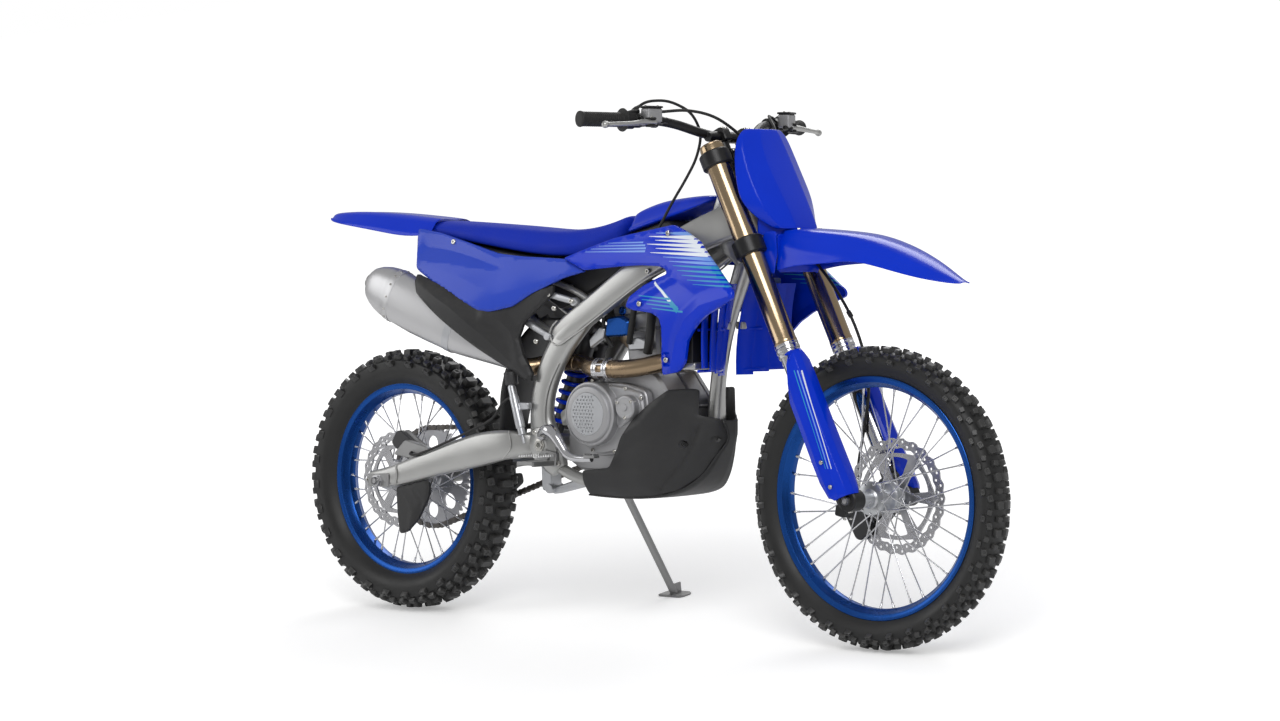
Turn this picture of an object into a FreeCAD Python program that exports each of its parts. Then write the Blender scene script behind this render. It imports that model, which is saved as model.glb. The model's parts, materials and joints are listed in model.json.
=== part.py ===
"""A single-seat off-road motorcycle with a beam frame, parked on its side stand.

The pieces are drawn upright: X forward from the rear axle, Y to the rider's left, Z up from the
floor, in millimetres. Every piece then gets the same parking placement, which leans the machine
to its left until both tyres and the stand's foot are on the floor.
"""
import FreeCAD, Part
import math
import os

import Sketcher

from FreeCAD import Placement, Rotation, Vector

DOC = FreeCAD.newDocument("Motorcycle")

SIZES = {
    # wheels
    "wheelbase": 1480, "front_tyre_radius": 348, "rear_tyre_radius": 330,
    "front_tread_depth": 12, "rear_tread_depth": 16,
    "front_tyre_height": 71, "rear_tyre_height": 89,
    "front_lugs": 34, "rear_lugs": 28, "front_lug_half": 9, "rear_lug_half": 11,
    "front_tyre_width": 88, "rear_tyre_width": 122,
    "front_crown_half": 15, "rear_crown_half": 24,
    "front_rim_width": 52, "rear_rim_width": 66,
    "rim_depth": 24, "rim_wall": 4, "rim_fit": 0.3,
    "spoke_radius": 1.9, "spoke_count": 36, "spoke_gap": 0.3,
    "nipple_radius": 3.4, "nipple_length": 14,
    "front_hub_flange_radius": 38, "front_hub_barrel_radius": 24, "front_hub_half": 33,
    "rear_hub_flange_radius": 48, "rear_hub_barrel_radius": 30, "rear_hub_half": 34,
    "front_disc_radius": 135, "front_disc_offset": 66, "rear_disc_radius": 122,
    "rear_disc_offset": 54, "disc_thickness": 4, "disc_band": 26,
    "axle_radius": 10, "axle_bore": 6, "axle_fit": 0.1, "seat_fit": 0.3, "axle_foot": 21,
    # chain drive
    "chain_offset": 76, "chain_pitch": 15.875, "sprocket_thickness": 6, "front_teeth": 13,
    "rear_teeth": 50, "chain_plate_height": 14, "chain_half_width": 8, "chain_plate": 2,
    "drive_x": 622, "drive_z": 452,
    # steering head and fork
    "rake": 26, "fork_lead": 17, "clamp_offset": 27, "fork_spread": 105,
    "fork_outer_radius": 29, "fork_lower_radius": 27, "fork_slider_radius": 24,
    "fork_bottom_station": 369, "clamp_below_head": 29, "clamp_above_head": 27,
    "fork_above_head": 63, "lower_clamp_height": 42, "upper_clamp_height": 38,
    "clamp_wall": 9, "stem_radius": 15, "stem_bore": 18, "head_tube_radius": 30,
    "head_bottom": 672, "head_top": 842, "steering_lock": 42,
    "bar_radius": 11, "bar_centre_radius": 14, "bar_half_width": 410, "bar_above_head": 93,
    "bar_forward": 18, "bar_pullback": 118.7, "bar_rise": 36, "bar_sweep": 16, "bar_straight": 240,
    "grip_radius": 17, "grip_length": 122, "bar_end_bore": 7,
    # frame
    "pivot_x": 548, "pivot_z": 440, "pivot_radius": 11, "pivot_fit": 0.3, "spar_width": 30,
    "spar_offset": 102, "cradle_radius": 14, "cradle_offset": 78,
    "arm_offset": 110, "arm_width": 32,
    # engine
    "crank_half_width": 80, "cover_depth": 34, "clutch_x": 719, "clutch_z": 521,
    "clutch_radius": 77, "clutch_face": 146, "pipe_radius": 22,
    "skid_half_width": 124, "skid_wall": 6,
    # parking
    "lean": 9, "stand_pivot_x": 560, "stand_pivot_y": 150, "stand_pivot_z": 352,
    "stand_foot_x": 612, "stand_foot_y": 315, "stand_leg_radius": 10,
    "stand_pin_radius": 6, "stand_swing": 96,
    "hose_radius": 4, "cable_radius": 3.5,
    "panel_wall": 4, "plate_forward": 128, "pad_gap": 1.5, "radiator_width": 92,
}

SHEET = DOC.addObject("Spreadsheet::Sheet", "Sizes")
for row, (alias, number) in enumerate(SIZES.items(), start=1):
    SHEET.set(f"A{row}", str(number))
    SHEET.setAlias(f"A{row}", alias)
DOC.recompute()


class Dim:
    """A size that is both a number and the sheet expression it comes from."""

    def __init__(self, value, text):
        self.value = float(value)
        self.text = text

    def __float__(self):
        return self.value

    def __add__(self, other):
        other = as_dim(other)
        return Dim(self.value + other.value, f"({self.text} + {other.text})")

    def __radd__(self, other):
        return as_dim(other) + self

    def __sub__(self, other):
        other = as_dim(other)
        return Dim(self.value - other.value, f"({self.text} - {other.text})")

    def __rsub__(self, other):
        return as_dim(other) - self

    def __mul__(self, other):
        other = as_dim(other)
        return Dim(self.value * other.value, f"({self.text} * {other.text})")

    def __rmul__(self, other):
        return as_dim(other) * self

    def __truediv__(self, other):
        other = as_dim(other)
        return Dim(self.value / other.value, f"({self.text} / {other.text})")

    def __neg__(self):
        return Dim(-self.value, f"(0 - {self.text})")


def as_dim(number):
    """A plain number as a Dim, so that both can be added."""
    return number if isinstance(number, Dim) else Dim(number, f"({float(number)})")


class Sheet:
    """Reads a size by its alias, as sheet.wheelbase."""

    def __getattr__(self, alias):
        return Dim(SHEET.get(alias), f"Sizes.{alias}")


S = Sheet()
PARTS = []


def vec(x, y, z):
    return Vector(float(x), float(y), float(z))


def bind(obj, **sizes):
    """Sets properties and ties each one to the sheet."""
    for name, dim in sizes.items():
        dim = as_dim(dim)
        setattr(obj, name, dim.value)
        if "Sizes." in dim.text:
            obj.setExpression(name, dim.text)
    return obj


def keep(obj, label):
    """Names a finished piece and puts it on the list of pieces that are written out."""
    obj.Label = label
    PARTS.append(obj)
    return obj


def feature(label, shape):
    """A piece whose shape comes from profiles worked out here."""
    obj = DOC.addObject("Part::Feature", label)
    obj.Shape = shape
    return keep(obj, label)


def new_body(label):
    return keep(DOC.addObject("PartDesign::Body", label), label)


def sketch_on(body, role, name):
    """A sketch on one of the body's own origin planes."""
    plane = [item for item in body.Origin.OriginFeatures if item.Role == role][0]
    sketch = body.newObject("Sketcher::SketchObject", name)
    sketch.AttachmentSupport = (plane, [""])
    sketch.MapMode = "FlatFace"
    return sketch


def fix_point(sketch, geometry, corner, axis, dim):
    """Holds one coordinate of a point, tied to the sheet."""
    dim = as_dim(dim)
    if abs(dim.value) < 1e-9:
        line = -1 if axis == "DistanceY" else -2
        sketch.addConstraint(Sketcher.Constraint("PointOnObject", geometry, corner, line))
        return
    index = sketch.addConstraint(Sketcher.Constraint(axis, geometry, corner, dim.value))
    if "Sizes." in dim.text:
        sketch.setExpression(f"Constraints[{index}]", dim.text)


def polygon(sketch, points):
    """A closed outline of straight runs, each corner held by the sheet."""
    count = len(points)
    flat = [Vector(float(as_dim(a)), float(as_dim(b)), 0) for a, b in points]
    first = sketch.GeometryCount
    for i in range(count):
        sketch.addGeometry(Part.LineSegment(flat[i], flat[(i + 1) % count]))
    for i in range(count):
        sketch.addConstraint(
            Sketcher.Constraint("Coincident", first + i, 2, first + (i + 1) % count, 1))
    for i, (a, b) in enumerate(points):
        fix_point(sketch, first + i, 1, "DistanceX", a)
        fix_point(sketch, first + i, 1, "DistanceY", b)


def circle(sketch, x, y, radius):
    """A circle with its centre and radius held by the sheet."""
    radius = as_dim(radius)
    index = sketch.addGeometry(
        Part.Circle(Vector(float(as_dim(x)), float(as_dim(y)), 0), Vector(0, 0, 1), radius.value))
    fix_point(sketch, index, 3, "DistanceX", x)
    fix_point(sketch, index, 3, "DistanceY", y)
    held = sketch.addConstraint(Sketcher.Constraint("Radius", index, radius.value))
    if "Sizes." in radius.text:
        sketch.setExpression(f"Constraints[{held}]", radius.text)


def turned(body, points, name):
    """A solid of revolution about the body's Y axis, from (radius, offset) corners."""
    sketch = sketch_on(body, "XY_Plane", name + "Profile")
    polygon(sketch, points)
    turn = body.newObject("PartDesign::Revolution", name)
    turn.Profile = sketch
    turn.ReferenceAxis = (sketch, ["V_Axis"])
    turn.Angle = 360
    sketch.Visibility = False
    return turn


def holes_round(body, name, distance, radius, count, start=0.0):
    """A ring of round holes through the body, along Y, made by a polar pattern."""
    sketch = sketch_on(body, "XZ_Plane", name + "Circle")
    turn = math.radians(start)
    circle(sketch, as_dim(distance) * math.cos(turn), as_dim(distance) * math.sin(turn), radius)
    cut = body.newObject("PartDesign::Pocket", name)
    cut.Profile = sketch
    cut.Type = 1
    cut.Midplane = True
    pattern = body.newObject("PartDesign::PolarPattern", name + "Ring")
    pattern.Originals = [cut]
    pattern.Axis = (sketch, ["N_Axis"])
    pattern.Angle = 360
    pattern.Occurrences = count
    body.Tip = pattern
    return pattern


def cylinder_between(start, end, radius):
    """A round bar from one point to another."""
    along = end - start
    return Part.makeCylinder(float(radius), along.Length, start, along)


def polar(radius, angle):
    """A step in the side view, by its length and its angle in radians."""
    return Vector(radius * math.cos(angle), 0, radius * math.sin(angle))


def ring_of_bosses(centre, distance, spread, count, start, end, radius):
    """Bolt bosses round a cover, from one y to another, spread over degrees about straight down."""
    bosses = []
    for i in range(count):
        turn = math.radians(-90 + spread * (i / (count - 1) - 0.5))
        at = centre + polar(distance, turn)
        bosses.append(cylinder_between(at + Vector(0, start, 0), at + Vector(0, end, 0), radius))
    return bosses


def rounded_path(points, share=0.45):
    """Straight runs through the points, joined by the largest tangent arcs that fit."""
    edges = []
    here = points[0]
    for i in range(1, len(points) - 1):
        before, corner, after = points[i - 1], points[i], points[i + 1]
        to_before = (before - corner).normalize()
        to_after = (after - corner).normalize()
        turn = math.pi - to_before.getAngle(to_after)
        if turn < 1e-3:
            continue
        reach = share * min((before - corner).Length, (after - corner).Length)
        radius = reach / math.tan(turn / 2)
        middle = corner + (to_before + to_after).normalize() * (radius / math.cos(turn / 2))
        first = corner + to_before * reach
        last = corner + to_after * reach
        top = middle + (corner - middle).normalize() * radius
        edges.append(Part.LineSegment(here, first).toShape())
        edges.append(Part.Arc(first, top, last).toShape())
        here = last
    edges.append(Part.LineSegment(here, points[-1]).toShape())
    return Part.Wire(edges)


def tube(points, radius, share=0.45):
    """A round tube along a rounded path."""
    path = rounded_path(points, share)
    direction = points[1] - points[0]
    ring = Part.Wire(Part.makeCircle(float(radius), points[0], direction))
    return path.makePipeShell([ring], True, False)


def mirrored(shape):
    """The same shape on the other side of the machine."""
    return shape.mirror(Vector(0, 0, 0), Vector(0, 1, 0))


def both_sides(shape):
    return [shape, mirrored(shape)]


def side_face(points, y):
    """A flat face in the side view, from (x, z) corners."""
    corners = [vec(x, y, z) for x, z in points]
    return Part.Face(Part.makePolygon(corners + [corners[0]]))


def side_plate(points, y_low, y_high):
    """A plate cut from its side outline, between two Y values."""
    return side_face(points, y_low).extrude(vec(0, float(y_high) - float(y_low), 0))


def smooth_line(points):
    """A curve through the points."""
    curve = Part.BSplineCurve()
    curve.interpolate(points)
    return curve.toShape()


def skin(stations, wall):
    """An upright curved sheet: at each x, the outer y at several heights, with its wall inward."""
    rings = []
    for x, column in stations:
        outer = [vec(x, -y, z) for z, y in column]
        inner = [vec(x, -y + float(wall), z) for z, y in column[::-1]]
        edges = [smooth_line(outer), Part.makeLine(outer[-1], inner[0]), smooth_line(inner),
                 Part.makeLine(inner[-1], outer[0])]
        rings.append(Part.Wire(edges))
    return Part.makeLoft(rings, True, False)


def panel(outline, stations, wall):
    """A body panel: the side outline cut from a curved sheet."""
    return skin(stations, wall).common(side_plate(outline, -400, 0))


def beam(stations):
    """A box-section beam through stations of (x, y, z, height, width), turned with its path."""
    rings = []
    count = len(stations)
    for i, (x, y, z, height, width) in enumerate(stations):
        here = vec(x, y, z)
        before = vec(*stations[max(i - 1, 0)][:3])
        after = vec(*stations[min(i + 1, count - 1)][:3])
        along = (after - before).normalize()
        side = Vector(0, 1, 0)
        up = side.cross(along).normalize()
        side = along.cross(up).normalize()
        half_up, half_side = up * (float(height) / 2), side * (float(width) / 2)
        trim = min(float(height), float(width)) * 0.22
        trim_up, trim_side = up * trim, side * trim
        corners = [
            here - half_side + half_up - trim_up, here - half_side + half_up + trim_side,
            here + half_side + half_up - trim_side, here + half_side + half_up - trim_up,
            here + half_side - half_up + trim_up, here + half_side - half_up - trim_side,
            here - half_side - half_up + trim_side, here - half_side - half_up + trim_up]
        rings.append(Part.makePolygon(corners + [corners[0]]))
    return Part.makeLoft(rings, True, True)


def cross_ring(x, sections):
    """A closed ring across the machine at one x, from (y, z) points on the left half."""
    left = [vec(x, y, z) for y, z in sections]
    right = [vec(x, -y, z) for y, z in reversed(sections)]
    points = left + right
    clean = [points[0]]
    for point in points[1:]:
        if (point - clean[-1]).Length > 1e-6:
            clean.append(point)
    if (clean[0] - clean[-1]).Length < 1e-6:
        clean.pop()
    return Part.makePolygon(clean + [clean[0]])


# Where the wheels, the fork and the stand are.

FRONT_AXLE = vec(S.wheelbase, 0, S.front_tyre_radius)
REAR_AXLE = vec(0, 0, S.rear_tyre_radius)
LOWER_CLAMP = S.head_bottom - S.clamp_below_head
UPPER_CLAMP = S.head_top + S.clamp_above_head
FORK_TOP = S.head_top + S.fork_above_head
BAR_STATION = S.head_top + S.bar_above_head
RAKE = math.radians(float(S.rake))
UP_THE_FORK = Vector(-math.sin(RAKE), 0, math.cos(RAKE))
AHEAD_OF_FORK = Vector(math.cos(RAKE), 0, math.sin(RAKE))


def fork_point(station, ahead=0.0, side=0.0):
    """A point by its distance up the fork from the axle, ahead of the fork tubes, and to a side."""
    lead = ahead - float(S.fork_lead)
    return FRONT_AXLE + AHEAD_OF_FORK * lead + UP_THE_FORK * float(station) + Vector(0, side, 0)


def from_front(x, y, z):
    """A point measured from the middle of the front axle."""
    return FRONT_AXLE + Vector(x, y, z)


def steering_point(station, ahead=0.0, side=0.0):
    """The same, measured from the steering axis."""
    return fork_point(station, ahead - float(S.clamp_offset), side)


LEAN = math.radians(float(S.lean))


def reach_below(radius, crown_half):
    """How far below its axle a leaning tyre reaches."""
    return float(radius) * math.cos(LEAN) + float(crown_half) * math.sin(LEAN)


FRONT_DROP = reach_below(S.front_tyre_radius, S.front_crown_half)
REAR_DROP = reach_below(S.rear_tyre_radius, S.rear_crown_half)
LEANED = Rotation(Vector(1, 0, 0), -float(S.lean))


def parked_placement():
    """Leans the machine, then pitches and lifts it until both tyres are on the floor."""
    rise = (FRONT_AXLE - REAR_AXLE).z * math.cos(LEAN)
    base = math.hypot(float(S.wheelbase), rise)
    pitch = math.asin(rise / base) - math.asin((FRONT_DROP - REAR_DROP) / base)
    turn = Rotation(Vector(0, 1, 0), math.degrees(pitch)).multiply(LEANED)
    lifted = Placement(Vector(0, 0, 0), turn)
    lift = REAR_DROP - lifted.multVec(REAR_AXLE).z
    return Placement(Vector(0, 0, lift), turn)


PARKED = parked_placement()


STAND_PIVOT = vec(S.stand_pivot_x, S.stand_pivot_y, S.stand_pivot_z)


def stand_foot():
    """Where the stand meets the floor, in the upright machine's own frame."""
    return PARKED.inverse().multVec(vec(S.stand_foot_x, S.stand_foot_y, 0))


def stand_axis():
    """The axis that brings the splayed leg back along the side of the machine."""
    deployed = (stand_foot() - STAND_PIVOT).normalize()
    stowed = Vector(-0.985, 0.06, 0.16).normalize()
    gap = deployed - stowed
    side = Vector(0, 1, 0)
    return (side - gap * (side.dot(gap) / gap.dot(gap))).normalize()


# Wheels.

def rim_profile(radius, width):
    """Corners of the rim's section, from its outer lip in to the spoke bed and back."""
    half = width / 2
    bed = radius - S.rim_depth
    side = [(radius, half), (radius - 12, half), (bed, half * 0.30)]
    side_in = [(bed + S.rim_wall, half * 0.36), (radius - 10, half - S.rim_wall - 1),
               (radius, half - S.rim_wall)]
    lower = [(r, -y) for r, y in reversed(side)]
    lower_in = [(r, -y) for r, y in reversed(side_in)]
    return side + lower + lower_in + side_in


def tyre_profile(carcass, width, rim_radius, rim_width, crown_half):
    """Corners of the tyre's section, seated in its rim."""
    half = width / 2
    bead = rim_width / 2 - S.rim_wall - 1 - S.rim_fit
    outline = [(rim_radius - 8, bead), (rim_radius + S.rim_fit, bead),
               (rim_radius + S.rim_fit, bead + 5),
               (rim_radius + 22, half - 3), (carcass - (carcass - rim_radius) * 0.4, half - 1),
               (carcass - 11, half - 8), (carcass, crown_half)]
    return outline + [(r, -y) for r, y in reversed(outline)]


def lug_ring(body, name, section, half_length, count, shift):
    """A row of tread blocks: one section padded both ways, then repeated round the tyre."""
    sketch = sketch_on(body, "YZ_Plane", name + "Section")
    polygon(sketch, section)
    if shift:
        sketch.AttachmentOffset = Placement(Vector(0, 0, 0), Rotation(Vector(1, 0, 0), 180.0 / count))
    pad = body.newObject("PartDesign::Pad", name)
    pad.Profile = sketch
    pad.Midplane = True
    pad.Length = 2 * float(half_length)
    pad.setExpression("Length", (half_length * 2).text)
    pattern = body.newObject("PartDesign::PolarPattern", name + "Ring")
    pattern.Originals = [pad]
    axis = [item for item in body.Origin.OriginFeatures if item.Role == "Y_Axis"][0]
    pattern.Axis = (axis, [""])
    pattern.Angle = 360
    pattern.Occurrences = count
    body.Tip = pattern
    sketch.Visibility = False


def tread_lugs(body, name, radius, carcass, width, crown_half, half_length, count):
    """The tread: centre blocks, and between them a pair of shoulder blocks."""
    half = width / 2
    low, foot = carcass - 8, carcass - 27
    edge = half - 3
    centre = [(-crown_half, low), (-crown_half, radius), (crown_half, radius), (crown_half, low)]
    shoulder = [(crown_half + 5, foot), (crown_half + 5, radius - 3), (half * 0.72, radius - 7),
                (edge, radius - 16), (edge, foot)]
    lug_ring(body, name + "CentreLugs", centre, half_length, count, False)
    lug_ring(body, name + "LeftLugs", shoulder, half_length, count, True)
    lug_ring(body, name + "RightLugs", [(-y, r) for y, r in reversed(shoulder)], half_length, count, True)


def make_wheel(name, centre, sizes):
    """Tyre, rim, spokes and hub of one wheel."""
    radius, carcass, width, rim_radius, rim_width, crown_half = sizes["tyre"]
    flange_radius, barrel_radius, hub_half = sizes["hub"]
    place = Placement(centre, Rotation())
    tyre = new_body(name + "_tyre")
    turned(tyre, tyre_profile(carcass, width, rim_radius, rim_width, crown_half), name + "Carcass")
    tread_lugs(tyre, name, radius, carcass, width, crown_half, sizes["lug_half"],
               int(float(sizes["lugs"])))
    rim = new_body(name + "_rim")
    turned(rim, rim_profile(rim_radius, rim_width), name + "RimRing")
    hub = new_body(name + "_hub")
    bore = S.axle_radius + S.axle_fit
    hub_corners = [
        (bore, -hub_half - sizes["nose_right"]), (barrel_radius, -hub_half - sizes["nose_right"]),
        (barrel_radius, -hub_half - 4), (flange_radius, -hub_half - 4), (flange_radius, -hub_half + 4),
        (barrel_radius, -hub_half + 14), (barrel_radius, hub_half - 14),
        (flange_radius, hub_half - 4), (flange_radius, hub_half + 4), (barrel_radius, hub_half + 4),
        (barrel_radius, hub_half + sizes["nose_left"]), (bore, hub_half + sizes["nose_left"])]
    turned(hub, hub_corners, name + "HubBarrel")
    spokes = feature(name + "_spokes", wire_spokes(rim_radius, flange_radius, hub_half))
    for piece in (tyre, rim, hub, spokes):
        piece.Placement = place
    return place


def wire_spokes(rim_radius, flange_radius, hub_half):
    """Laced spokes with their nipples, each from a hub flange to the rim's bed."""
    count = int(float(S.spoke_count))
    bed = float(rim_radius) - float(S.rim_depth) - float(S.spoke_gap)
    from_hub = float(flange_radius) + float(S.spoke_gap) + float(S.spoke_radius)
    lean_in = math.radians(52)
    solids = []
    for i in range(count):
        side = 1 if i % 2 else -1
        trailing = 1 if (i // 2) % 2 else -1
        rim_angle = math.radians(360.0 * i / count)
        hub_angle = rim_angle + trailing * lean_in
        hub_y = side * (float(hub_half) + trailing * 2.3)
        start = Vector(from_hub * math.cos(hub_angle), hub_y, from_hub * math.sin(hub_angle))
        end = Vector(bed * math.cos(rim_angle), side * 4.0, bed * math.sin(rim_angle))
        along = (end - start).normalize()
        end = end - along * 1.0
        thread = end - along * float(S.nipple_length)
        wire = cylinder_between(start, thread, S.spoke_radius)
        solids.append(wire.fuse(cylinder_between(thread, end, S.nipple_radius)))
    return Part.makeCompound(solids)


def brake_disc(label, radius, offset, carrier_radius, centre):
    """A floating disc: a drilled ring on a spoked carrier that bolts to the hub."""
    body = new_body(label)
    half = S.disc_thickness / 2
    turned(body, [(carrier_radius, -half), (radius, -half), (radius, half), (carrier_radius, half)],
           label + "Blank")
    holes_round(body, label + "Windows", radius - S.disc_band - 22, 15, 6)
    holes_round(body, label + "Drillings", radius - S.disc_band / 2, 4, 24, 7.5)
    body.Placement = Placement(centre + vec(0, offset, 0), Rotation())
    return body


def make_wheels():
    front_nose = S.fork_spread - S.axle_foot - S.seat_fit - S.front_hub_half
    rear_nose = S.arm_offset - S.arm_width / 2 - S.seat_fit - S.rear_hub_half
    front = {"tyre": (S.front_tyre_radius, S.front_tyre_radius - S.front_tread_depth, S.front_tyre_width,
                      S.front_tyre_radius - S.front_tyre_height, S.front_rim_width, S.front_crown_half),
             "lugs": S.front_lugs, "lug_half": S.front_lug_half,
             "hub": (S.front_hub_flange_radius, S.front_hub_barrel_radius, S.front_hub_half),
             "nose_right": front_nose, "nose_left": front_nose}
    rear = {"tyre": (S.rear_tyre_radius, S.rear_tyre_radius - S.rear_tread_depth, S.rear_tyre_width,
                     S.rear_tyre_radius - S.rear_tyre_height, S.rear_rim_width, S.rear_crown_half),
            "lugs": S.rear_lugs, "lug_half": S.rear_lug_half,
            "hub": (S.rear_hub_flange_radius, S.rear_hub_barrel_radius, S.rear_hub_half),
            "nose_right": rear_nose, "nose_left": rear_nose}
    make_wheel("front", FRONT_AXLE, front)
    make_wheel("rear", REAR_AXLE, rear)
    brake_disc("front_disc", S.front_disc_radius, S.front_disc_offset, S.front_hub_barrel_radius + 0.2,
               FRONT_AXLE)
    brake_disc("rear_disc", S.rear_disc_radius, -S.rear_disc_offset, S.rear_hub_barrel_radius + 0.2,
               REAR_AXLE)
    make_sprocket()


def pitch_radius(teeth):
    return float(S.chain_pitch) / (2 * math.sin(math.pi / float(teeth)))


def make_sprocket():
    """The driven sprocket, with its teeth and lightening holes."""
    body = new_body("rear_sprocket")
    tip = pitch_radius(S.rear_teeth) + 3.0
    half = S.sprocket_thickness / 2
    bore = S.rear_hub_barrel_radius + 0.2
    turned(body, [(bore, -half), (tip, -half), (tip, half), (bore, half)], "SprocketBlank")
    holes_round(body, "SprocketWindows", tip - 45, 20, 8)
    holes_round(body, "SprocketGullets", tip + 1, 4.6, int(float(S.rear_teeth)))
    body.Placement = Placement(REAR_AXLE + vec(0, S.chain_offset, 0), Rotation())


# Steering: everything that turns with the handlebar.

def make_fork():
    spread = float(S.fork_spread)
    outer, sliders, guards = [], [], []
    for side in (-spread, spread):
        low = fork_point(S.fork_bottom_station, 0, side)
        middle = fork_point(LOWER_CLAMP, 0, side)
        top = fork_point(FORK_TOP, 0, side)
        lower = cylinder_between(low, middle, S.fork_lower_radius)
        upper = cylinder_between(middle, top, S.fork_outer_radius)
        bore = cylinder_between(low, fork_point(700, 0, side), float(S.fork_slider_radius) + 0.3)
        outer.append(lower.fuse(upper).cut(bore).removeSplitter())
        sliders.append(fork_slider(side))
        guards.append(fork_guard(side))
    feature("fork_tubes", Part.makeCompound(outer))
    feature("fork_sliders", Part.makeCompound(sliders))
    feature("fork_guards", Part.makeCompound(guards))


def fork_slider(side):
    """A bright inner leg with the cast foot that holds the axle."""
    half = float(S.axle_foot)
    leg = cylinder_between(fork_point(40, 0, side), fork_point(560, 0, side), S.fork_slider_radius)
    foot = cylinder_between(fork_point(-12, 0, side), fork_point(60, 0, side), half)
    axle_boss = cylinder_between(FRONT_AXLE + Vector(0, side - half, 0),
                                 FRONT_AXLE + Vector(0, side + half, 0), 25)
    axle_hole = cylinder_between(FRONT_AXLE + Vector(0, side - 50, 0),
                                 FRONT_AXLE + Vector(0, side + 50, 0),
                                 float(S.axle_radius) + float(S.axle_fit))
    whole = leg.fuse([foot, axle_boss])
    if side > 0:
        corners = [(-72, -58), (-50, -72), (-18, -36), (-12, 10), (-44, 12)]
        lug = side_plate([(FRONT_AXLE.x + x, FRONT_AXLE.z + z) for x, z in corners],
                         side - half, side - half + 14)
        whole = whole.fuse(lug)
    return whole.cut(axle_hole)


def fork_guard(side):
    """The moulded shield over one inner leg: a half shell, open to the rear."""
    outward = math.copysign(1, side)
    low, high = fork_point(40, 0, side), fork_point(372, 0, side)
    shell = cylinder_between(low, high, 40).cut(cylinder_between(low - UP_THE_FORK * 5,
                                                                 high + UP_THE_FORK * 5, 36))
    behind = Part.makeBox(90, 110, 480, Vector(-90 - 8, -55, -20))
    inside = Part.makeBox(200, 55, 480, Vector(-100, -55 - 12, -20))
    turn = Rotation(Vector(0, 1, 0), -float(S.rake))
    if outward < 0:
        inside = mirrored(inside)
    collar = cylinder_between(low + UP_THE_FORK * 8, low + UP_THE_FORK * 18, 38)
    leg = cylinder_between(low, high, float(S.fork_slider_radius) + float(S.seat_fit))
    shell = shell.fuse(collar).cut(leg)
    place = Placement(low, turn)
    for cutter in (behind, inside):
        cutter.Placement = place
        shell = shell.cut(cutter)
    return shell


def fork_clamp(station, height, wide):
    """One triple clamp: a plate that carries both tubes and the stem."""
    spread, wall = float(S.fork_spread), float(S.clamp_wall)
    radius = float(S.fork_outer_radius)
    low, high = station - float(height) / 2, station + float(height) / 2
    rings = [cylinder_between(fork_point(low, 0, y), fork_point(high, 0, y), radius + wall)
             for y in (-spread, spread)]
    centre = cylinder_between(steering_point(low), steering_point(high), wide)
    corners = [fork_point(low, 24, -spread), fork_point(low, 24, spread),
               fork_point(low, -10, spread * 0.8), steering_point(low, -wide * 0.9),
               fork_point(low, -10, -spread * 0.8)]
    web = Part.Face(Part.makePolygon(corners + [corners[0]])).extrude(UP_THE_FORK * float(height))
    return web.fuse(rings + [centre])


def make_clamps():
    """Both triple clamps, joined by the steering stem, which turns on two bearing collars."""
    lower = fork_clamp(float(LOWER_CLAMP), S.lower_clamp_height, 26)
    upper = fork_clamp(float(UPPER_CLAMP), S.upper_clamp_height, 24)
    stem = cylinder_between(steering_point(LOWER_CLAMP), steering_point(FORK_TOP),
                            S.stem_radius)
    collar = float(S.stem_bore) - float(S.seat_fit)
    collars = [cylinder_between(steering_point(start), steering_point(start + 12), collar)
               for start in (float(S.head_bottom) + 2, float(S.head_top) - 14)]
    whole = lower.fuse([upper, stem] + collars)
    for y in (-float(S.fork_spread), float(S.fork_spread)):
        whole = whole.cut(cylinder_between(fork_point(580, 0, y), fork_point(940, 0, y),
                                           float(S.fork_outer_radius)))
    feature("triple_clamps", whole.removeSplitter())


BAR_CENTRE = steering_point(BAR_STATION, float(S.bar_forward))


def grip_line(side):
    """The bar's end on one side, and the direction from it along the straight grip section."""
    sweep = math.radians(float(S.bar_sweep))
    end = BAR_CENTRE + vec(-float(S.bar_pullback), side * float(S.bar_half_width), S.bar_rise)
    return end, Vector(math.sin(sweep), -side * math.cos(sweep), 0)


def make_handlebar():
    route = []
    for side in (-1, 1):
        end, along = grip_line(side)
        half_route = [end, end + along * float(S.bar_straight), BAR_CENTRE + Vector(0, side * 74, 0)]
        route += half_route if side < 0 else half_route[::-1]
    bar = tube(route, S.bar_radius, 0.4)
    swell = cylinder_between(BAR_CENTRE + Vector(0, -62, 0), BAR_CENTRE + Vector(0, 62, 0),
                             S.bar_centre_radius)
    bar = bar.fuse(swell)
    mounts = []
    for y in (-42, 42):
        foot = steering_point(float(UPPER_CLAMP) + float(S.upper_clamp_height) / 2,
                              float(S.bar_forward), y)
        mounts.append(cylinder_between(foot, BAR_CENTRE + Vector(0, y, 0), 13))
        mounts.append(cylinder_between(BAR_CENTRE + Vector(0, y - 12, 0),
                                       BAR_CENTRE + Vector(0, y + 12, 0), 21))
    bar = bar.fuse(mounts)
    for side in (-1, 1):
        end, along = grip_line(side)
        bar = bar.cut(cylinder_between(end - along, end + along * 50, S.bar_end_bore))
    feature("handlebar", bar.removeSplitter())
    grips = []
    for side in (-1, 1):
        end, along = grip_line(side)
        length = float(S.grip_length)
        sleeve = cylinder_between(end, end + along * length, S.grip_radius)
        collar = cylinder_between(end + along * (length - 5), end + along * length, 27)
        hole = cylinder_between(end - along * 5, end + along * (length + 5),
                                float(S.bar_radius) + 0.05)
        grips.append(sleeve.fuse(collar).cut(hole).removeSplitter())
    feature("grips", Part.makeCompound(grips))


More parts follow.
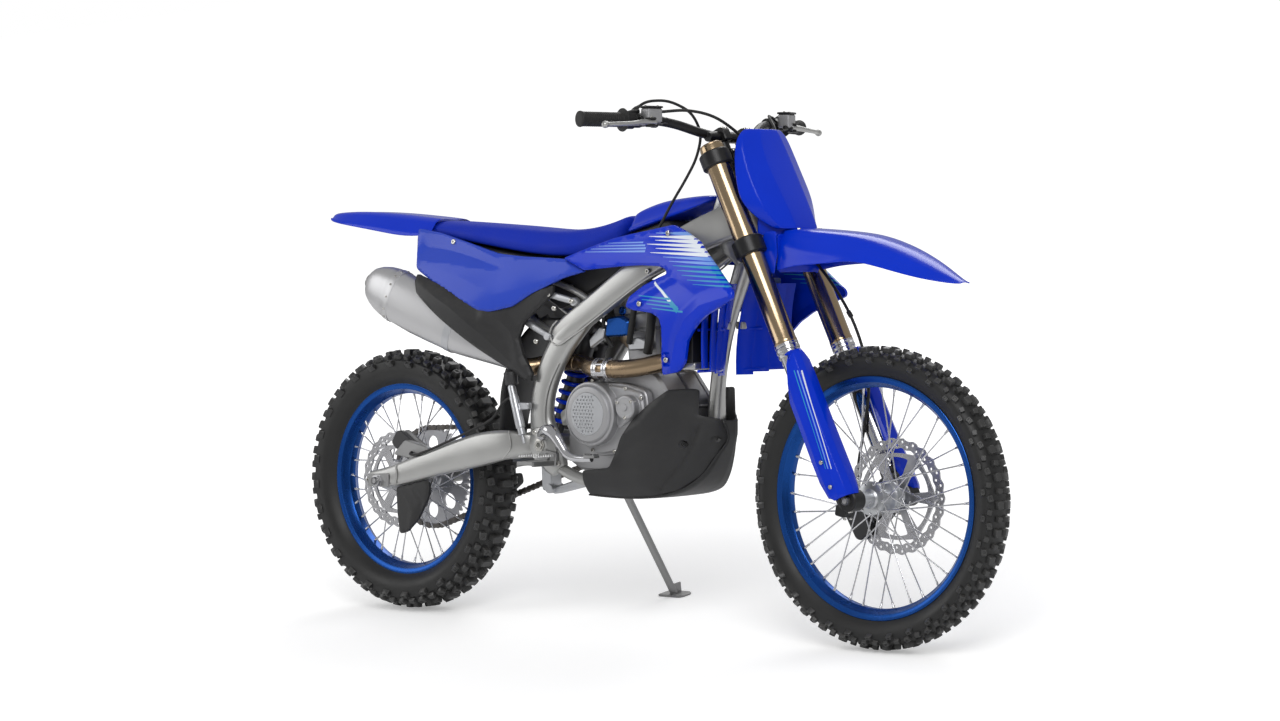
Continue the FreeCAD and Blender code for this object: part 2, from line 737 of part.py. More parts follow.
def lever_set(side, housing_length):
    """A perch, its lever and its reservoir, on one side of the handlebar."""
    end, along = grip_line(side)
    ahead = Vector(0, 0, 1).cross(along).normalize()
    if ahead.x < 0:
        ahead = -ahead
    start = end + along * (float(S.grip_length) + float(S.seat_fit))
    housing = cylinder_between(start, start + along * housing_length, 21)
    perch_at = start + along * (housing_length + 20)
    perch = cylinder_between(perch_at - along * 20, perch_at + along * 12, 18)
    pivot = perch_at + ahead * 46 - Vector(0, 0, 6)
    arm = cylinder_between(perch_at, pivot, 9)
    knob = cylinder_between(pivot - Vector(0, 0, 9), pivot + Vector(0, 0, 9), 13)
    tip = end + along * 30 + ahead * 62 - Vector(0, 0, 14)
    bend = pivot - along * 60 + ahead * 16 - Vector(0, 0, 4)
    lever = tube([pivot, bend, tip], 5.5)
    ball = Part.makeSphere(8.5, tip)
    shape = housing.fuse([perch, arm, knob, lever, ball])
    hole = cylinder_between(end, end + along * 260, float(S.bar_radius) + 0.05)
    return shape.cut(hole), perch_at, along, ahead


def make_controls():
    right, at, along, ahead = lever_set(-1, 24)
    tank_at = at + along * 10 + ahead * 34 + Vector(0, 0, 4)
    reservoir = Part.makeBox(34, 46, 30, Vector(-17, -23, 0))
    reservoir.Placement = Placement(tank_at, Rotation(Vector(0, 0, 1), math.degrees(
        math.atan2(along.y, along.x)) - 90))
    right = right.fuse(reservoir).removeSplitter()
    left = lever_set(1, 16)[0].removeSplitter()
    feature("hand_controls", Part.makeCompound([right, left]))


def make_number_plate():
    """The curved plate ahead of the handlebar, hooked on the lower clamp."""
    half = [(62, 848), (92, 824), (104, 760), (118, 700), (120, 682), (100, 660), (54, 618)]
    outline = half + [(-y, z) for y, z in reversed(half)]
    corners = [from_front(-float(S.wheelbase), y, z) for y, z in outline + [outline[0]]]
    prism = Part.Face(Part.makePolygon(corners)).extrude(Vector(2 * float(S.wheelbase), 0, 0))
    arch = [(-140, -66), (-96, -22), (-50, -3), (0, 2), (50, -3), (96, -22), (140, -66)]
    wall = float(S.panel_wall)
    base = steering_point(640, float(S.plate_forward))
    outer = [base + AHEAD_OF_FORK * depth + Vector(0, y, 0) for y, depth in arch]
    inner = [p - AHEAD_OF_FORK * wall for p in outer]
    edges = [smooth_line(outer), Part.makeLine(outer[-1], inner[-1]), smooth_line(inner[::-1]),
             Part.makeLine(inner[0], outer[0])]
    sheet = Part.Face(Part.Wire(edges)).extrude(UP_THE_FORK * 420)
    plate = sheet.common(prism)
    hooks = []
    reach = float(S.plate_forward) - 3
    start = float(S.clamp_offset) + 24 + float(S.seat_fit)
    for y in (-30, 30):
        hooks.append(cylinder_between(steering_point(UPPER_CLAMP, start, y),
                                      steering_point(UPPER_CLAMP, reach, y), 7))
    feature("number_plate", plate.fuse(hooks).removeSplitter())


def fender_ring(x, z, half, drop, wall):
    """One cross ring of a mudguard: an arched strip of even wall."""
    outer = [(half, z - drop), (half * 0.86, z - drop * 0.42), (half * 0.55, z - drop * 0.12)]
    inner = [(half - wall, z - drop), (half * 0.86 - wall * 0.7, z - drop * 0.42 - wall * 0.7),
             (half * 0.55 - wall * 0.2, z - drop * 0.12 - wall)]
    points = [(-y, zz) for y, zz in outer] + [(0, z)] + outer[::-1]
    points += inner + [(0, z - wall)] + [(-y, zz) for y, zz in inner[::-1]]
    corners = [vec(x, y, zz) for y, zz in points]
    return Part.makePolygon(corners + [corners[0]])


def make_front_fender():
    """The front mudguard, with the neck that bolts up under the lower clamp."""
    wall = float(S.panel_wall)
    stations = [(-240, 615, 84, 104), (-186, 613, 87, 85), (-94, 607, 88, 75), (-30, 601, 90, 62),
                (20, 590, 92, 56), (80, 571, 88, 50), (150, 538, 74, 36), (210, 504, 48, 14),
                (246, 486, 24, 6)]
    rings = [fender_ring(FRONT_AXLE.x + x, FRONT_AXLE.z + z, half, drop, wall)
             for x, z, half, drop in stations]
    shell = Part.makeLoft(rings, True, True)
    under = float(LOWER_CLAMP) - float(S.lower_clamp_height) / 2 - float(S.seat_fit)
    corners = [steering_point(under, -20, -40), steering_point(under, -20, 40),
               steering_point(under, 92, 60), steering_point(under, 92, -60)]
    tongue = Part.Face(Part.makePolygon(corners + [corners[0]])).extrude(UP_THE_FORK * -5)
    back = [(-240, 547), (-232, 547), (-232, 609), (-240, 609)]
    wall_face = side_plate([(FRONT_AXLE.x + x, FRONT_AXLE.z + z) for x, z in back], -54, 54)
    feature("front_fender", shell.fuse([tongue, wall_face]).removeSplitter())


# The brake hose from the caliper to the master cylinder, measured from the front axle.

HOSE_ROUTE = [(-118, 80, -36), (-124, 83, 58), (-102, 76, 152), (-80, 64, 243), (-96, 64, 332),
              (-135, 64, 417), (-192, 63, 494), (-252, 66, 557), (-280, 60, 637), (-318, 44, 712),
              (-354, 12, 782), (-382, -40, 836), (-406, -100, 874), (-434, -164, 888),
              (-466.4, -225.9, 884)]


def make_front_brake():
    """The caliper on the left leg, with its hose up past the lower clamp to the master cylinder."""
    side = float(S.front_disc_offset)
    at = FRONT_AXLE + Vector(-101, side, -60)
    half_gap = float(S.disc_thickness) / 2 + float(S.pad_gap)
    block = Part.makeBox(92, 42, 52, Vector(-46, -18, -26))
    block.Placement = Placement(at, Rotation(Vector(0, 1, 0), 60))
    disc_room = cylinder_between(FRONT_AXLE + Vector(0, side - half_gap, 0),
                                 FRONT_AXLE + Vector(0, side + half_gap, 0),
                                 float(S.front_disc_radius) + 5)
    bracket_end = float(S.fork_spread) - float(S.axle_foot) - float(S.seat_fit)
    corners = [(-128, -26), (-108, -86), (-44, -42), (-10, -30), (-18, 2), (-40, 8)]
    bracket = side_plate([(FRONT_AXLE.x + x, FRONT_AXLE.z + z) for x, z in corners],
                         bracket_end - 10, bracket_end)
    hub_room = cylinder_between(FRONT_AXLE, FRONT_AXLE + Vector(0, 120, 0), 31)
    hose = tube([from_front(*point) for point in HOSE_ROUTE], S.hose_radius)
    caliper = block.cut(disc_room).fuse(bracket).cut(hub_room)
    feature("front_brake", caliper.fuse(hose).removeSplitter())


def make_front_axle():
    spread = float(S.fork_spread)
    outside = spread + float(S.axle_foot) + float(S.seat_fit)
    start = FRONT_AXLE + Vector(0, -outside - 8, 0)
    rod = cylinder_between(start, FRONT_AXLE + Vector(0, outside + 2, 0), S.axle_radius)
    head = cylinder_between(FRONT_AXLE + Vector(0, outside, 0),
                            FRONT_AXLE + Vector(0, outside + 12, 0), 16)
    hollow = cylinder_between(start - Vector(0, 1, 0), start + Vector(0, 60, 0), S.axle_bore)
    feature("front_axle", rod.fuse(head).cut(hollow).removeSplitter())


# Chassis.


SHOCK_TOP = Vector(606, 0, 728)

SHOCK_FOOT = Vector(470, 0, 388)


def right_spar():
    offset = float(S.spar_offset)
    front, shoulder = from_front(-400, -30, 637), from_front(-485, -70, 596)
    stations = [
        (front.x, front.y, front.z, 84, 26), (shoulder.x, shoulder.y, shoulder.z, 78, 30),
        (880, -offset + 4, 883, 70, S.spar_width),
        (740, -offset, 795, 68, S.spar_width), (640, -offset, 732, 66, S.spar_width),
        (580, -offset, 668, 68, S.spar_width), (543, -offset, 600, 62, S.spar_width),
        (528, -offset, 545, 62, S.spar_width), (534, -offset, 490, 64, S.spar_width),
        (552, -offset, 438, 72, S.spar_width), (580, -offset, 392, 56, S.spar_width)]
    return beam(stations)


def right_cradle():
    """The lower rail, from the pivot casting to the foot of the down tube."""
    offset = float(S.cradle_offset)
    rail = tube([Vector(590, -offset - 16, 384), Vector(690, -offset, 352), Vector(900, -offset + 6, 352),
                 Vector(985, -offset + 24, 400), Vector(1010, -34, 505)], S.cradle_radius)
    return rail


def stand_bracket():
    """The lug under the left pivot casting, and the pin that the side stand folds about."""
    axis = stand_axis()
    face = 12 + float(S.seat_fit)
    boss = cylinder_between(STAND_PIVOT - axis * 44, STAND_PIVOT - axis * face, 15)
    pin = cylinder_between(STAND_PIVOT - axis * 20, STAND_PIVOT + axis * 15, S.stand_pin_radius)
    web = beam([(582, 102, 400, 44, 26), (562, 112, 334, 30, 24)])
    return [boss, pin, web]


def make_frame():
    """The beam frame: steering head, two spars, down tube and cradle, with the pivot bolt."""
    head = cylinder_between(steering_point(S.head_bottom), steering_point(S.head_top),
                            S.head_tube_radius)
    corners = [steering_point(S.head_bottom + 2, -10), steering_point(S.head_top - 2, -10),
               steering_point(S.head_top - 8, -70), steering_point(780, -128),
               steering_point(690, -118), steering_point(640, -86), steering_point(640, -44),
               steering_point(S.head_bottom, -44)]
    gusset = side_plate([(p.x, p.z) for p in corners], -30, 30)
    down_top = steering_point(650, -68)
    down = beam([(down_top.x, 0, down_top.z, 46, 54), (1056, 0, 740, 44, 54), (1018, 0, 610, 40, 54),
                 (1002, 0, 500, 40, 90)])
    half = float(S.crank_half_width)
    cross = Part.makeBox(40, 2 * 76, 14, Vector(700, -76, 352))
    rest = Part.makeBox(30, 2 * 60, 378 - float(S.seat_fit) - 352, Vector(705, -60, 352))
    spars = both_sides(right_spar())
    cradles = both_sides(right_cradle())
    inner = float(S.spar_offset) - float(S.spar_width) / 2
    mount = Part.makeBox(30, inner - half + 2 - float(S.seat_fit), 26, Vector(604, -inner - 2, 540))
    stay_reach = 118 - float(S.radiator_width) / 2 - float(S.seat_fit)
    stays = both_sides(Part.makeBox(20, 52, 12, Vector(1040, -stay_reach, 734)))
    tie = cylinder_between(SHOCK_TOP - Vector(0, inner + 4, 0), SHOCK_TOP + Vector(0, inner + 4, 0), 10)
    bolt = cylinder_between(vec(S.pivot_x, -float(S.spar_offset) - 26, S.pivot_z),
                            vec(S.pivot_x, float(S.spar_offset) + 26, S.pivot_z), S.pivot_radius)
    stem_hole = cylinder_between(steering_point(630), steering_point(900), S.stem_bore)
    whole = head.fuse([gusset, tie, bolt] + both_sides(mount) + spars + stand_bracket())
    whole = whole.cut(stem_hole).removeSplitter()
    feature("frame", whole)
    cradle = down.fuse([cross, rest] + stays + cradles)
    feature("cradle", cradle.cut([whole, stem_hole]).removeSplitter())


def right_arm():
    offset, width = float(S.arm_offset), S.arm_width
    return beam([(-38, -offset, 333, 44, width), (50, -offset, 345, 56, width),
                 (206, -offset, 388, 72, width), (337, -offset, 420, 84, width),
                 (424, -offset + 4, 436, 70, width), (462, -offset + 14, 438, 54, 22),
                 (490, -75, 439, 48, 20), (530, -74, 440, 44, 20)])


def make_swingarm():
    """Two tapered arms joined ahead of the wheel, on the pivot tube."""
    arms = both_sides(right_arm())
    inner = float(S.spar_offset) - float(S.spar_width) / 2 - float(S.seat_fit)
    tube_part = cylinder_between(vec(S.pivot_x, -inner, S.pivot_z), vec(S.pivot_x, inner, S.pivot_z), 25)
    bridge = Part.makeBox(44, 150, 46, Vector(376, -75, 396))
    ties = both_sides(Part.makeBox(44, 36, 46, Vector(376, -100, 396)))
    pivot = cylinder_between(vec(S.pivot_x, -200, S.pivot_z), vec(S.pivot_x, 200, S.pivot_z),
                             float(S.pivot_radius) + float(S.pivot_fit))
    axle = cylinder_between(REAR_AXLE + Vector(0, -200, 0), REAR_AXLE + Vector(0, 200, 0),
                            float(S.axle_radius) + float(S.axle_fit))
    whole = tube_part.fuse(arms + [bridge] + ties)
    feature("swingarm", whole.cut([pivot, axle]).removeSplitter())
    outside = float(S.arm_offset) + float(S.arm_width) / 2 + float(S.seat_fit)
    rear = cylinder_between(REAR_AXLE + Vector(0, -outside - 16, 0), REAR_AXLE + Vector(0, outside + 16, 0),
                            S.axle_radius)
    nuts = [cylinder_between(REAR_AXLE + Vector(0, y * outside, 0),
                             REAR_AXLE + Vector(0, y * (outside + 12), 0), 16) for y in (-1, 1)]
    hollow = cylinder_between(REAR_AXLE + Vector(0, -outside - 17, 0), REAR_AXLE + Vector(0, -80, 0),
                              S.axle_bore)
    feature("rear_axle", rear.fuse(nuts).cut(hollow).removeSplitter())


def make_subframe():
    """The bolted rear frame that carries the seat and the mudguard."""
    rail_y = float(S.spar_offset) - float(S.spar_width) / 2 - 8 - float(S.seat_fit)
    upper = tube([Vector(690, -rail_y, 780), Vector(600, -rail_y, 822), Vector(400, -70, 876),
                  Vector(170, -52, 928)], 8)
    lower = tube([Vector(602, -rail_y, 698), Vector(478, -rail_y, 748), Vector(262, -64, 900)], 8)
    bridge = cylinder_between(Vector(180, -54, 926), Vector(180, 54, 926), 7)
    front_tie = cylinder_between(Vector(600, -rail_y, 822), Vector(600, rail_y, 822), 7)
    whole = upper.fuse([lower, bridge, front_tie, mirrored(upper), mirrored(lower)])
    feature("subframe", whole.removeSplitter())


def make_rear_suspension():
    """The shock on its top bolt, with the reservoir beside it and the rocker and link below."""
    low, high = SHOCK_FOOT, SHOCK_TOP
    along = (high - low).normalize()
    rod = cylinder_between(low, low + along * 140, 9)
    spring = cylinder_between(low + along * 114, low + along * 278, 33)
    damper = cylinder_between(low + along * 270, high - along * 18, 24)
    eye = cylinder_between(high - Vector(0, 15, 0), high + Vector(0, 15, 0), 20)
    can = cylinder_between(high + Vector(-14, 50, -40), high + Vector(-52, 50, -160), 20)
    joiner = cylinder_between(high - along * 40, high + Vector(-18, 46, -56), 12)
    bolt_room = cylinder_between(high - Vector(0, 60, 0), high + Vector(0, 60, 0),
                                 10 + float(S.seat_fit))
    rocker = side_plate([(460, 320), (494, 320), (486, 398), (458, 398)], -20, 20)
    link = side_plate([(480, 322), (494, 312), (596, 336), (600, 352), (586, 356)], -14, 14)
    shock = rod.fuse([spring, damper, eye, can, joiner, rocker, link]).cut(bolt_room)
    feature("rear_suspension", shock.removeSplitter())


# Engine.


EXHAUST_PORT = Vector(752, 6, 744)

EXHAUST_START = Vector(-70, 18, -22).normalize()

MUFFLER_FRONT = Vector(440, -106, 642)

MUFFLER_REAR = Vector(-24, -134, 838)


def make_engine_covers(half):
    """The clutch side with its round cover and filter cap, and the generator cover."""
    face = half + float(S.cover_depth)
    apron = side_plate([(628, 470), (640, 572), (690, 598), (800, 596), (868, 580), (882, 500), (840, 430),
                        (720, 418)], -face, -half)
    clutch = cylinder_between(vec(S.clutch_x, -half, S.clutch_z), vec(S.clutch_x, -S.clutch_face, S.clutch_z),
                              S.clutch_radius)
    filter_cap = cylinder_between(Vector(829, -half, 540), Vector(829, -140, 540), 29)
    clutch_at, generator_at = vec(S.clutch_x, 0, S.clutch_z), Vector(800, 0, 486)
    bosses = ring_of_bosses(clutch_at, float(S.clutch_radius) + 3, 310, 8, -half,
                            14 - float(S.clutch_face), 5.5)
    bosses += ring_of_bosses(Vector(829, 0, 540), 31, 240, 3, -half, -face - 8, 5)
    right = apron.fuse([clutch, filter_cap] + bosses)
    left = cylinder_between(generator_at + Vector(0, half, 0), generator_at + Vector(0, face, 0), 68)
    left = left.fuse(ring_of_bosses(generator_at, 69, 300, 6, half, face - 6, 6))
    water_pump = cylinder_between(Vector(850, -half, 470), Vector(850, -face - 2, 470), 26)
    feature("engine_covers", Part.makeCompound([right.fuse(water_pump), left]))


def make_engine():
    half = float(S.crank_half_width)
    case = side_plate([(596, 404), (596, 552), (640, 578), (704, 594), (726, 628), (760, 636),
                       (880, 624), (930, 560), (940, 450), (900, 378), (640, 378)], -half, half)
    rail_rooms = [tube([Vector(560, y * 98, 384), Vector(590, y * 94, 384), Vector(690, y * 78, 352),
                        Vector(900, y * 72, 352), Vector(985, y * 54, 400), Vector(1010, y * 34, 505)],
                       16) for y in (-1, 1)]
    sprocket_room = cylinder_between(vec(S.drive_x, float(S.chain_offset) - 16, S.drive_z),
                                     vec(S.drive_x, 200, S.drive_z), 50)
    chain_room = side_plate([(540, 360), (640, 398), (640, 500), (540, 500)],
                            float(S.chain_offset) - 16, 200)
    case = case.cut(rail_rooms + [sprocket_room, chain_room])
    tilt = Rotation(Vector(0, 1, 0), -6)
    barrel = Part.makeBox(116, 112, 92, Vector(-58, -56, 0))
    head = Part.makeBox(140, 126, 74, Vector(-74, -63, 92))
    cover = Part.makeBox(120, 108, 34, Vector(-62, -54, 166))
    top = barrel.fuse([head, cover])
    top.Placement = Placement(Vector(815, 0, 634), tilt)
    port = cylinder_between(EXHAUST_PORT - EXHAUST_START * 30, EXHAUST_PORT + EXHAUST_START * 60,
                            float(S.pipe_radius) + float(S.seat_fit))
    feature("engine", case.fuse(top).cut(port).removeSplitter())
    make_engine_covers(half)


def make_exhaust():
    """The header that leaves the back of the head, circles the cylinder and meets the silencer."""
    along = (MUFFLER_REAR - MUFFLER_FRONT).normalize()
    entry = MUFFLER_FRONT - along * 46
    route = [EXHAUST_PORT, EXHAUST_PORT + EXHAUST_START * 82, Vector(672, 100, 676),
             Vector(800, 116, 656), Vector(930, 84, 672), Vector(956, 0, 676), Vector(924, -88, 650),
             Vector(830, -112, 630), Vector(708, -112, 628), Vector(640, -60, 636), Vector(566, -58, 642),
             Vector(512, -62, 634), entry, MUFFLER_FRONT]
    pipe = tube(route, S.pipe_radius, 0.48)
    clamp = [cylinder_between(Vector(x, -111, 628), Vector(x + 15, -111, 628), float(S.pipe_radius) + 5)
             for x in (722, 754)]
    feature("exhaust_pipe", pipe.fuse(clamp))
    stations = [(0.3, 24, 24), (40, 30, 28), (180, 58, 42), (320, 68, 46), (420, 66, 46), (450, 60, 42),
                (486, 36, 30)]
    up = Vector(0, 1, 0).cross(along).normalize()
    if up.z < 0:
        up = -up
    side = along.cross(up).normalize()
    rings = []
    for distance, tall, wide in stations:
        middle = MUFFLER_FRONT + along * distance
        if tall == wide:
            rings.append(Part.Wire(Part.makeCircle(tall, middle, along)))
        else:
            oval = Part.Ellipse(middle + up * tall, middle + side * wide, middle)
            rings.append(Part.Wire(oval.toShape()))
    can = Part.makeLoft(rings, True, False)
    outlet = cylinder_between(MUFFLER_FRONT + along * 470, MUFFLER_FRONT + along * 498, 21)
    bore = cylinder_between(MUFFLER_FRONT + along * 474, MUFFLER_FRONT + along * 500, 18)
    feature("muffler", can.fuse(outlet).cut(bore))


def make_radiators():
    half = float(S.radiator_width) / 2
    core = beam([(1045, -118, 846, 44, S.radiator_width), (1040, -118, 634, 44, S.radiator_width)])
    boss = cylinder_between(Vector(1045, -118 - half + 1, 700), Vector(1045, -118 - half - 6, 700), 9)
    feature("radiators", Part.makeCompound(both_sides(core.fuse(boss))))


# Bodywork.


SHROUD_SKIN = [
    (600, [(1000, 112), (900, 124), (800, 128), (700, 128), (600, 126)]),
    (760, [(1000, 108), (900, 132), (800, 142), (700, 142), (600, 138)]),
    (900, [(1000, 116), (900, 148), (800, 162), (700, 164), (600, 158)]),
    (1000, [(1000, 128), (900, 168), (800, 184), (700, 182), (600, 172)]),
    (1100, [(1000, 150), (900, 190), (800, 204), (700, 198), (600, 182)]),
    (1240, [(1000, 190), (900, 206), (800, 214), (700, 208), (600, 196)])]

SIDE_SKIN = [
    (80, [(1000, 84), (930, 100), (860, 126), (790, 158), (740, 170)]),
    (200, [(1000, 90), (930, 110), (860, 138), (790, 166), (740, 176)]),
    (340, [(1000, 94), (930, 118), (860, 142), (790, 164), (740, 172)]),
    (460, [(1000, 96), (930, 118), (860, 136), (790, 150), (740, 156)]),
    (560, [(1000, 98), (930, 116), (860, 128), (790, 136), (740, 140)]),
    (720, [(1000, 100), (930, 114), (860, 122), (790, 126), (740, 128)])]

AIRBOX_SKIN = [
    (110, [(870, 124), (800, 162), (730, 180), (660, 182), (590, 170)]),
    (240, [(870, 134), (800, 168), (730, 182), (660, 180), (590, 160)]),
    (360, [(870, 134), (800, 158), (730, 168), (660, 166), (590, 146)]),
    (460, [(870, 130), (800, 142), (730, 144), (660, 140), (590, 134)]),
    (590, [(870, 124), (800, 128), (730, 128), (660, 126), (590, 124)])]


SHROUD_OUTLINE = [(625, 893), (778, 942), (833, 950), (974, 976), (1089, 933), (1224, 815), (1222, 800),
                  (1134, 763), (1099, 739), (1065, 701), (1050, 650), (1019, 626), (970, 619),
                  (971, 656), (975, 713), (971, 751), (938, 766), (873, 771), (840, 778), (858, 804),
                  (957, 848), (994, 858), (961, 874), (818, 874), (695, 863)]
SIDE_OUTLINE = [(108, 968), (112, 930), (135, 866), (154, 858), (375, 764), (413, 762), (476, 775),
                (532, 810), (622, 846), (690, 861), (621, 892), (485, 896), (408, 903), (300, 930),
                (189, 955)]


BLACK_OUTLINE = [(147, 854), (168, 806), (424, 640), (490, 604), (512, 650), (500, 700), (512, 740),
                 (560, 786), (540, 806), (476, 771), (413, 757), (375, 759)]


def right_louvre():
    """The slatted screen ahead of one radiator: upright slats joined by three cross bars."""
    front = 1045 + 22 + float(S.seat_fit)
    outline = [(front, 634), (front + 8, 640), (front + 20, 690), (front + 24, 740), (front + 20, 790),
               (front + 9, 836), (front, 842)]
    middle, half = 118, float(S.radiator_width) / 2 - 4
    count = 6
    slats = []
    for i in range(count):
        y = -middle - half + i * (2 * half - 3) / (count - 1)
        slats.append(side_plate(outline, y, y + 3))
    bars = [Part.makeBox(6, 2 * half, 7, Vector(front, -middle - half, z)) for z in (636, 734, 832)]
    return slats[0].fuse(slats[1:] + bars).removeSplitter()


def make_bodywork():
    """The painted covers, each with the boss that bolts it to what lies behind."""
    wall = S.panel_wall
    radiator_side = 118 + float(S.radiator_width) / 2 + 6 + float(S.seat_fit)
    boss = cylinder_between(Vector(1045, -radiator_side, 700), Vector(1045, -186, 700), 9)
    shroud = panel(SHROUD_OUTLINE, SHROUD_SKIN, wall).fuse(boss).removeSplitter()
    feature("shrouds", Part.makeCompound(both_sides(shroud) + both_sides(right_louvre())))
    boss = cylinder_between(Vector(400, -78.3, 876), Vector(400, -133, 876), 7)
    side = panel(SIDE_OUTLINE, SIDE_SKIN, wall).fuse(boss).removeSplitter()
    feature("side_panels", Part.makeCompound(both_sides(side)))
    boss = cylinder_between(Vector(478, -86.2, 746), Vector(478, -139, 746), 7)
    lower = panel(BLACK_OUTLINE, AIRBOX_SKIN, wall).fuse(boss).removeSplitter()
    feature("airbox_panels", Part.makeCompound(both_sides(lower)))
    make_seat()
    make_tank()
    make_rear_fender()


SEAT_STATIONS = [(150, 962, 986, 66, 52), (316, 930, 978, 86, 66), (452, 905, 969, 90, 70),
                 (553, 898, 962, 86, 66), (640, 900, 966, 80, 60), (700, 918, 980, 74, 54),
                 (764, 946, 1001, 66, 46)]


def make_seat():
    rings = []
    for x, low, high, wide, narrow in SEAT_STATIONS:
        rings.append(cross_ring(x, [(0, low), (wide, low), (wide, low + (high - low) * 0.45),
                                    (narrow, high - 7), (narrow * 0.55, high - 1), (0, high)]))
    feature("seat", Part.makeLoft(rings, True, True))


def make_tank():
    """The cover over the intake, and the tank under the seat."""
    stations = [(765, 952, 1003, 74, 46), (831, 968, 1026, 78, 48), (907, 990, 1037, 70, 44),
                (980, 1014, 1044, 50, 34)]
    rings = []
    for x, low, high, wide, narrow in stations:
        rings.append(cross_ring(x, [(0, low), (wide, low), (wide, low + (high - low) * 0.5),
                                    (narrow, high - 5), (0, high)]))
    cover = Part.makeLoft(rings, True, True)
    tank = side_plate([(520, 790), (560, 766), (640, 800), (760, 860), (860, 905), (930, 960), (900, 985),
                       (831, 966), (770, 951), (764, 945.6), (700, 917.6), (640, 899.6), (553, 897.6),
                       (470, 903)], -66, 66)
    feature("fuel_tank", tank.fuse(cover).removeSplitter())


def make_rear_fender():
    wall = float(S.panel_wall)
    stations = [(-262, 1004, 46, 12), (-200, 1006, 64, 28), (-90, 1001, 78, 40), (40, 994, 84, 36),
                (149.7, 986, 86, 30)]
    rings = [fender_ring(x, z, half, drop, wall) for x, z, half, drop in stations]
    feature("rear_fender", Part.makeLoft(rings, True, True))


def make_skid_plate():
    """The moulded guard under the engine, with a wing up each side."""
    outline = [(936, 581), (1050, 584), (1046, 527), (1092, 516), (1095, 480), (1083, 441), (1010, 365),
               (940, 334), (809, 322), (682, 324), (677, 384), (760, 392), (794, 470)]
    cavity = [(900, 640), (1045, 640), (1040, 521), (1086, 511), (1089, 481), (1077, 444), (1005, 371),
              (938, 340), (809, 328), (640, 330), (640, 640)]
    half, wall = float(S.skid_half_width), float(S.skid_wall)
    outer = side_plate(outline, -half, half)
    inner = side_plate(cavity, wall - half, half - wall)
    pads = [cylinder_between(Vector(x, y, 324), Vector(x, y, 352 - float(S.cradle_radius)
                                                       - float(S.seat_fit)), 12)
            for x in (740, 860) for y in (-75, 75)]
    feature("skid_plate", outer.cut(inner).fuse(pads).removeSplitter())


def make_foot_controls():
    """The pegs with their brackets, the brake pedal and the gear lever, each with its pivot."""
    outer = float(S.spar_offset) + float(S.spar_width) / 2 + float(S.seat_fit)
    pieces = []
    for side in (-1, 1):
        peg = Part.makeBox(54, 78, 14, Vector(546, outer + 10, 404))
        bracket = side_plate([(536, 392), (600, 392), (600, 424), (560, 424)], outer, outer + 12)
        both = peg.fuse(bracket)
        pieces.append(both if side > 0 else mirrored(both))
    pedal = tube([Vector(566, -outer - 16, 464), Vector(604, -160, 478), Vector(640, -164, 462),
                  Vector(664, -164, 434), Vector(700, -164, 418), Vector(757, -162, 417)], 8, 0.4)
    pedal_boss = cylinder_between(Vector(566, -outer, 464), Vector(566, -outer - 22, 464), 11)
    pieces.append(pedal.fuse(pedal_boss))
    start = float(S.crank_half_width) + float(S.seat_fit)
    shift = tube([Vector(704, start + 10, 424), Vector(708, 142, 420), Vector(740, 160, 412),
                  Vector(806, 160, 422)], 6, 0.4)
    shift_boss = cylinder_between(Vector(704, start, 424), Vector(704, start + 18, 424), 10)
    pieces.append(shift.fuse(shift_boss))
    feature("foot_controls", Part.makeCompound(pieces))


def make_rear_brake():
    """The rear caliper, its fin-shaped guard under the arm, and the master cylinder."""
    side = -float(S.rear_disc_offset)
    half_gap = float(S.disc_thickness) / 2 + float(S.pad_gap)
    block = Part.makeBox(110, 38, 50, Vector(-55, side - 24, 74))
    block.Placement = Placement(REAR_AXLE, Rotation(Vector(0, 1, 0), 32))
    disc_room = cylinder_between(REAR_AXLE + Vector(0, side - half_gap, 0),
                                 REAR_AXLE + Vector(0, side + half_gap, 0),
                                 float(S.rear_disc_radius) + 5)
    arm_inside = -float(S.arm_offset) + float(S.arm_width) / 2 + float(S.seat_fit)
    bracket = side_plate([(20, 396), (110, 380), (150, 392), (140, 420), (60, 436)], arm_inside, side - 20)
    caliper = block.cut(disc_room).fuse(bracket)
    fin = side_plate([(47, 315.3), (154, 339.1), (160, 300), (120, 230), (64, 196), (54, 240)], -112, -104)
    outer = -float(S.spar_offset) - float(S.spar_width) / 2 - float(S.seat_fit)
    stand_off = 16.7
    master = cylinder_between(Vector(462, outer - stand_off, 586), Vector(500, outer - stand_off, 462), 11)
    lug = Part.makeBox(38, stand_off, 12, Vector(478, outer - stand_off, 526))
    feature("rear_brake", Part.makeCompound([caliper.removeSplitter(), fin,
                                             master.fuse(lug).removeSplitter()]))


def chain_loop_face(grow, y):
    """The flat outline that the chain's plates follow, grown by a distance."""
    big, small = pitch_radius(S.rear_teeth) + grow, pitch_radius(S.front_teeth) + grow
    back, front = REAR_AXLE, vec(S.drive_x, 0, S.drive_z)
    gap = front - back
    length = gap.Length
    base = math.atan2(gap.z, gap.x)
    spread = math.acos((big - small) / length)
    def on(centre, radius, angle):
        return Vector(centre.x + radius * math.cos(angle), y, centre.z + radius * math.sin(angle))
    top, bottom = base + spread, base - spread
    a, b = on(back, big, top), on(front, small, top)
    c, d = on(front, small, bottom), on(back, big, bottom)
    nose, tail = on(front, small, base), on(back, big, base + math.pi)
    edges = [Part.LineSegment(a, b).toShape(), Part.Arc(b, nose, c).toShape(),
             Part.LineSegment(c, d).toShape(), Part.Arc(d, tail, a).toShape()]
    return Part.Face(Part.Wire(edges))


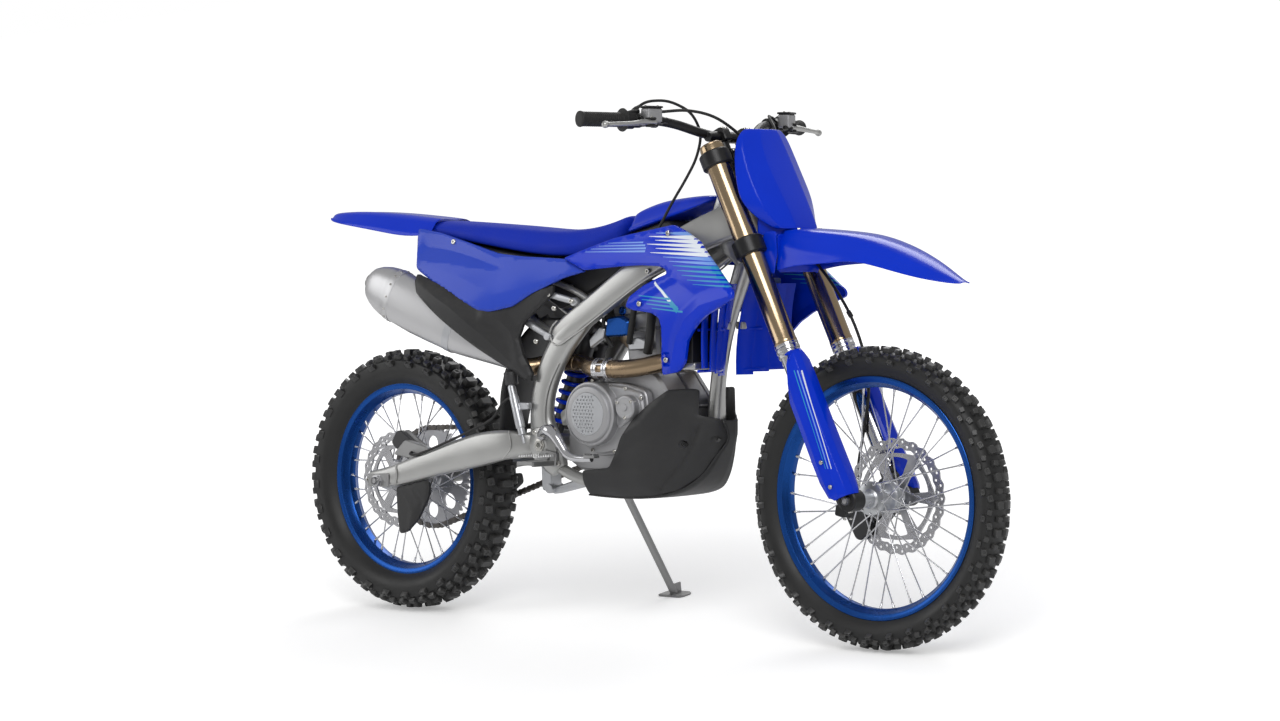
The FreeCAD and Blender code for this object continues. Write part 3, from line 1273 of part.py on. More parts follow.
def along_chain(distance):
    """Where the chain's pitch line is after a distance, and the angle that it runs at."""
    big, small = pitch_radius(S.rear_teeth), pitch_radius(S.front_teeth)
    back, front = REAR_AXLE, vec(S.drive_x, 0, S.drive_z)
    gap = front - back
    base = math.atan2(gap.z, gap.x)
    spread = math.acos((big - small) / gap.Length)
    run = gap.Length * math.sin(spread)
    if distance <= run:
        angle = base + spread - math.pi / 2
        return back + polar(big, base + spread) + polar(distance, angle), angle
    distance -= run
    if distance <= 2 * spread * small:
        turn = base + spread - distance / small
        return front + polar(small, turn), turn - math.pi / 2
    distance -= 2 * spread * small
    if distance <= run:
        angle = base - spread - math.pi / 2
        return front + polar(small, base - spread) + polar(distance, angle), angle
    turn = base - spread - (distance - run) / big
    return back + polar(big, turn), turn - math.pi / 2


def chain_length():
    """The length of the pitch line round both sprockets."""
    big, small = pitch_radius(S.rear_teeth), pitch_radius(S.front_teeth)
    gap = (vec(S.drive_x, 0, S.drive_z) - REAR_AXLE).Length
    spread = math.acos((big - small) / gap)
    return 2 * gap * math.sin(spread) + 2 * spread * small + 2 * (math.pi - spread) * big


def outer_links(y, thick):
    """Every second link's outer plate, standing on the side of the chain at y."""
    whole = chain_length()
    count = int(whole / (2 * float(S.chain_pitch)))
    half_long, half_tall = float(S.chain_pitch) * 0.8, float(S.chain_plate_height) / 2 + 1
    plates = []
    for i in range(count):
        at, angle = along_chain(whole * (i + 0.5) / count)
        plate = Part.makeBox(2 * half_long, thick, 2 * half_tall, Vector(-half_long, 0, -half_tall))
        plate.Placement = Placement(at + Vector(0, y, 0), Rotation(Vector(0, 1, 0), -math.degrees(angle)))
        plates.append(plate)
    return plates


def make_chain():
    """The chain as two rows of plates round both sprockets, with the drive sprocket in its front bend."""
    half = float(S.chain_plate_height) / 2
    width, plate = float(S.chain_half_width), float(S.chain_plate)
    middle = float(S.chain_offset)
    rows = []
    for y in (middle - width, middle + width - plate):
        rows.append(chain_loop_face(half, y).extrude(Vector(0, plate, 0)).cut(
            chain_loop_face(-half, y - 1).extrude(Vector(0, plate + 2, 0))))
    rollers = chain_loop_face(5, middle - width + plate / 2).extrude(
        Vector(0, 2 * width - plate, 0)).cut(
        chain_loop_face(-5, middle - width - 1).extrude(Vector(0, 2 * width + 2, 0)))
    sprocket_room = cylinder_between(REAR_AXLE + Vector(0, middle - 30, 0),
                                     REAR_AXLE + Vector(0, middle + 30, 0),
                                     pitch_radius(S.rear_teeth) + 10)
    thin = float(S.sprocket_thickness) / 2
    drive = cylinder_between(vec(S.drive_x, middle - thin, S.drive_z), vec(S.drive_x, middle + thin, S.drive_z),
                             pitch_radius(S.front_teeth) - 3)
    shaft_start = float(S.chain_offset) - 16 + float(S.seat_fit)
    shaft = cylinder_between(vec(S.drive_x, shaft_start, S.drive_z),
                             vec(S.drive_x, middle + 14, S.drive_z), 13)
    links = outer_links(middle + width, 1.2) + outer_links(middle - width - 1.2, 1.2)
    body = rows[0].fuse([rows[1], rollers.cut(sprocket_room), drive, shaft]).removeSplitter()
    feature("chain", body.fuse(links))


def make_side_stand():
    """The folding leg, splayed to the left, with its flat foot on the floor."""
    foot = stand_foot()
    axis = stand_axis()
    leg = cylinder_between(STAND_PIVOT, foot + (STAND_PIVOT - foot).normalize() * 8, S.stand_leg_radius)
    pad = Part.makeBox(76, 52, 6, vec(float(S.stand_foot_x) - 38, float(S.stand_foot_y) - 24, 0))
    pad = pad.transformGeometry(PARKED.inverse().toMatrix())
    knuckle = cylinder_between(STAND_PIVOT - axis * 12, STAND_PIVOT + axis * 12, 16)
    bore = cylinder_between(STAND_PIVOT - axis * 20, STAND_PIVOT + axis * 20,
                            float(S.stand_pin_radius) + float(S.seat_fit))
    feature("side_stand", leg.fuse([pad, knuckle]).cut(bore).removeSplitter())


# The cables, first from the end of a grip and then from the middle of the handlebar.

THROTTLE_FROM_GRIP = [(41.95, 142, 22), (39.95, 188, 45)]
THROTTLE_FROM_BAR = [(-62.8, -160, 85), (-38.8, -104, 59), (-36.8, -68, 9), (-60.8, -58, -49),
                     (-94.8, -60, -101), (-126.8, -72, -155), (-150.8, -88, -211)]
CLUTCH_FROM_GRIP = [(47.95, -166.4, 15.23), (71.95, -214, 23)]
CLUTCH_FROM_BAR = [(-6.8, 150, 49), (47.2, 104, 23), (83.2, 64, -27), (87.2, 58, -87),
                   (59.2, 62, -147), (9.2, 88, -197), (-42.8, 108, -239), (-106.8, 105, -269)]


def make_cables():
    """The throttle and clutch cables, which flex as the handlebar turns."""
    right_end, left_end = grip_line(-1)[0], grip_line(1)[0]
    throttle = [right_end + Vector(*step) for step in THROTTLE_FROM_GRIP]
    throttle += [BAR_CENTRE + Vector(*step) for step in THROTTLE_FROM_BAR]
    clutch = [left_end + Vector(*step) for step in CLUTCH_FROM_GRIP]
    clutch += [BAR_CENTRE + Vector(*step) for step in CLUTCH_FROM_BAR]
    throttle = tube(throttle, S.cable_radius)
    clutch = tube(clutch, S.cable_radius)
    feature("control_cables", Part.makeCompound([throttle, clutch]))


def make_everything():
    make_wheels()
    make_fork()
    make_clamps()
    make_handlebar()
    make_controls()
    make_number_plate()
    make_front_fender()
    make_front_brake()
    make_front_axle()
    make_cables()
    make_frame()
    make_swingarm()
    make_subframe()
    make_rear_suspension()
    make_engine()
    make_exhaust()
    make_radiators()
    make_bodywork()
    make_skid_plate()
    make_foot_controls()
    make_rear_brake()
    make_chain()
    make_side_stand()


def centre_on_floor(parts):
    """Moves the parked machine so that the middle of its footprint is the origin."""
    box = FreeCAD.BoundBox()
    for part in parts:
        box.add(part.Shape.optimalBoundingBox(True))
    return Placement(Vector(-box.Center.x, -box.Center.y, 0), Rotation())


def park(parts):
    for part in parts:
        part.Placement = PARKED.multiply(part.Placement)
    DOC.recompute()
    shift = centre_on_floor(parts)
    for part in parts:
        part.Placement = shift.multiply(part.Placement)
    DOC.recompute()
    return shift


def check(parts):
    """Stops if any object of the document failed, or if a piece isn't a sound solid."""
    for obj in DOC.Objects:
        if "Invalid" in obj.State or "Error" in obj.State:
            raise RuntimeError(f"{obj.Label} failed: {obj.State}")
    unsound = [part.Label for part in parts
               if part.Shape.isNull() or not part.Shape.isValid() or not part.Shape.Solids]
    if unsound:
        raise RuntimeError("not valid solids: " + ", ".join(unsound))


make_everything()
DOC.recompute()
SHIFT = park(PARTS)
check(PARTS)
os.makedirs("parts", exist_ok=True)
for piece in PARTS:
    piece.Shape.exportStep(f"parts/{piece.Label}.step")
print(len(PARTS), "pieces")
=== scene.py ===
"""Looks of a parked off-road motorcycle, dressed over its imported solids."""

import json
import math

import bpy
import numpy as np
from mathutils import Matrix, Vector, geometry

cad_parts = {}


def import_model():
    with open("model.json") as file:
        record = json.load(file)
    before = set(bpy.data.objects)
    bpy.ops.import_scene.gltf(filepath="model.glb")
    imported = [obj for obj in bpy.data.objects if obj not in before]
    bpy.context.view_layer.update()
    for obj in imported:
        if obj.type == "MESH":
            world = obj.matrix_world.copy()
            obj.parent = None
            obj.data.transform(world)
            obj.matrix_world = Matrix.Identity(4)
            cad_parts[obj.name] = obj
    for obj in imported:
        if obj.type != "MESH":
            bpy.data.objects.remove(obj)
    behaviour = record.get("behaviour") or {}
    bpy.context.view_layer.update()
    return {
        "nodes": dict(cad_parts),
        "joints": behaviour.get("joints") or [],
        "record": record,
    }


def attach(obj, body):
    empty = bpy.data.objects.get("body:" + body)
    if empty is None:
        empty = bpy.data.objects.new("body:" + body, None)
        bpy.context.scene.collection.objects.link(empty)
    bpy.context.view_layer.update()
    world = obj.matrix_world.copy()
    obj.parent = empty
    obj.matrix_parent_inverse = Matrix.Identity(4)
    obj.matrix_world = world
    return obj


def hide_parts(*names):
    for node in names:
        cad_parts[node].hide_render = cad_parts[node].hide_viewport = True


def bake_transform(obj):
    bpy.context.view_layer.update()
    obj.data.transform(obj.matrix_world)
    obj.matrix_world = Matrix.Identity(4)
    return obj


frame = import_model()

# The machine's own frame: millimetres, X forward from the rear axle, Y to the rider's left, Z up.

WHEELBASE = 1480.0
FRONT_RADIUS = 348.0
REAR_RADIUS = 330.0
JOINTS = {joint["name"]: joint for joint in frame["joints"]}


def machine_frame():
    """The leaning machine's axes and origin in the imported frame."""
    rear = Vector(JOINTS["rear_wheel_spin"]["pos_m"])
    front = Vector(JOINTS["front_wheel_spin"]["pos_m"])
    left = Vector(JOINTS["rear_wheel_spin"]["axis"]).normalized()
    rise = math.atan2(FRONT_RADIUS - REAR_RADIUS, WHEELBASE)
    forward = Matrix.Rotation(rise, 3, left) @ (front - rear).normalized()
    up = forward.cross(left).normalized()
    origin = rear - up * REAR_RADIUS / 1000
    return forward, left, up, origin


FORWARD, LEFT, UP, ORIGIN = machine_frame()
TURN = np.array([list(FORWARD), list(LEFT), list(UP)])


def world(points):
    """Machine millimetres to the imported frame's metres."""
    return np.asarray(points, dtype=float).reshape(-1, 3) / 1000 @ TURN + np.array(ORIGIN)


def from_world(points):
    """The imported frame's metres to machine millimetres."""
    return (np.asarray(points, dtype=float).reshape(-1, 3) - np.array(ORIGIN)) @ TURN.T * 1000


# The floor's own directions, as the leaning machine has them.
FLOOR_AHEAD, FLOOR_LEFT, FLOOR_UP = TURN[:, 0], TURN[:, 1], TURN[:, 2]

X_AXIS, Y_AXIS, Z_AXIS = np.eye(3)
RAKE = math.radians(26)
UP_FORK = np.array([-math.sin(RAKE), 0.0, math.cos(RAKE)])
AHEAD_FORK = np.array([math.cos(RAKE), 0.0, math.sin(RAKE)])
FRONT_AXLE = np.array([WHEELBASE, 0.0, FRONT_RADIUS])
REAR_AXLE = np.array([0.0, 0.0, REAR_RADIUS])
AXLE_END = 126.3
FORK_LEAD = 17.0
CLAMP_OFFSET = 27.0
FORK_SPREAD = 105.0


def fork_point(station, ahead=0.0, side=0.0):
    """A point by its distance up the fork, ahead of the tubes, and to a side."""
    return FRONT_AXLE + AHEAD_FORK * (ahead - FORK_LEAD) + UP_FORK * station + np.array([0, side, 0])


def steering_point(station, ahead=0.0, side=0.0):
    """A point by its distance up the fork, ahead of the steering axis, and to a side."""
    return fork_point(station, ahead - CLAMP_OFFSET, side)


# Shapes, each as a list of points in machine millimetres and a list of faces.

def unit(vector):
    """A vector's direction, with a length of one."""
    vector = np.asarray(vector, dtype=float)
    return vector / np.linalg.norm(vector)


def across(axis):
    """Two directions square to an axis and to each other."""
    axis = unit(axis)
    first = unit(np.cross(Z_AXIS if abs(axis[2]) < 0.9 else X_AXIS, axis))
    return first, np.cross(axis, first)


def smooth_points(points, steps):
    """Points on a smooth curve through the given ones."""
    points = [np.asarray(p, dtype=float) for p in points]
    padded = [2 * points[0] - points[1]] + points + [2 * points[-1] - points[-2]]
    result = []
    for i in range(1, len(padded) - 2):
        p0, p1, p2, p3 = padded[i - 1:i + 3]
        for step in range(steps):
            t = step / steps
            result.append(0.5 * (2 * p1 + (p2 - p0) * t + (2 * p0 - 5 * p1 + 4 * p2 - p3) * t ** 2
                                 + (3 * p1 - p0 - 3 * p2 + p3) * t ** 3))
    result.append(points[-1])
    return result


def ring_faces(rows, count, closed=False):
    """Quads between rows of points that each go once round."""
    faces = []
    for i in range(rows if closed else rows - 1):
        here, there = i * count, (i + 1) % rows * count
        for j in range(count):
            k = (j + 1) % count
            faces.append((here + j, here + k, there + k, there + j))
    return faces


def swept(points, radius, sides=14, steps=6, smooth=True):
    """A round hose or rod along a curve; radius may be one number or one per point."""
    radii = radius if isinstance(radius, (list, tuple)) else [radius] * len(points)
    if smooth:
        line = smooth_points([list(p) + [r] for p, r in zip(points, radii)], steps)
    else:
        line = [np.array(list(p) + [r]) for p, r in zip(points, radii)]
    path = [p[:3] for p in line]
    verts = []
    first, second = across(path[1] - path[0])
    for i, here in enumerate(path):
        along = unit(path[min(i + 1, len(path) - 1)] - path[max(i - 1, 0)])
        first = unit(first - along * first.dot(along))
        second = np.cross(along, first)
        for angle in even_angles(sides):
            verts.append(here + (first * math.cos(angle) + second * math.sin(angle)) * line[i][3])
    count = len(path)
    faces = ring_faces(count, sides)
    faces.append(tuple(range(sides))[::-1])
    faces.append(tuple((count - 1) * sides + j for j in range(sides)))
    return verts, faces


def turned(centre, axis, profile, sides=32, closed=False):
    """A shape turned about an axis, from (radius, distance along the axis) pairs."""
    axis = unit(axis)
    first, second = across(axis)
    verts = []
    for radius, along in profile:
        for angle in even_angles(sides):
            verts.append(np.asarray(centre, dtype=float) + axis * along
                         + (first * math.cos(angle) + second * math.sin(angle)) * radius)
    faces = ring_faces(len(profile), sides, closed)
    if not closed:
        faces.append(tuple(range(sides))[::-1])
        faces.append(tuple((len(profile) - 1) * sides + j for j in range(sides)))
    return verts, faces


def round_bar(start, end, radius):
    """A straight round bar with softened ends."""
    edge = 0.8
    start, end = np.asarray(start, dtype=float), np.asarray(end, dtype=float)
    length = np.linalg.norm(end - start)
    profile = [(radius - edge, 0), (radius, edge), (radius, length - edge), (radius - edge, length)]
    return turned(start, end - start, profile, 20)


def bolt(centre, axis, size=5.0):
    """A flanged hexagon bolt head standing on a face."""
    profile = [(size * 1.25, 0), (size * 1.25, size * 0.16), (size * 0.98, size * 0.3)]
    flange = turned(centre, axis, profile, 24)
    profile = [(size * 0.98, size * 0.2), (size * 0.98, size * 0.85), (size * 0.84, size)]
    head = turned(centre, axis, profile, 6)
    dimple = turned(centre, axis, [(size * 0.5, size * 0.99), (size * 0.34, size * 0.86)], 12)
    return joined([flange, head, dimple])


def cap_screw(centre, axis, size=5.0):
    """A round screw head with a socket."""
    profile = [(size, 0), (size, size * 0.7), (size * 0.82, size * 0.9), (size * 0.48, size * 0.9),
               (size * 0.44, size * 0.35)]
    return turned(centre, axis, profile, 20)


def joined(shapes):
    """Several shapes as one."""
    verts, faces = [], []
    for more_verts, more_faces in shapes:
        base = len(verts)
        verts += list(more_verts)
        faces += [tuple(base + i for i in face) for face in more_faces]
    return verts, faces


def mirrored(shape):
    """A shape's mirror image on the machine's other side."""
    verts, faces = shape
    flip = np.array([1.0, -1.0, 1.0])
    return [np.asarray(v) * flip for v in verts], [face[::-1] for face in faces]


def both(*shapes):
    """Shapes as one, together with their mirror images."""
    shape = joined(shapes)
    return joined([shape, mirrored(shape)])


def polar(reach, angle):
    """A flat point by its distance and angle."""
    return reach * math.cos(angle), reach * math.sin(angle)


def even_angles(count, shift=0.0):
    """Angles evenly round a circle, shifted by a share of one step."""
    return [2 * math.pi * (k + shift) / count for k in range(count)]


def anticlockwise(outline):
    """An outline as an array, turned round where it goes clockwise."""
    flat = np.asarray(outline, dtype=float)
    doubled = sum(flat[i - 1][0] * flat[i][1] - flat[i][0] * flat[i - 1][1] for i in range(len(flat)))
    return flat[::-1] if doubled < 0 else flat


def prism(outline, origin, u, v, depth, edge=1.0):
    """A plate from a flat outline of (a, b) pairs in the plane of u and v, with softened edges."""
    u, v = unit(u), unit(v)
    normal = np.cross(u, v)
    flat = anticlockwise(outline)
    inner = inset(flat, edge)
    levels = [(inner, 0.0), (flat, edge), (flat, depth - edge), (inner, depth)]
    verts = [np.asarray(origin, dtype=float) + u * a + v * b + normal * h
             for ring, h in levels for a, b in ring]
    count = len(flat)
    faces = ring_faces(4, count)
    faces.append(tuple(range(count))[::-1])
    faces.append(tuple(3 * count + i for i in range(count)))
    return verts, faces


def side_plate(outline, corner, y, depth, edge=1.0):
    """A plate along the machine, from (x, z) points with rounded corners; it goes right from a y."""
    return prism(rounded(outline, corner), Y_AXIS * y, X_AXIS, Z_AXIS, depth, edge)


def inset(flat, distance):
    """An outline moved inwards by a distance; the outline goes anticlockwise."""
    count = len(flat)
    result = []
    for i in range(count):
        before = unit(flat[i] - flat[i - 1])
        after = unit(flat[(i + 1) % count] - flat[i])
        normal = np.array([-before[1] - after[1], before[0] + after[0]])
        size = np.linalg.norm(normal)
        normal = normal / size if size > 1e-6 else np.array([-before[1], before[0]])
        scale = max(0.35, normal.dot(np.array([-before[1], before[0]])))
        result.append(flat[i] + normal * distance / scale)
    return np.array(result)


def rounded(outline, radius, steps=3):
    """An outline with rounded corners."""
    flat = [np.asarray(p, dtype=float) for p in outline]
    count = len(flat)
    result = []
    for i in range(count):
        here, before, after = flat[i], flat[i - 1], flat[(i + 1) % count]
        reach = min(radius, 0.45 * np.linalg.norm(before - here), 0.45 * np.linalg.norm(after - here))
        start = here + unit(before - here) * reach
        end = here + unit(after - here) * reach
        for step in range(steps + 1):
            t = step / steps
            result.append(start * (1 - t) ** 2 + here * 2 * t * (1 - t) + end * t ** 2)
    return result


def inside_outline(points, outline):
    """Which of the points lie inside a closed outline."""
    inside = np.zeros(len(points), dtype=bool)
    px, py = points[:, 0], points[:, 1]
    count = len(outline)
    for i in range(count):
        (x1, y1), (x2, y2) = outline[i - 1], outline[i]
        crosses = (y1 > py) != (y2 > py)
        with np.errstate(divide="ignore", invalid="ignore"):
            at = (x2 - x1) * (py - y1) / (y2 - y1) + x1
        inside ^= crosses & (px < at)
    return inside


def denser(outline, step):
    """An outline with points no further apart than a step."""
    result = []
    count = len(outline)
    for i in range(count):
        here, there = np.asarray(outline[i]), np.asarray(outline[(i + 1) % count])
        runs = max(1, int(math.ceil(np.linalg.norm(there - here) / step)))
        for k in range(runs):
            result.append(here + (there - here) * k / runs)
    return result


def open_run(line, step):
    """Points along an open line, no further apart than a step."""
    result = []
    for here, there in zip(line[:-1], line[1:]):
        here, there = np.asarray(here, dtype=float), np.asarray(there, dtype=float)
        runs = max(1, int(math.ceil(np.linalg.norm(there - here) / step)))
        result += [here + (there - here) * k / runs for k in range(runs)]
    return result + [np.asarray(line[-1], dtype=float)]


def flat_sheet(outline, holes=(), spacing=6.0, lines=()):
    """Triangles that fill an outline apart from its holes, with edges along the given lines."""
    loops = [denser(outline, spacing)] + [denser(hole, spacing) for hole in holes]
    points = [p for loop in loops for p in loop]
    edges = []
    base = 0
    for loop in loops:
        edges += [(base + i, base + (i + 1) % len(loop)) for i in range(len(loop))]
        base += len(loop)
    for line in lines:
        run = open_run(line, spacing)
        run = [p for p in run if inside_outline(np.array([p]), loops[0])[0]]
        points += run
        edges += [(base + i, base + i + 1) for i in range(len(run) - 1)]
        base += len(run)
    rim = np.array(points)
    low, high = rim.min(axis=0), rim.max(axis=0)
    grid = []
    row = 0
    y = low[1]
    while y <= high[1]:
        shift = spacing / 2 if row % 2 else 0.0
        grid += [(x + shift, y) for x in np.arange(low[0], high[0] + spacing, spacing)]
        y += spacing * 0.866
        row += 1
    grid = np.array(grid)
    keep = inside_outline(grid, loops[0])
    for loop in loops[1:]:
        keep &= ~inside_outline(grid, loop)
    grid = grid[keep]
    if len(grid):
        gaps = np.sqrt(((grid[:, None, :] - rim[None, :, :]) ** 2).sum(axis=2)).min(axis=1)
        grid = grid[gaps > spacing * 0.5]
    flat = [Vector(p) for p in points] + [Vector(p) for p in grid]
    result = geometry.delaunay_2d_cdt(flat, edges, [], 1, 1e-4)
    verts = np.array([list(v) for v in result[0]])
    faces = np.array([tuple(f) for f in result[2]])
    middles = verts[faces].mean(axis=1)
    keep = inside_outline(middles, loops[0])
    for loop in loops[1:]:
        keep &= ~inside_outline(middles, loop)
    return verts, [tuple(int(i) for i in f) for f in faces[keep]]


def thickened(verts, faces, offset):
    """A closed plate: a sheet, its copy moved by an offset per point, and the walls between."""
    verts = np.asarray(verts, dtype=float)
    count = len(verts)
    back = verts + offset
    rims = {}
    for face in faces:
        for i in range(len(face)):
            edge = (face[i - 1], face[i])
            rims[edge] = rims.get(edge, 0) + 1
    walls = [(b, a, a + count, b + count) for a, b in rims if (b, a) not in rims]
    under = [tuple(i + count for i in face[::-1]) for face in faces]
    return list(verts) + list(back), list(faces) + under + walls


# Materials.

def add(tree, kind, inputs=None, **settings):
    """A node with its settings, and its inputs linked or set."""
    item = tree.nodes.new(kind)
    for name, value in settings.items():
        setattr(item, name, value)
    for key, value in (inputs or {}).items():
        socket = item.inputs[key]
        if isinstance(value, bpy.types.NodeSocket):
            tree.links.new(value, socket)
        else:
            socket.default_value = value
    return item


def math_node(tree, operation, first, second=0.0):
    """The result of an operation on one or two values."""
    return add(tree, "ShaderNodeMath", {0: first, 1: second}, operation=operation).outputs[0]


def mix_colour(tree, factor, first, second):
    """Two colours mixed by a factor."""
    inputs = {0: factor, 6: first, 7: second}
    return add(tree, "ShaderNodeMix", inputs, data_type="RGBA").outputs[2]


def stretch(tree, value, low, high, to_low=0.0, to_high=1.0):
    """A value mapped from one range to another, and held within it."""
    inputs = {"Value": value, "From Min": low, "From Max": high, "To Min": to_low, "To Max": to_high}
    return add(tree, "ShaderNodeMapRange", inputs).outputs[0]


def group(name, inputs, outputs):
    """An empty shader group with named inputs (name: value) and outputs (name: socket type)."""
    tree = bpy.data.node_groups.new(name, "ShaderNodeTree")
    for key, value in inputs.items():
        kind = "NodeSocketVector" if isinstance(value, tuple) else "NodeSocketFloat"
        socket = tree.interface.new_socket(name=key, in_out="INPUT", socket_type=kind)
        if not isinstance(value, tuple):
            socket.default_value = value
    for key, kind in outputs.items():
        tree.interface.new_socket(name=key, in_out="OUTPUT", socket_type=kind)
    return tree, tree.nodes.new("NodeGroupInput").outputs, tree.nodes.new("NodeGroupOutput")


def edge_wear_group():
    """Rounds the edges a little and marks where they would rub bright."""
    tree, given, out = group("Edge wear", {"Radius": 0.0012, "Reach": 0.12},
                             {"Mask": "NodeSocketFloat", "Normal": "NodeSocketVector"})
    soft = add(tree, "ShaderNodeBevel", {"Radius": given["Radius"]}, samples=4)
    flat = add(tree, "ShaderNodeNewGeometry")
    turn = add(tree, "ShaderNodeVectorMath", {0: soft.outputs[0], 1: flat.outputs["Normal"]},
               operation="DOT_PRODUCT")
    rub = add(tree, "ShaderNodeTexNoise", {"Scale": 90.0, "Detail": 4.0})
    bent = math_node(tree, "SUBTRACT", 1.0, turn.outputs["Value"])
    rough = math_node(tree, "MULTIPLY", bent, math_node(tree, "ADD", rub.outputs[0], 0.4))
    mask = math_node(tree, "DIVIDE", rough, given["Reach"])
    tree.links.new(math_node(tree, "MINIMUM", mask, 1.0), out.inputs["Mask"])
    tree.links.new(soft.outputs[0], out.inputs["Normal"])
    return tree


def grain_group():
    """Fine moulded or blasted grain, with a slower change of tone over the surface."""
    tree, given, out = group("Grain", {"Size": 900.0, "Tone Size": 9.0},
                             {"Height": "NodeSocketFloat", "Tone": "NodeSocketFloat"})
    place = add(tree, "ShaderNodeTexCoord").outputs["Object"]
    fine = add(tree, "ShaderNodeTexNoise", {"Vector": place, "Scale": given["Size"], "Detail": 3.0})
    cells = add(tree, "ShaderNodeTexVoronoi", {"Vector": place, "Scale": given["Size"]})
    slow = add(tree, "ShaderNodeTexNoise", {"Vector": place, "Scale": given["Tone Size"], "Detail": 3.0})
    height = math_node(tree, "ADD", fine.outputs[0], math_node(tree, "MULTIPLY", cells.outputs[0], 0.5))
    tree.links.new(height, out.inputs["Height"])
    tree.links.new(slow.outputs[0], out.inputs["Tone"])
    return tree


def dust_group():
    """Thin dust that settles on faces that look up, broken up in patches."""
    tree, given, out = group("Dust", {"Amount": 0.15, "Size": 14.0}, {"Mask": "NodeSocketFloat"})
    flat = add(tree, "ShaderNodeNewGeometry")
    parts = add(tree, "ShaderNodeSeparateXYZ", {0: flat.outputs["Normal"]})
    patch = add(tree, "ShaderNodeTexNoise", {"Scale": given["Size"], "Detail": 6.0, "Roughness": 0.7})
    up = stretch(tree, parts.outputs[2], 0.0, 1.0)
    spots = stretch(tree, patch.outputs[0], 0.45, 0.75)
    tree.links.new(math_node(tree, "MULTIPLY", math_node(tree, "MULTIPLY", up, spots), given["Amount"]),
                   out.inputs["Mask"])
    return tree


def brushed_group():
    """Fine straight brushing along the machine's length."""
    tree, given, out = group("Brushed", {"Size": 600.0, "Length": 12.0},
                             {"Height": "NodeSocketFloat", "Tone": "NodeSocketFloat"})
    place = add(tree, "ShaderNodeTexCoord").outputs["Object"]
    parts = add(tree, "ShaderNodeSeparateXYZ", {0: place})
    long = math_node(tree, "MULTIPLY", parts.outputs[0], given["Length"])
    wide = math_node(tree, "MULTIPLY", parts.outputs[1], given["Size"])
    tall = math_node(tree, "MULTIPLY", parts.outputs[2], given["Size"])
    drawn = add(tree, "ShaderNodeCombineXYZ", {0: long, 1: wide, 2: tall})
    lines = add(tree, "ShaderNodeTexNoise", {"Vector": drawn.outputs[0], "Scale": 1.0, "Detail": 4.0})
    slow = add(tree, "ShaderNodeTexNoise", {"Vector": place, "Scale": 7.0, "Detail": 3.0})
    tree.links.new(lines.outputs[0], out.inputs["Height"])
    tree.links.new(slow.outputs[0], out.inputs["Tone"])
    return tree


def machine_place_group():
    """Where a point of the surface is on the machine, in millimetres forward and up."""
    outputs = {"Ahead": "NodeSocketFloat", "Height": "NodeSocketFloat"}
    tree, _, out = group("Machine place", {}, outputs)
    place = add(tree, "ShaderNodeTexCoord").outputs["Object"]
    from_axle = add(tree, "ShaderNodeVectorMath", {0: place, 1: tuple(ORIGIN)}, operation="SUBTRACT")
    for name, direction in (("Ahead", FORWARD), ("Height", UP)):
        reach = add(tree, "ShaderNodeVectorMath", {0: from_axle.outputs[0], 1: tuple(direction)},
                    operation="DOT_PRODUCT")
        tree.links.new(math_node(tree, "MULTIPLY", reach.outputs["Value"], 1000.0), out.inputs[name])
    return tree


def stripe_group():
    """Marks a straight stripe between two points of the machine's side, with a width at each end."""
    values = {"Ahead": 0.0, "Height": 0.0, "From Ahead": 0.0, "From Height": 0.0, "To Ahead": 1.0,
              "To Height": 0.0, "First Width": 3.0, "Last Width": 3.0}
    tree, given, out = group("Stripe", values, {"Mask": "NodeSocketFloat"})

    def gap(first, second):
        return math_node(tree, "SUBTRACT", given[first], given[second])

    def times(first, second):
        return math_node(tree, "MULTIPLY", first, second)

    run, rise = gap("To Ahead", "From Ahead"), gap("To Height", "From Height")
    ahead, tall = gap("Ahead", "From Ahead"), gap("Height", "From Height")
    square = math_node(tree, "ADD", times(run, run), times(rise, rise))
    share = math_node(tree, "DIVIDE", math_node(tree, "ADD", times(ahead, run), times(tall, rise)), square)
    away = math_node(tree, "ABSOLUTE", math_node(tree, "SUBTRACT", times(ahead, rise), times(tall, run)))
    away = math_node(tree, "DIVIDE", away, math_node(tree, "SQRT", square))
    width = math_node(tree, "ADD", given["First Width"], times(share, gap("Last Width", "First Width")))
    soft = stretch(tree, math_node(tree, "SUBTRACT", width, away), -0.4, 0.4)
    ends = times(math_node(tree, "GREATER_THAN", share, 0.0), math_node(tree, "LESS_THAN", share, 1.0))
    tree.links.new(times(soft, ends), out.inputs["Mask"])
    return tree


EDGE_WEAR = edge_wear_group()
MACHINE_PLACE = machine_place_group()
STRIPE = stripe_group()
GRAIN = grain_group()
DUST = dust_group()
BRUSHED = brushed_group()


def placed(tree, which, **values):
    """One use of a shared group in a material, with its own values."""
    inputs = {key.replace("_", " "): value for key, value in values.items()}
    return add(tree, "ShaderNodeGroup", inputs, node_tree=which).outputs


def new_material(name, **sockets):
    """A material with its shader, and plain values set on the shader's own sockets."""
    material = bpy.data.materials.new(name)
    material.use_nodes = True
    tree = material.node_tree
    shader = tree.nodes["Principled BSDF"]
    for key, value in sockets.items():
        shader.inputs[key.replace("_", " ")].default_value = value
    return material, tree, shader


def colour(red, green, blue):
    """A colour that hides what is behind it."""
    return (red, green, blue, 1.0)


def bumped(tree, shader, height, distance, normal):
    """Bumps a shader's surface by a height, on top of a normal."""
    inputs = {"Height": height, "Distance": distance, "Strength": 1.0, "Normal": normal}
    item = add(tree, "ShaderNodeBump", inputs)
    tree.links.new(item.outputs[0], shader.inputs["Normal"])


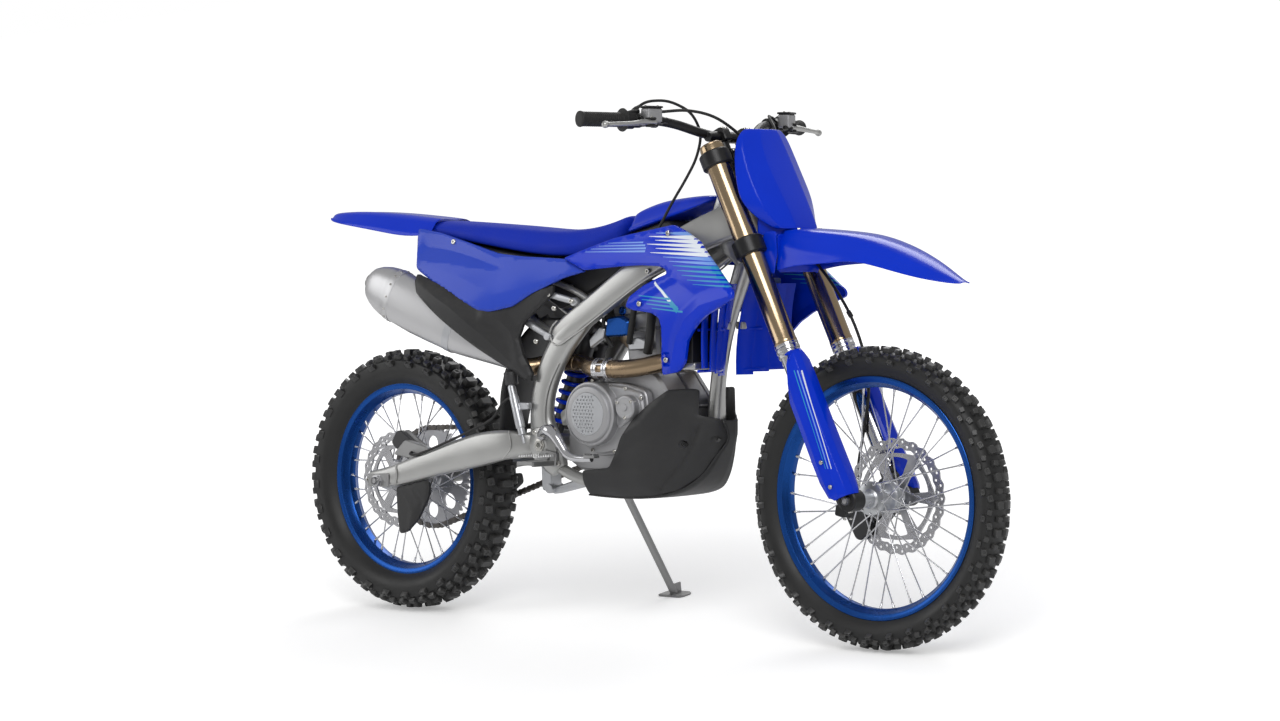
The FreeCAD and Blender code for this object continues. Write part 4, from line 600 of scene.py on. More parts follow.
def striped(tree, ground, stripes):
    """The ground colour with stripes laid over it, one after the other."""
    if not stripes:
        return ground
    where = placed(tree, MACHINE_PLACE)
    for (x0, z0), (x1, z1), first, last, tint in stripes:
        inputs = {"Ahead": where["Ahead"], "Height": where["Height"], "From Ahead": x0, "From Height": z0,
                  "To Ahead": x1, "To Height": z1, "First Width": first, "Last Width": last}
        line = add(tree, "ShaderNodeGroup", inputs, node_tree=STRIPE)
        ground = mix_colour(tree, line.outputs[0], ground, colour(*tint))
    return ground


def surface(name, base, rough, metal=0.0, grain=900.0, depth=0.00002, tone=0.12, rub=0.4,
            rub_colour=None, edge=0.0009, dust=0.08, brushed=False, stripes=(), **more):
    """A finish with grain or brushing, uneven tone, soft worn edges, a little dust and stripes."""
    material, tree, shader = new_material(name, Metallic=metal, **more)
    wear = placed(tree, EDGE_WEAR, Radius=edge, Reach=0.25)
    if brushed:
        texture = placed(tree, BRUSHED, Size=grain, Length=14.0)
    else:
        texture = placed(tree, GRAIN, Size=grain, Tone_Size=11.0)
    dirt = placed(tree, DUST, Amount=dust, Size=22.0)
    dark = colour(*[c * (1 - tone) for c in base])
    light = colour(*[min(1.0, c * (1 + tone)) for c in base])
    ground = mix_colour(tree, texture["Tone"], dark, light)
    ground = striped(tree, ground, stripes)
    bright = colour(*(rub_colour or [min(1.0, c * 1.5 + 0.03) for c in base]))
    worn = mix_colour(tree, math_node(tree, "MULTIPLY", wear["Mask"], rub), ground, bright)
    dusty = mix_colour(tree, dirt["Mask"], worn, colour(0.42, 0.36, 0.29))
    tree.links.new(dusty, shader.inputs["Base Color"])
    uneven = stretch(tree, texture["Tone"], 0.3, 0.7, rough * 0.85, min(1.0, rough * 1.15))
    tree.links.new(math_node(tree, "ADD", uneven, math_node(tree, "MULTIPLY", dirt["Mask"], 0.4)),
                   shader.inputs["Roughness"])
    bumped(tree, shader, texture["Height"], depth, wear["Normal"])
    return material


BLUE = (0.0, 0.030, 0.56)
WHITE = (0.78, 0.83, 0.90)
TEAL = (0.03, 0.30, 0.52)
PALE_BLUE = (0.18, 0.34, 0.78)
SHROUD_STRIPES = (
    ((700, 908), (905, 910), 0.6, 2.4, PALE_BLUE), ((716, 915), (905, 917), 0.6, 2.4, PALE_BLUE),
    ((742, 922), (900, 924), 0.6, 2.2, PALE_BLUE), ((770, 929), (890, 931), 0.6, 1.8, PALE_BLUE),
    ((925, 953), (1050, 951), 0.5, 5.0, PALE_BLUE), ((905, 945), (1068, 942), 0.5, 5.2, WHITE),
    ((930, 936), (1084, 932), 0.5, 5.2, WHITE), ((905, 927), (1100, 922), 0.5, 5.2, WHITE),
    ((940, 917), (1116, 912), 0.5, 5.2, WHITE), ((925, 907), (1130, 902), 0.5, 5.0, WHITE),
    ((975, 897), (1146, 892), 0.5, 4.6, PALE_BLUE), ((1000, 887), (1158, 882), 0.5, 4.2, PALE_BLUE),
    ((1016, 877), (1168, 872), 0.5, 3.8, TEAL), ((1034, 866), (1180, 861), 0.5, 3.4, TEAL),
    ((1052, 855), (1192, 850), 0.5, 3.0, TEAL), ((1072, 844), (1202, 840), 0.5, 2.6, TEAL),
    ((1094, 834), (1210, 830), 0.5, 2.0, TEAL),
    ((952, 838), (1040, 772), 3.0, 7.0, TEAL), ((952, 838), (1012, 792), 3.0, 4.0, WHITE),
    ((898, 806), (1010, 799), 0.8, 2.6, TEAL), ((908, 797), (1024, 790), 0.8, 2.6, TEAL),
    ((924, 787), (1040, 780), 0.8, 2.6, TEAL), ((944, 777), (1060, 770), 0.8, 2.2, TEAL),
)
GUARD_STRIPES = (
    ((1350, 640), (1446, 420), 1.3, 0.9, PALE_BLUE), ((1357, 640), (1453, 420), 0.9, 0.7, WHITE),
    ((1343, 640), (1439, 420), 0.9, 0.7, TEAL),
)


def blue_plastic(name="blue_plastic", stripes=(), base=BLUE):
    """The glossy plastic of the covers, plain or striped."""
    return surface(name, base, 0.17, grain=1400.0, depth=0.0000012, tone=0.06, rub=0.25,
                   rub_colour=(0.03, 0.09, 0.68), edge=0.0012, dust=0.004, stripes=stripes,
                   Specular_IOR_Level=0.24)


LOOKS = {
    "black_plastic": dict(base=(0.017, 0.017, 0.018), rough=0.48, grain=1100.0, depth=0.00005, tone=0.2,
                          rub=0.3, edge=0.0015, dust=0.05),
    "black_alloy": dict(base=(0.012, 0.012, 0.013), rough=0.38, metal=0.35, grain=1500.0, depth=0.00002,
                        tone=0.15, rub=0.35, rub_colour=(0.25, 0.25, 0.26)),
    "black_rubber": dict(base=(0.010, 0.010, 0.010), rough=0.55, grain=1300.0, depth=0.00003, tone=0.2,
                         rub=0.2),
    "caliper_grey": dict(base=(0.055, 0.055, 0.057), rough=0.38, metal=0.5, grain=1500.0, depth=0.00002,
                         rub=0.5, rub_colour=(0.4, 0.4, 0.4)),
    "frame_alloy": dict(base=(0.46, 0.46, 0.45), rough=0.34, metal=0.85, grain=1600.0, depth=0.00002,
                        tone=0.08, rub=0.35, edge=0.0025, dust=0.04),
    "hub_alloy": dict(base=(0.50, 0.51, 0.53), rough=0.3, metal=0.8, grain=1500.0, depth=0.00002, tone=0.1,
                      edge=0.0012, dust=0.03),
    "engine_alloy": dict(base=(0.40, 0.40, 0.41), rough=0.42, metal=0.7, grain=1000.0, depth=0.00006,
                         tone=0.14, rub=0.5, edge=0.0018, dust=0.06),
    "muffler_alloy": dict(base=(0.56, 0.56, 0.57), rough=0.38, metal=0.8, grain=900.0, depth=0.00001,
                          tone=0.08, rub=0.3, brushed=True, dust=0.03),
    "fork_gold": dict(base=(0.44, 0.33, 0.21), rough=0.2, metal=1.0, grain=400.0, depth=0.000001, tone=0.04,
                      rub=0.2, dust=0.02),
    "slider_steel": dict(base=(0.62, 0.62, 0.64), rough=0.14, metal=1.0, grain=1800.0, depth=0.000003,
                         tone=0.04, rub=0.1, dust=0.02),
    "disc_steel": dict(base=(0.55, 0.55, 0.57), rough=0.26, metal=1.0, grain=2000.0, depth=0.00001,
                       tone=0.1, rub=0.3, edge=0.0004, dust=0.02),
    "spoke_steel": dict(base=(0.62, 0.62, 0.64), rough=0.2, metal=1.0, grain=2000.0, depth=0.000004,
                        tone=0.06, rub=0.1, edge=0.0003, dust=0.02),
    "axle_steel": dict(base=(0.42, 0.42, 0.43), rough=0.32, metal=0.95, grain=1500.0, depth=0.00001,
                       tone=0.12, edge=0.0006),
    "peg_steel": dict(base=(0.33, 0.33, 0.33), rough=0.4, metal=0.9, grain=1300.0, depth=0.00003, tone=0.16,
                      edge=0.0009),
    "chain_steel": dict(base=(0.16, 0.15, 0.14), rough=0.38, metal=0.9, grain=1300.0, depth=0.00002,
                        tone=0.3, rub_colour=(0.45, 0.42, 0.36), edge=0.0004),
    "sprocket_alloy": dict(base=(0.50, 0.50, 0.52), rough=0.32, metal=0.9, grain=1500.0, depth=0.00001,
                           tone=0.08, edge=0.0006, dust=0.02),
    "blue_rim": dict(base=(0.010, 0.075, 0.33), rough=0.26, metal=0.85, grain=1800.0, depth=0.000006,
                     tone=0.08, rub=0.25, rub_colour=(0.10, 0.25, 0.6), edge=0.0008),
    "bronze_pipe": dict(base=(0.34, 0.25, 0.16), rough=0.27, metal=1.0, grain=700.0, depth=0.000008,
                        tone=0.2, rub=0.1, brushed=True),
    "suspension_metal": dict(base=(0.06, 0.06, 0.065), rough=0.4, metal=0.6, grain=1500.0, depth=0.00002,
                             rub=0.4),
    # The carcass rubber is painted much darker than the blocks' rubber: painted shade in the gaps between the
    # tread blocks.
    "tyre_carcass_shade": dict(base=(0.009, 0.009, 0.009), rough=0.5, grain=1200.0, depth=0.00006, tone=0.35,
                      rub=0.1, edge=0.0014, dust=0.02),
    # The blocks' rubber is painted lighter than the carcass, and its bright rubbed edges are partly wear and
    # partly a painted highlight on the block edges.
    "tyre": dict(base=(0.034, 0.034, 0.034), rough=0.38, grain=1200.0, depth=0.00006, tone=0.3, rub=0.6,
                 rub_colour=(0.12, 0.12, 0.12), edge=0.0016, dust=0.1),
    "zinc_bolt": dict(base=(0.55, 0.54, 0.51), rough=0.25, metal=1.0, grain=1600.0, depth=0.000005,
                      tone=0.08, edge=0.0003, dust=0.0),
    "seat_cover": dict(base=(0.0, 0.022, 0.42), rough=0.62, grain=1700.0, depth=0.0002, tone=0.07, rub=0.05,
                       edge=0.002, dust=0.004, Specular_IOR_Level=0.25),
    "radiator_core": dict(base=(0.02, 0.02, 0.021), rough=0.5, metal=0.4, grain=500.0, depth=0.0003,
                          tone=0.3),
}
FINISHES = {name: surface(name, **look) for name, look in LOOKS.items()}
FINISHES["blue_plastic"] = blue_plastic()
FINISHES["shroud_blue"] = blue_plastic("shroud_blue", SHROUD_STRIPES)
FINISHES["guard_blue"] = blue_plastic("guard_blue", GUARD_STRIPES)
FINISHES["side_panel_blue"] = blue_plastic("side_panel_blue", base=(0.028, 0.068, 0.50))


# Pieces.

def make_piece(name, shape, finish, body, replaces=(), smooth=40.0, subdivisions=0, thickness=0.0,
               bevel=0.0):
    """Builds one piece from a shape or a list of them, in its finish, and lets it ride on a body."""
    verts, faces = joined(shape) if isinstance(shape, list) else shape
    mesh = bpy.data.meshes.new(name)
    mesh.from_pydata([tuple(v) for v in world(np.array(verts))], [], faces)
    mesh.validate()
    piece = bpy.data.objects.new(name, mesh)
    bpy.context.scene.collection.objects.link(piece)
    mesh.shade_smooth()
    if smooth < 180:
        mesh.set_sharp_from_angle(angle=math.radians(smooth))
    mesh.materials.append(FINISHES[finish])
    if thickness:
        solid = piece.modifiers.new("wall", "SOLIDIFY")
        solid.thickness = thickness / 1000
        solid.offset = -1.0
        solid.use_even_offset = True
    if bevel:
        soften = piece.modifiers.new("edges", "BEVEL")
        soften.width = bevel / 1000
        soften.segments = 2
        soften.limit_method = "ANGLE"
    if subdivisions:
        finer = piece.modifiers.new("surface", "SUBSURF")
        finer.levels = subdivisions
        finer.render_levels = subdivisions
    if body:
        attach(piece, body)
    if replaces:
        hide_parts(*replaces)
    return piece


NODE_SLOTS = {entry["node"]: entry["material_slot"] for entry in frame["record"]["subparts"]}


def finish_nodes():
    """Gives every solid that stays in view the finish of its slot."""
    for name, node in frame["nodes"].items():
        material = FINISHES.get(NODE_SLOTS.get(name))
        if material is None:
            continue
        node.data.materials.clear()
        node.data.materials.append(material)


finish_nodes()


# Wheels.

def tyre_section(radius, width, rim_radius, drop):
    """The carcass section from bead to bead, as (radius, offset) pairs."""
    half = width / 2 - 4
    crown = radius - drop
    side = [(rim_radius - 5, half * 0.52), (rim_radius + 1, half * 0.56), (rim_radius + 6, half * 0.66),
            (rim_radius + 14, half * 0.82), (rim_radius + 26, half * 0.95), (rim_radius + 38, half),
            (crown - 14, half * 0.94), (crown - 6, half * 0.78), (crown - 1.5, half * 0.5), (crown, 0)]
    return side + [(r, -o) for r, o in reversed(side[:-1])]


def tread_point(radius, width, drop, offset):
    """Carcass surface and its outward direction at an offset from the middle, in the section."""
    half = width / 2 - 4
    share = abs(offset) / half
    height = radius - drop - 24 * share ** 2.6
    slope = -24 * 2.6 * share ** 1.6 / half * (1 if offset >= 0 else -1)
    normal = unit(np.array([1.0, -slope]))
    return height, normal


def lug(centre, angle, radius, offset, normal, length, width, height, skew, recess):
    """One tread block standing on the carcass."""
    spin = np.array([math.cos(angle), 0.0, math.sin(angle)])
    ahead = np.array([-math.sin(angle), 0.0, math.cos(angle)])
    out = unit(spin * normal[0] + Y_AXIS * normal[1])
    wide = unit(np.cross(ahead, out))
    ahead, wide = (ahead * math.cos(skew) + wide * math.sin(skew),
                   wide * math.cos(skew) - ahead * math.sin(skew))
    base = centre + spin * radius + Y_AXIS * offset - out * 3
    rows = []
    levels = [(1.14, 1.10, 0.0), (1.0, 1.0, height - 1.4 + 3), (0.9, 0.9, height + 3)]
    if recess:
        levels += [(0.52, 0.52, height + 3), (0.46, 0.46, height + 1.2)]
    cut = 0.24
    plan = [(1, 1 - cut), (1 - cut, 1), (-1 + cut, 1), (-1, 1 - cut), (-1, -1 + cut), (-1 + cut, -1),
            (1 - cut, -1), (1, -1 + cut)]
    for grow_a, grow_b, lift in levels:
        rows += [base + ahead * a * length / 2 * grow_a + wide * b * width / 2 * grow_b + out * lift
                 for a, b in plan]
    faces = ring_faces(len(levels), 8)
    faces.append(tuple((len(levels) - 1) * 8 + i for i in range(8)))
    return rows, faces


def make_tyre(name, centre, radius, width, rim_radius, drop, count, rows, body, node):
    """A knobbly tyre: a smooth carcass in rubber painted darker as shade between the blocks, and its rows of
    lighter tread blocks.
    """
    section = tyre_section(radius, width, rim_radius, drop)
    section += [(rim_radius + 10, -width * 0.2), (rim_radius + 10, width * 0.2)]
    carcass = turned(centre, Y_AXIS, section, 120, closed=True)
    # The carcass takes the darker rubber: painted shade between the tread blocks.
    make_piece(name + "_carcass", carcass, "tyre_carcass_shade", body, (node,), smooth=35)
    shapes = []
    for i in range(count):
        for offset, phase, length, wide, tall, skew, recess in rows:
            angle = 2 * math.pi * (i + phase) / count
            for side_sign in ((-1, 1) if offset else (1,)):
                at = offset * side_sign
                height, normal = tread_point(radius, width, drop, at)
                shapes.append(lug(centre, angle, height, at, normal, length, wide, tall,
                                  skew * side_sign, recess))
    # The blocks take the lighter rubber: painted light on the blocks, with edges that are partly wear and
    # partly painted highlight.
    make_piece(name + "_blocks", shapes, "tyre", body, smooth=35)


FRONT_RIM, REAR_RIM = 277.0, 241.0

# Rows of tread blocks: offset from the middle, shift along the tread, length, width, height,
# skew, and whether the top is recessed.
FRONT_LUGS = [(13, 0.0, 18, 16, 11.5, 0.10, False), (13, 0.5, 12, 12, 11.5, -0.15, False),
              (30, 0.25, 15, 12, 11.5, 0.25, True), (31, 0.75, 12, 11, 11.0, -0.2, False),
              (39, 0.5, 14, 9, 9.0, 0.0, True)]
REAR_LUGS = [(0, 0.0, 18, 36, 15.0, 0.0, False), (19, 0.5, 17, 18, 15.0, 0.12, True),
             (40, 0.1, 20, 17, 14.5, 0.2, True), (42, 0.62, 16, 14, 14.0, -0.15, False),
             (55, 0.38, 19, 12, 10.0, 0.0, True)]

make_tyre("front_tyre", FRONT_AXLE, FRONT_RADIUS, 88.0, FRONT_RIM, 12.0, 34, FRONT_LUGS,
          "front_wheel", "front_tyre")
make_tyre("rear_tyre", REAR_AXLE, REAR_RADIUS, 122.0, REAR_RIM, 15.5, 28, REAR_LUGS,
          "rear_wheel", "rear_tyre")


def make_rim(name, centre, radius, width, body, node):
    """A blue rim: two hooked lips and a hollow box."""
    half = width / 2
    bed = radius - 24
    side = [(radius + 1.5, half - 2.4), (radius + 2.2, half - 1.0), (radius + 0.8, half),
            (radius - 5, half), (radius - 8, half - 1.2), (radius - 12, half - 1.6),
            (radius - 17, half * 0.66), (radius - 20.5, half * 0.44), (bed, half * 0.3), (bed - 0.6, 0)]
    inner = [(bed + 4, 0), (bed + 5, half * 0.3), (radius - 12, half * 0.62), (radius - 9, half - 5),
             (radius - 2, half - 4.5)]
    section = side + [(r, -o) for r, o in reversed(side[:-1])]
    section += [(r, -o) for r, o in reversed(inner)] + inner[1:]
    make_piece(name, turned(centre, Y_AXIS, section, 144, closed=True), "blue_rim", body, (node,),
               smooth=28)


make_rim("front_rim_ring", FRONT_AXLE, FRONT_RIM, 52.0, "front_wheel", "front_rim")
make_rim("rear_rim_ring", REAR_AXLE, REAR_RIM, 66.0, "rear_wheel", "rear_rim")


def wheel_point(centre, reach, angle, y):
    """A point by its distance and angle from a wheel's middle, and how far it is to the left."""
    return centre + np.array([reach * math.cos(angle), y, reach * math.sin(angle)])


def make_spokes(name, centre, rim_radius, flange_radius, hub_half, body, node):
    """Laced wire spokes with bent heads in the hub flanges and square-necked nipples."""
    bed = rim_radius - 24
    count = 36
    shapes = []
    for i in range(count):
        side = 1 if i % 2 else -1
        trailing = 1 if (i // 2) % 2 else -1
        rim_angle = 2 * math.pi * i / count
        hub_angle = rim_angle + trailing * math.radians(52)
        head_y = side * (hub_half + trailing * 5.0)
        wire_y = side * (hub_half + trailing * 2.3)
        start = wheel_point(centre, flange_radius - 4, hub_angle, head_y)
        knee = wheel_point(centre, flange_radius - 2.5, hub_angle, wire_y)
        end = wheel_point(centre, bed, rim_angle, side * 4.0)
        along = unit(end - knee)
        neck = end - along * 15
        shapes.append(swept([start, knee, knee + along * 8, neck], 1.75, 8, smooth=False))
        shapes.append(turned(start, Y_AXIS * trailing * side, [(3.0, -0.6), (3.2, 0.6), (1.8, 1.6)], 10))
        nipple = [(2.5, 0), (2.7, 1), (2.7, 9), (3.3, 9.6), (3.4, 17)]
        shapes.append(turned(neck, along, nipple, 8))
    make_piece(name, shapes, "spoke_steel", body, (node,), smooth=45)


make_spokes("front_wire_spokes", FRONT_AXLE, FRONT_RIM, 38.0, 33.0, "front_wheel", "front_spokes")
make_spokes("rear_wire_spokes", REAR_AXLE, REAR_RIM, 48.0, 34.0, "rear_wheel", "rear_spokes")


def round_hole(x, y, radius, sides=12):
    """A round outline about a flat point."""
    return [(x + radius * math.cos(a), y + radius * math.sin(a)) for a in even_angles(sides)]


def make_disc(name, centre, offset, radius, band, hub_radius, waves, body, node):
    """A floating wave-edged disc with drilled band, on a spoked carrier."""
    around = even_angles(waves * 8)
    outline = [polar(radius - 2.2 + 2.2 * math.cos(waves * a), a) for a in around]
    inner = [polar(radius - band + 1.6 * math.cos(waves * a), a) for a in around]
    holes = [round_hole(*polar(radius - (17.5 if k % 2 else 8.5), angle), 3.4)
             for k, angle in enumerate(even_angles(waves * 2))]
    flat, faces = flat_sheet(outline, holes + [inner], 6.0)
    band_verts = [centre + np.array([x, offset + 1.9, z]) for x, z in flat]
    ring = thickened(band_verts, [f[::-1] for f in faces], np.array([0, -3.8, 0]))
    arms = 6
    reach = radius - band - 4
    carrier_outline = [polar(reach - 7 + 7 * abs(math.cos(arms * a / 2)) ** 4, a)
                       for a in even_angles(arms * 16)]
    spread = math.pi / arms * 0.70
    windows = []
    for middle in even_angles(arms, 0.5):
        outer = [polar(reach - 16, middle + t) for t in np.linspace(-spread, spread, 9)]
        near = [polar(hub_radius + 14, middle + t) for t in np.linspace(spread * 0.8, -spread * 0.8, 6)]
        windows.append(rounded(outer + near, 6))
    hub_hole = round_hole(0, 0, hub_radius + 0.6, 40)
    flat, faces = flat_sheet(carrier_outline, windows + [hub_hole], 7.0)
    plate = thickened([centre + np.array([x, offset + 2.6, z]) for x, z in flat],
                      [f[::-1] for f in faces], np.array([0, -5.2, 0]))
    button = [(7.5, 1.8), (7.5, 3.2), (4.5, 3.6), (4.2, 2.4)]
    fixings = []
    for angle in even_angles(arms):
        at = wheel_point(centre, radius - band - 1, angle, offset)
        fixings += [turned(at, Y_AXIS * side, button, 20) for side in (-1, 1)]
        near = wheel_point(centre, hub_radius + 7, angle, offset + 2.6)
        fixings.append(bolt(near, Y_AXIS if offset > 0 else -Y_AXIS, 5))
    make_piece(name, [ring, plate] + fixings, "disc_steel", body, (node,), smooth=30)


make_disc("front_wave_disc", FRONT_AXLE, 66.0, 135.0, 24.0, 24.0, 26, "front_wheel", "front_disc")
make_disc("rear_wave_disc", REAR_AXLE, -54.0, 122.0, 24.0, 30.0, 24, "rear_wheel", "rear_disc")


# Bodywork.

def eased(xs, rows, x):
    """Smooth values at each x through rows of given ones; a row may hold one value per x."""
    xs, rows = np.asarray(xs, dtype=float), np.asarray(rows, dtype=float)
    if rows.ndim == 1:
        rows = np.repeat(rows[:, None], len(x), axis=1)
    slopes = np.gradient(rows, xs, axis=0)
    x = np.clip(x, xs[0], xs[-1])
    i = np.clip(np.searchsorted(xs, x, side="right") - 1, 0, len(xs) - 2)
    k = np.arange(len(x))
    step = xs[i + 1] - xs[i]
    t = (x - xs[i]) / step
    return ((2 * t ** 3 - 3 * t ** 2 + 1) * rows[i, k] + (t ** 3 - 2 * t ** 2 + t) * step * slopes[i, k]
            + (3 * t ** 2 - 2 * t ** 3) * rows[i + 1, k] + (t ** 3 - t ** 2) * step * slopes[i + 1, k])


def skin_offset(stations, x, z):
    """How far a panel's outer face is from the middle plane, at each x and z."""
    columns = [eased([p[0] for p in column[::-1]], [p[1] for p in column[::-1]], z)
               for _, column in stations]
    return eased([station[0] for station in stations], columns, x)


def gap_to_line(flat, line):
    """Distance of each flat point from a line of straight runs."""
    line = np.asarray(line, dtype=float)
    best = np.full(len(flat), 1e9)
    for start, end in zip(line[:-1], line[1:]):
        run = end - start
        t = np.clip(((flat - start) @ run) / run.dot(run), 0, 1)
        best = np.minimum(best, np.linalg.norm(flat - start - t[:, None] * run, axis=1))
    return best


def smooth_outline(points, steps=4):
    """A closed outline with eased runs, for soft edges."""
    closed = [np.asarray(p, dtype=float) for p in points]
    padded = [closed[-1]] + closed + closed[:2]
    result = []
    for i in range(1, len(closed) + 1):
        p0, p1, p2, p3 = padded[i - 1:i + 3]
        for step in range(steps):
            t = step / steps
            result.append(0.5 * (2 * p1 + (p2 - p0) * t + (2 * p0 - 5 * p1 + 4 * p2 - p3) * t ** 2
                                 + (3 * p1 - p0 - 3 * p2 + p3) * t ** 3))
    return result


def panel_shape(outline, stations, ridges=(), dents=(), wall=3.0, roll=7.0, drop=4.0, spacing=7.0, hem=9.0):
    """A moulded panel on the machine's right: an outline bent to a skin, with ridges, dents and a hem.

    A ridge is a line, its height and how wide it falls off; a dent is an outline, depth and slope.
    """
    creases = [ridge[0] for ridge in ridges] + [list(dent[0]) + [dent[0][0]] for dent in dents]
    flat, faces = flat_sheet(outline, (), spacing, creases)
    near = gap_to_line(flat, list(outline) + [outline[0]])
    y = skin_offset(stations, flat[:, 0], flat[:, 1])
    y = y - drop * (1 - np.sqrt(1 - (1 - np.minimum(near / roll, 1)) ** 2))
    for line, height, width in ridges:
        y = y + height * np.maximum(0, 1 - gap_to_line(flat, line) / width)
    for dent, depth, slope in dents:
        inside = inside_outline(flat, dent)
        reach = np.minimum(gap_to_line(flat, list(dent) + [dent[0]]) / slope, 1)
        y = y - np.where(inside, depth * reach, 0)
    verts = np.column_stack([flat[:, 0], -y, flat[:, 1]])
    rim = near < 1e-3
    shape = thickened(verts, facing_right(verts, faces), np.array([0.0, wall, 0.0]))
    inner = np.array(shape[0])
    count = len(verts)
    hem_at = np.nonzero(rim)[0] + count
    inner[hem_at, 1] += hem - wall
    return list(inner), shape[1]


def facing_right(verts, faces):
    """Faces turned so that they look to the machine's right."""
    a, b, c = (verts[[face[k] for face in faces]] for k in range(3))
    if np.cross(b - a, c - a)[:, 1].sum() > 0:
        return [face[::-1] for face in faces]
    return faces


def lofted(rings, closed=True):
    """Quads between rings with the same number of points."""
    count = len(rings[0])
    verts = [p for ring in rings for p in ring]
    faces = []
    span = count if closed else count - 1
    for i in range(len(rings) - 1):
        for j in range(span):
            k = (j + 1) % count
            faces.append((i * count + j, i * count + k, (i + 1) * count + k, (i + 1) * count + j))
    if closed:
        faces.append(tuple(range(count))[::-1])
        faces.append(tuple((len(rings) - 1) * count + j for j in range(count)))
    return verts, faces


def bridge_ring(x, half_section):
    """A ring across the machine at one x, from (y, z) points on its left half, top to bottom."""
    left = [(x, y, z) for y, z in half_section]
    right = [(x, -y, z) for y, z in reversed(half_section) if y > 1e-6]
    return [np.array(p, dtype=float) for p in left + right]


def strip_ring(x, half_section):
    """An open row across the machine, from its middle (y 0) outwards, both sides."""
    out = [np.array((x, y, z), dtype=float) for y, z in half_section]
    return [np.array((x, -y, z), dtype=float) for y, z in reversed(half_section[1:])] + out


SHROUD_SKIN = [
    (600, [(1000, 112), (900, 124), (800, 128), (700, 128), (600, 126)]),
    (760, [(1000, 108), (900, 132), (800, 142), (700, 142), (600, 138)]),
    (900, [(1000, 116), (900, 148), (800, 162), (700, 164), (600, 158)]),
    (1000, [(1000, 128), (900, 168), (800, 184), (700, 182), (600, 172)]),
    (1100, [(1000, 150), (900, 190), (800, 204), (700, 198), (600, 182)]),
    (1240, [(1000, 190), (900, 206), (800, 214), (700, 208), (600, 196)])]
SIDE_SKIN = [
    (80, [(1000, 84), (930, 100), (860, 126), (790, 158), (740, 170)]),
    (200, [(1000, 90), (930, 110), (860, 138), (790, 166), (740, 176)]),
    (340, [(1000, 94), (930, 118), (860, 142), (790, 164), (740, 172)]),
    (460, [(1000, 96), (930, 118), (860, 136), (790, 150), (740, 156)]),
    (560, [(1000, 98), (930, 116), (860, 128), (790, 136), (740, 140)]),
    (720, [(1000, 100), (930, 114), (860, 122), (790, 126), (740, 128)])]
AIRBOX_SKIN = [
    (110, [(870, 124), (800, 162), (730, 180), (660, 182), (590, 170)]),
    (240, [(870, 134), (800, 168), (730, 182), (660, 180), (590, 160)]),
    (360, [(870, 134), (800, 158), (730, 168), (660, 166), (590, 146)]),
    (460, [(870, 130), (800, 142), (730, 144), (660, 140), (590, 134)]),
    (590, [(870, 124), (800, 128), (730, 128), (660, 126), (590, 124)])]


def on_skin(stations, x, z, out=0.0):
    """A point on the right-hand outer face of a skin."""
    return np.array([x, -float(skin_offset(stations, np.array([x]), np.array([z]))[0]) - out, z])


def make_shrouds():
    """The long side covers from the seat to ahead of the radiators, with their bevelled edges."""
    outline = [(628, 893), (700, 917), (778, 940), (833, 950), (905, 961), (974, 972), (1030, 955),
               (1089, 932), (1160, 875), (1222, 818), (1223, 803), (1134, 764), (1099, 740),
               (1066, 703), (1052, 655), (1034, 636), (1019, 628), (972, 621), (971, 656), (975, 700),
               (974, 735), (966, 755), (938, 766), (873, 771), (843, 779), (856, 803), (905, 830),
               (957, 848), (990, 857), (985, 868), (961, 875), (890, 877), (818, 874), (755, 869),
               (695, 864)]
    upper = [(640, 893), (700, 886), (790, 893), (900, 899), (1000, 892), (1075, 868), (1218, 812)]
    lower = [(1214, 808), (1120, 786), (1068, 752), (1034, 706), (1018, 660), (1006, 640)]
    notch = [(862, 786), (915, 812), (975, 838), (1015, 850)]
    recess = rounded([(978, 676), (1008, 676), (1010, 642), (978, 640)], 6)
    bowl = rounded([(955, 966), (990, 958), (990, 942), (955, 944)], 8)
    right = panel_shape(rounded(outline, 7), SHROUD_SKIN,
                        ridges=[(upper, 5.5, 46), (lower, 6.5, 26), (notch, 4.0, 20)],
                        dents=[(recess, 7.0, 2.5), (bowl, 3.5, 3.0)])
    make_piece("shroud_covers", both(right), "shroud_blue", "frame", ("shrouds",), smooth=24)
    screws = [cap_screw(on_skin(SHROUD_SKIN, 992, 657, -2.0), -Y_AXIS, 6.5),
              cap_screw(on_skin(SHROUD_SKIN, 972, 953, 1.5), (0, -1, -0.2), 6.0),
              cap_screw(on_skin(SHROUD_SKIN, 901, 787, 1.5), -Y_AXIS, 6.5)]
    make_piece("shroud_screws", both(*screws), "zinc_bolt", "frame")


def make_side_panels():
    """The rear side covers, with a scoop at the back."""
    outline = [(108, 966), (110, 940), (116, 920), (136, 868), (154, 858), (260, 814), (375, 765),
               (413, 762), (476, 775), (532, 808), (622, 845), (688, 861), (625, 891), (560, 894),
               (485, 897), (408, 904), (300, 930), (189, 955)]
    scoop = smooth_outline([(132, 950), (124, 915), (142, 890), (240, 884), (340, 872), (420, 866),
                            (436, 874), (400, 893), (320, 922), (230, 944), (180, 952)], 3)
    right = panel_shape(rounded(outline, 8), SIDE_SKIN,
                        ridges=[([(150, 880), (300, 846), (420, 800), (520, 822), (640, 862)], 3.0, 60)],
                        dents=[(scoop, 9.0, 34.0)])
    make_piece("tail_side_covers", both(right), "side_panel_blue", "frame", ("side_panels",), smooth=24)
    screw = cap_screw(on_skin(SIDE_SKIN, 250, 932, -3.5), (0, -1, 0.2), 6.5)
    make_piece("side_cover_screws", both(screw), "zinc_bolt", "frame")


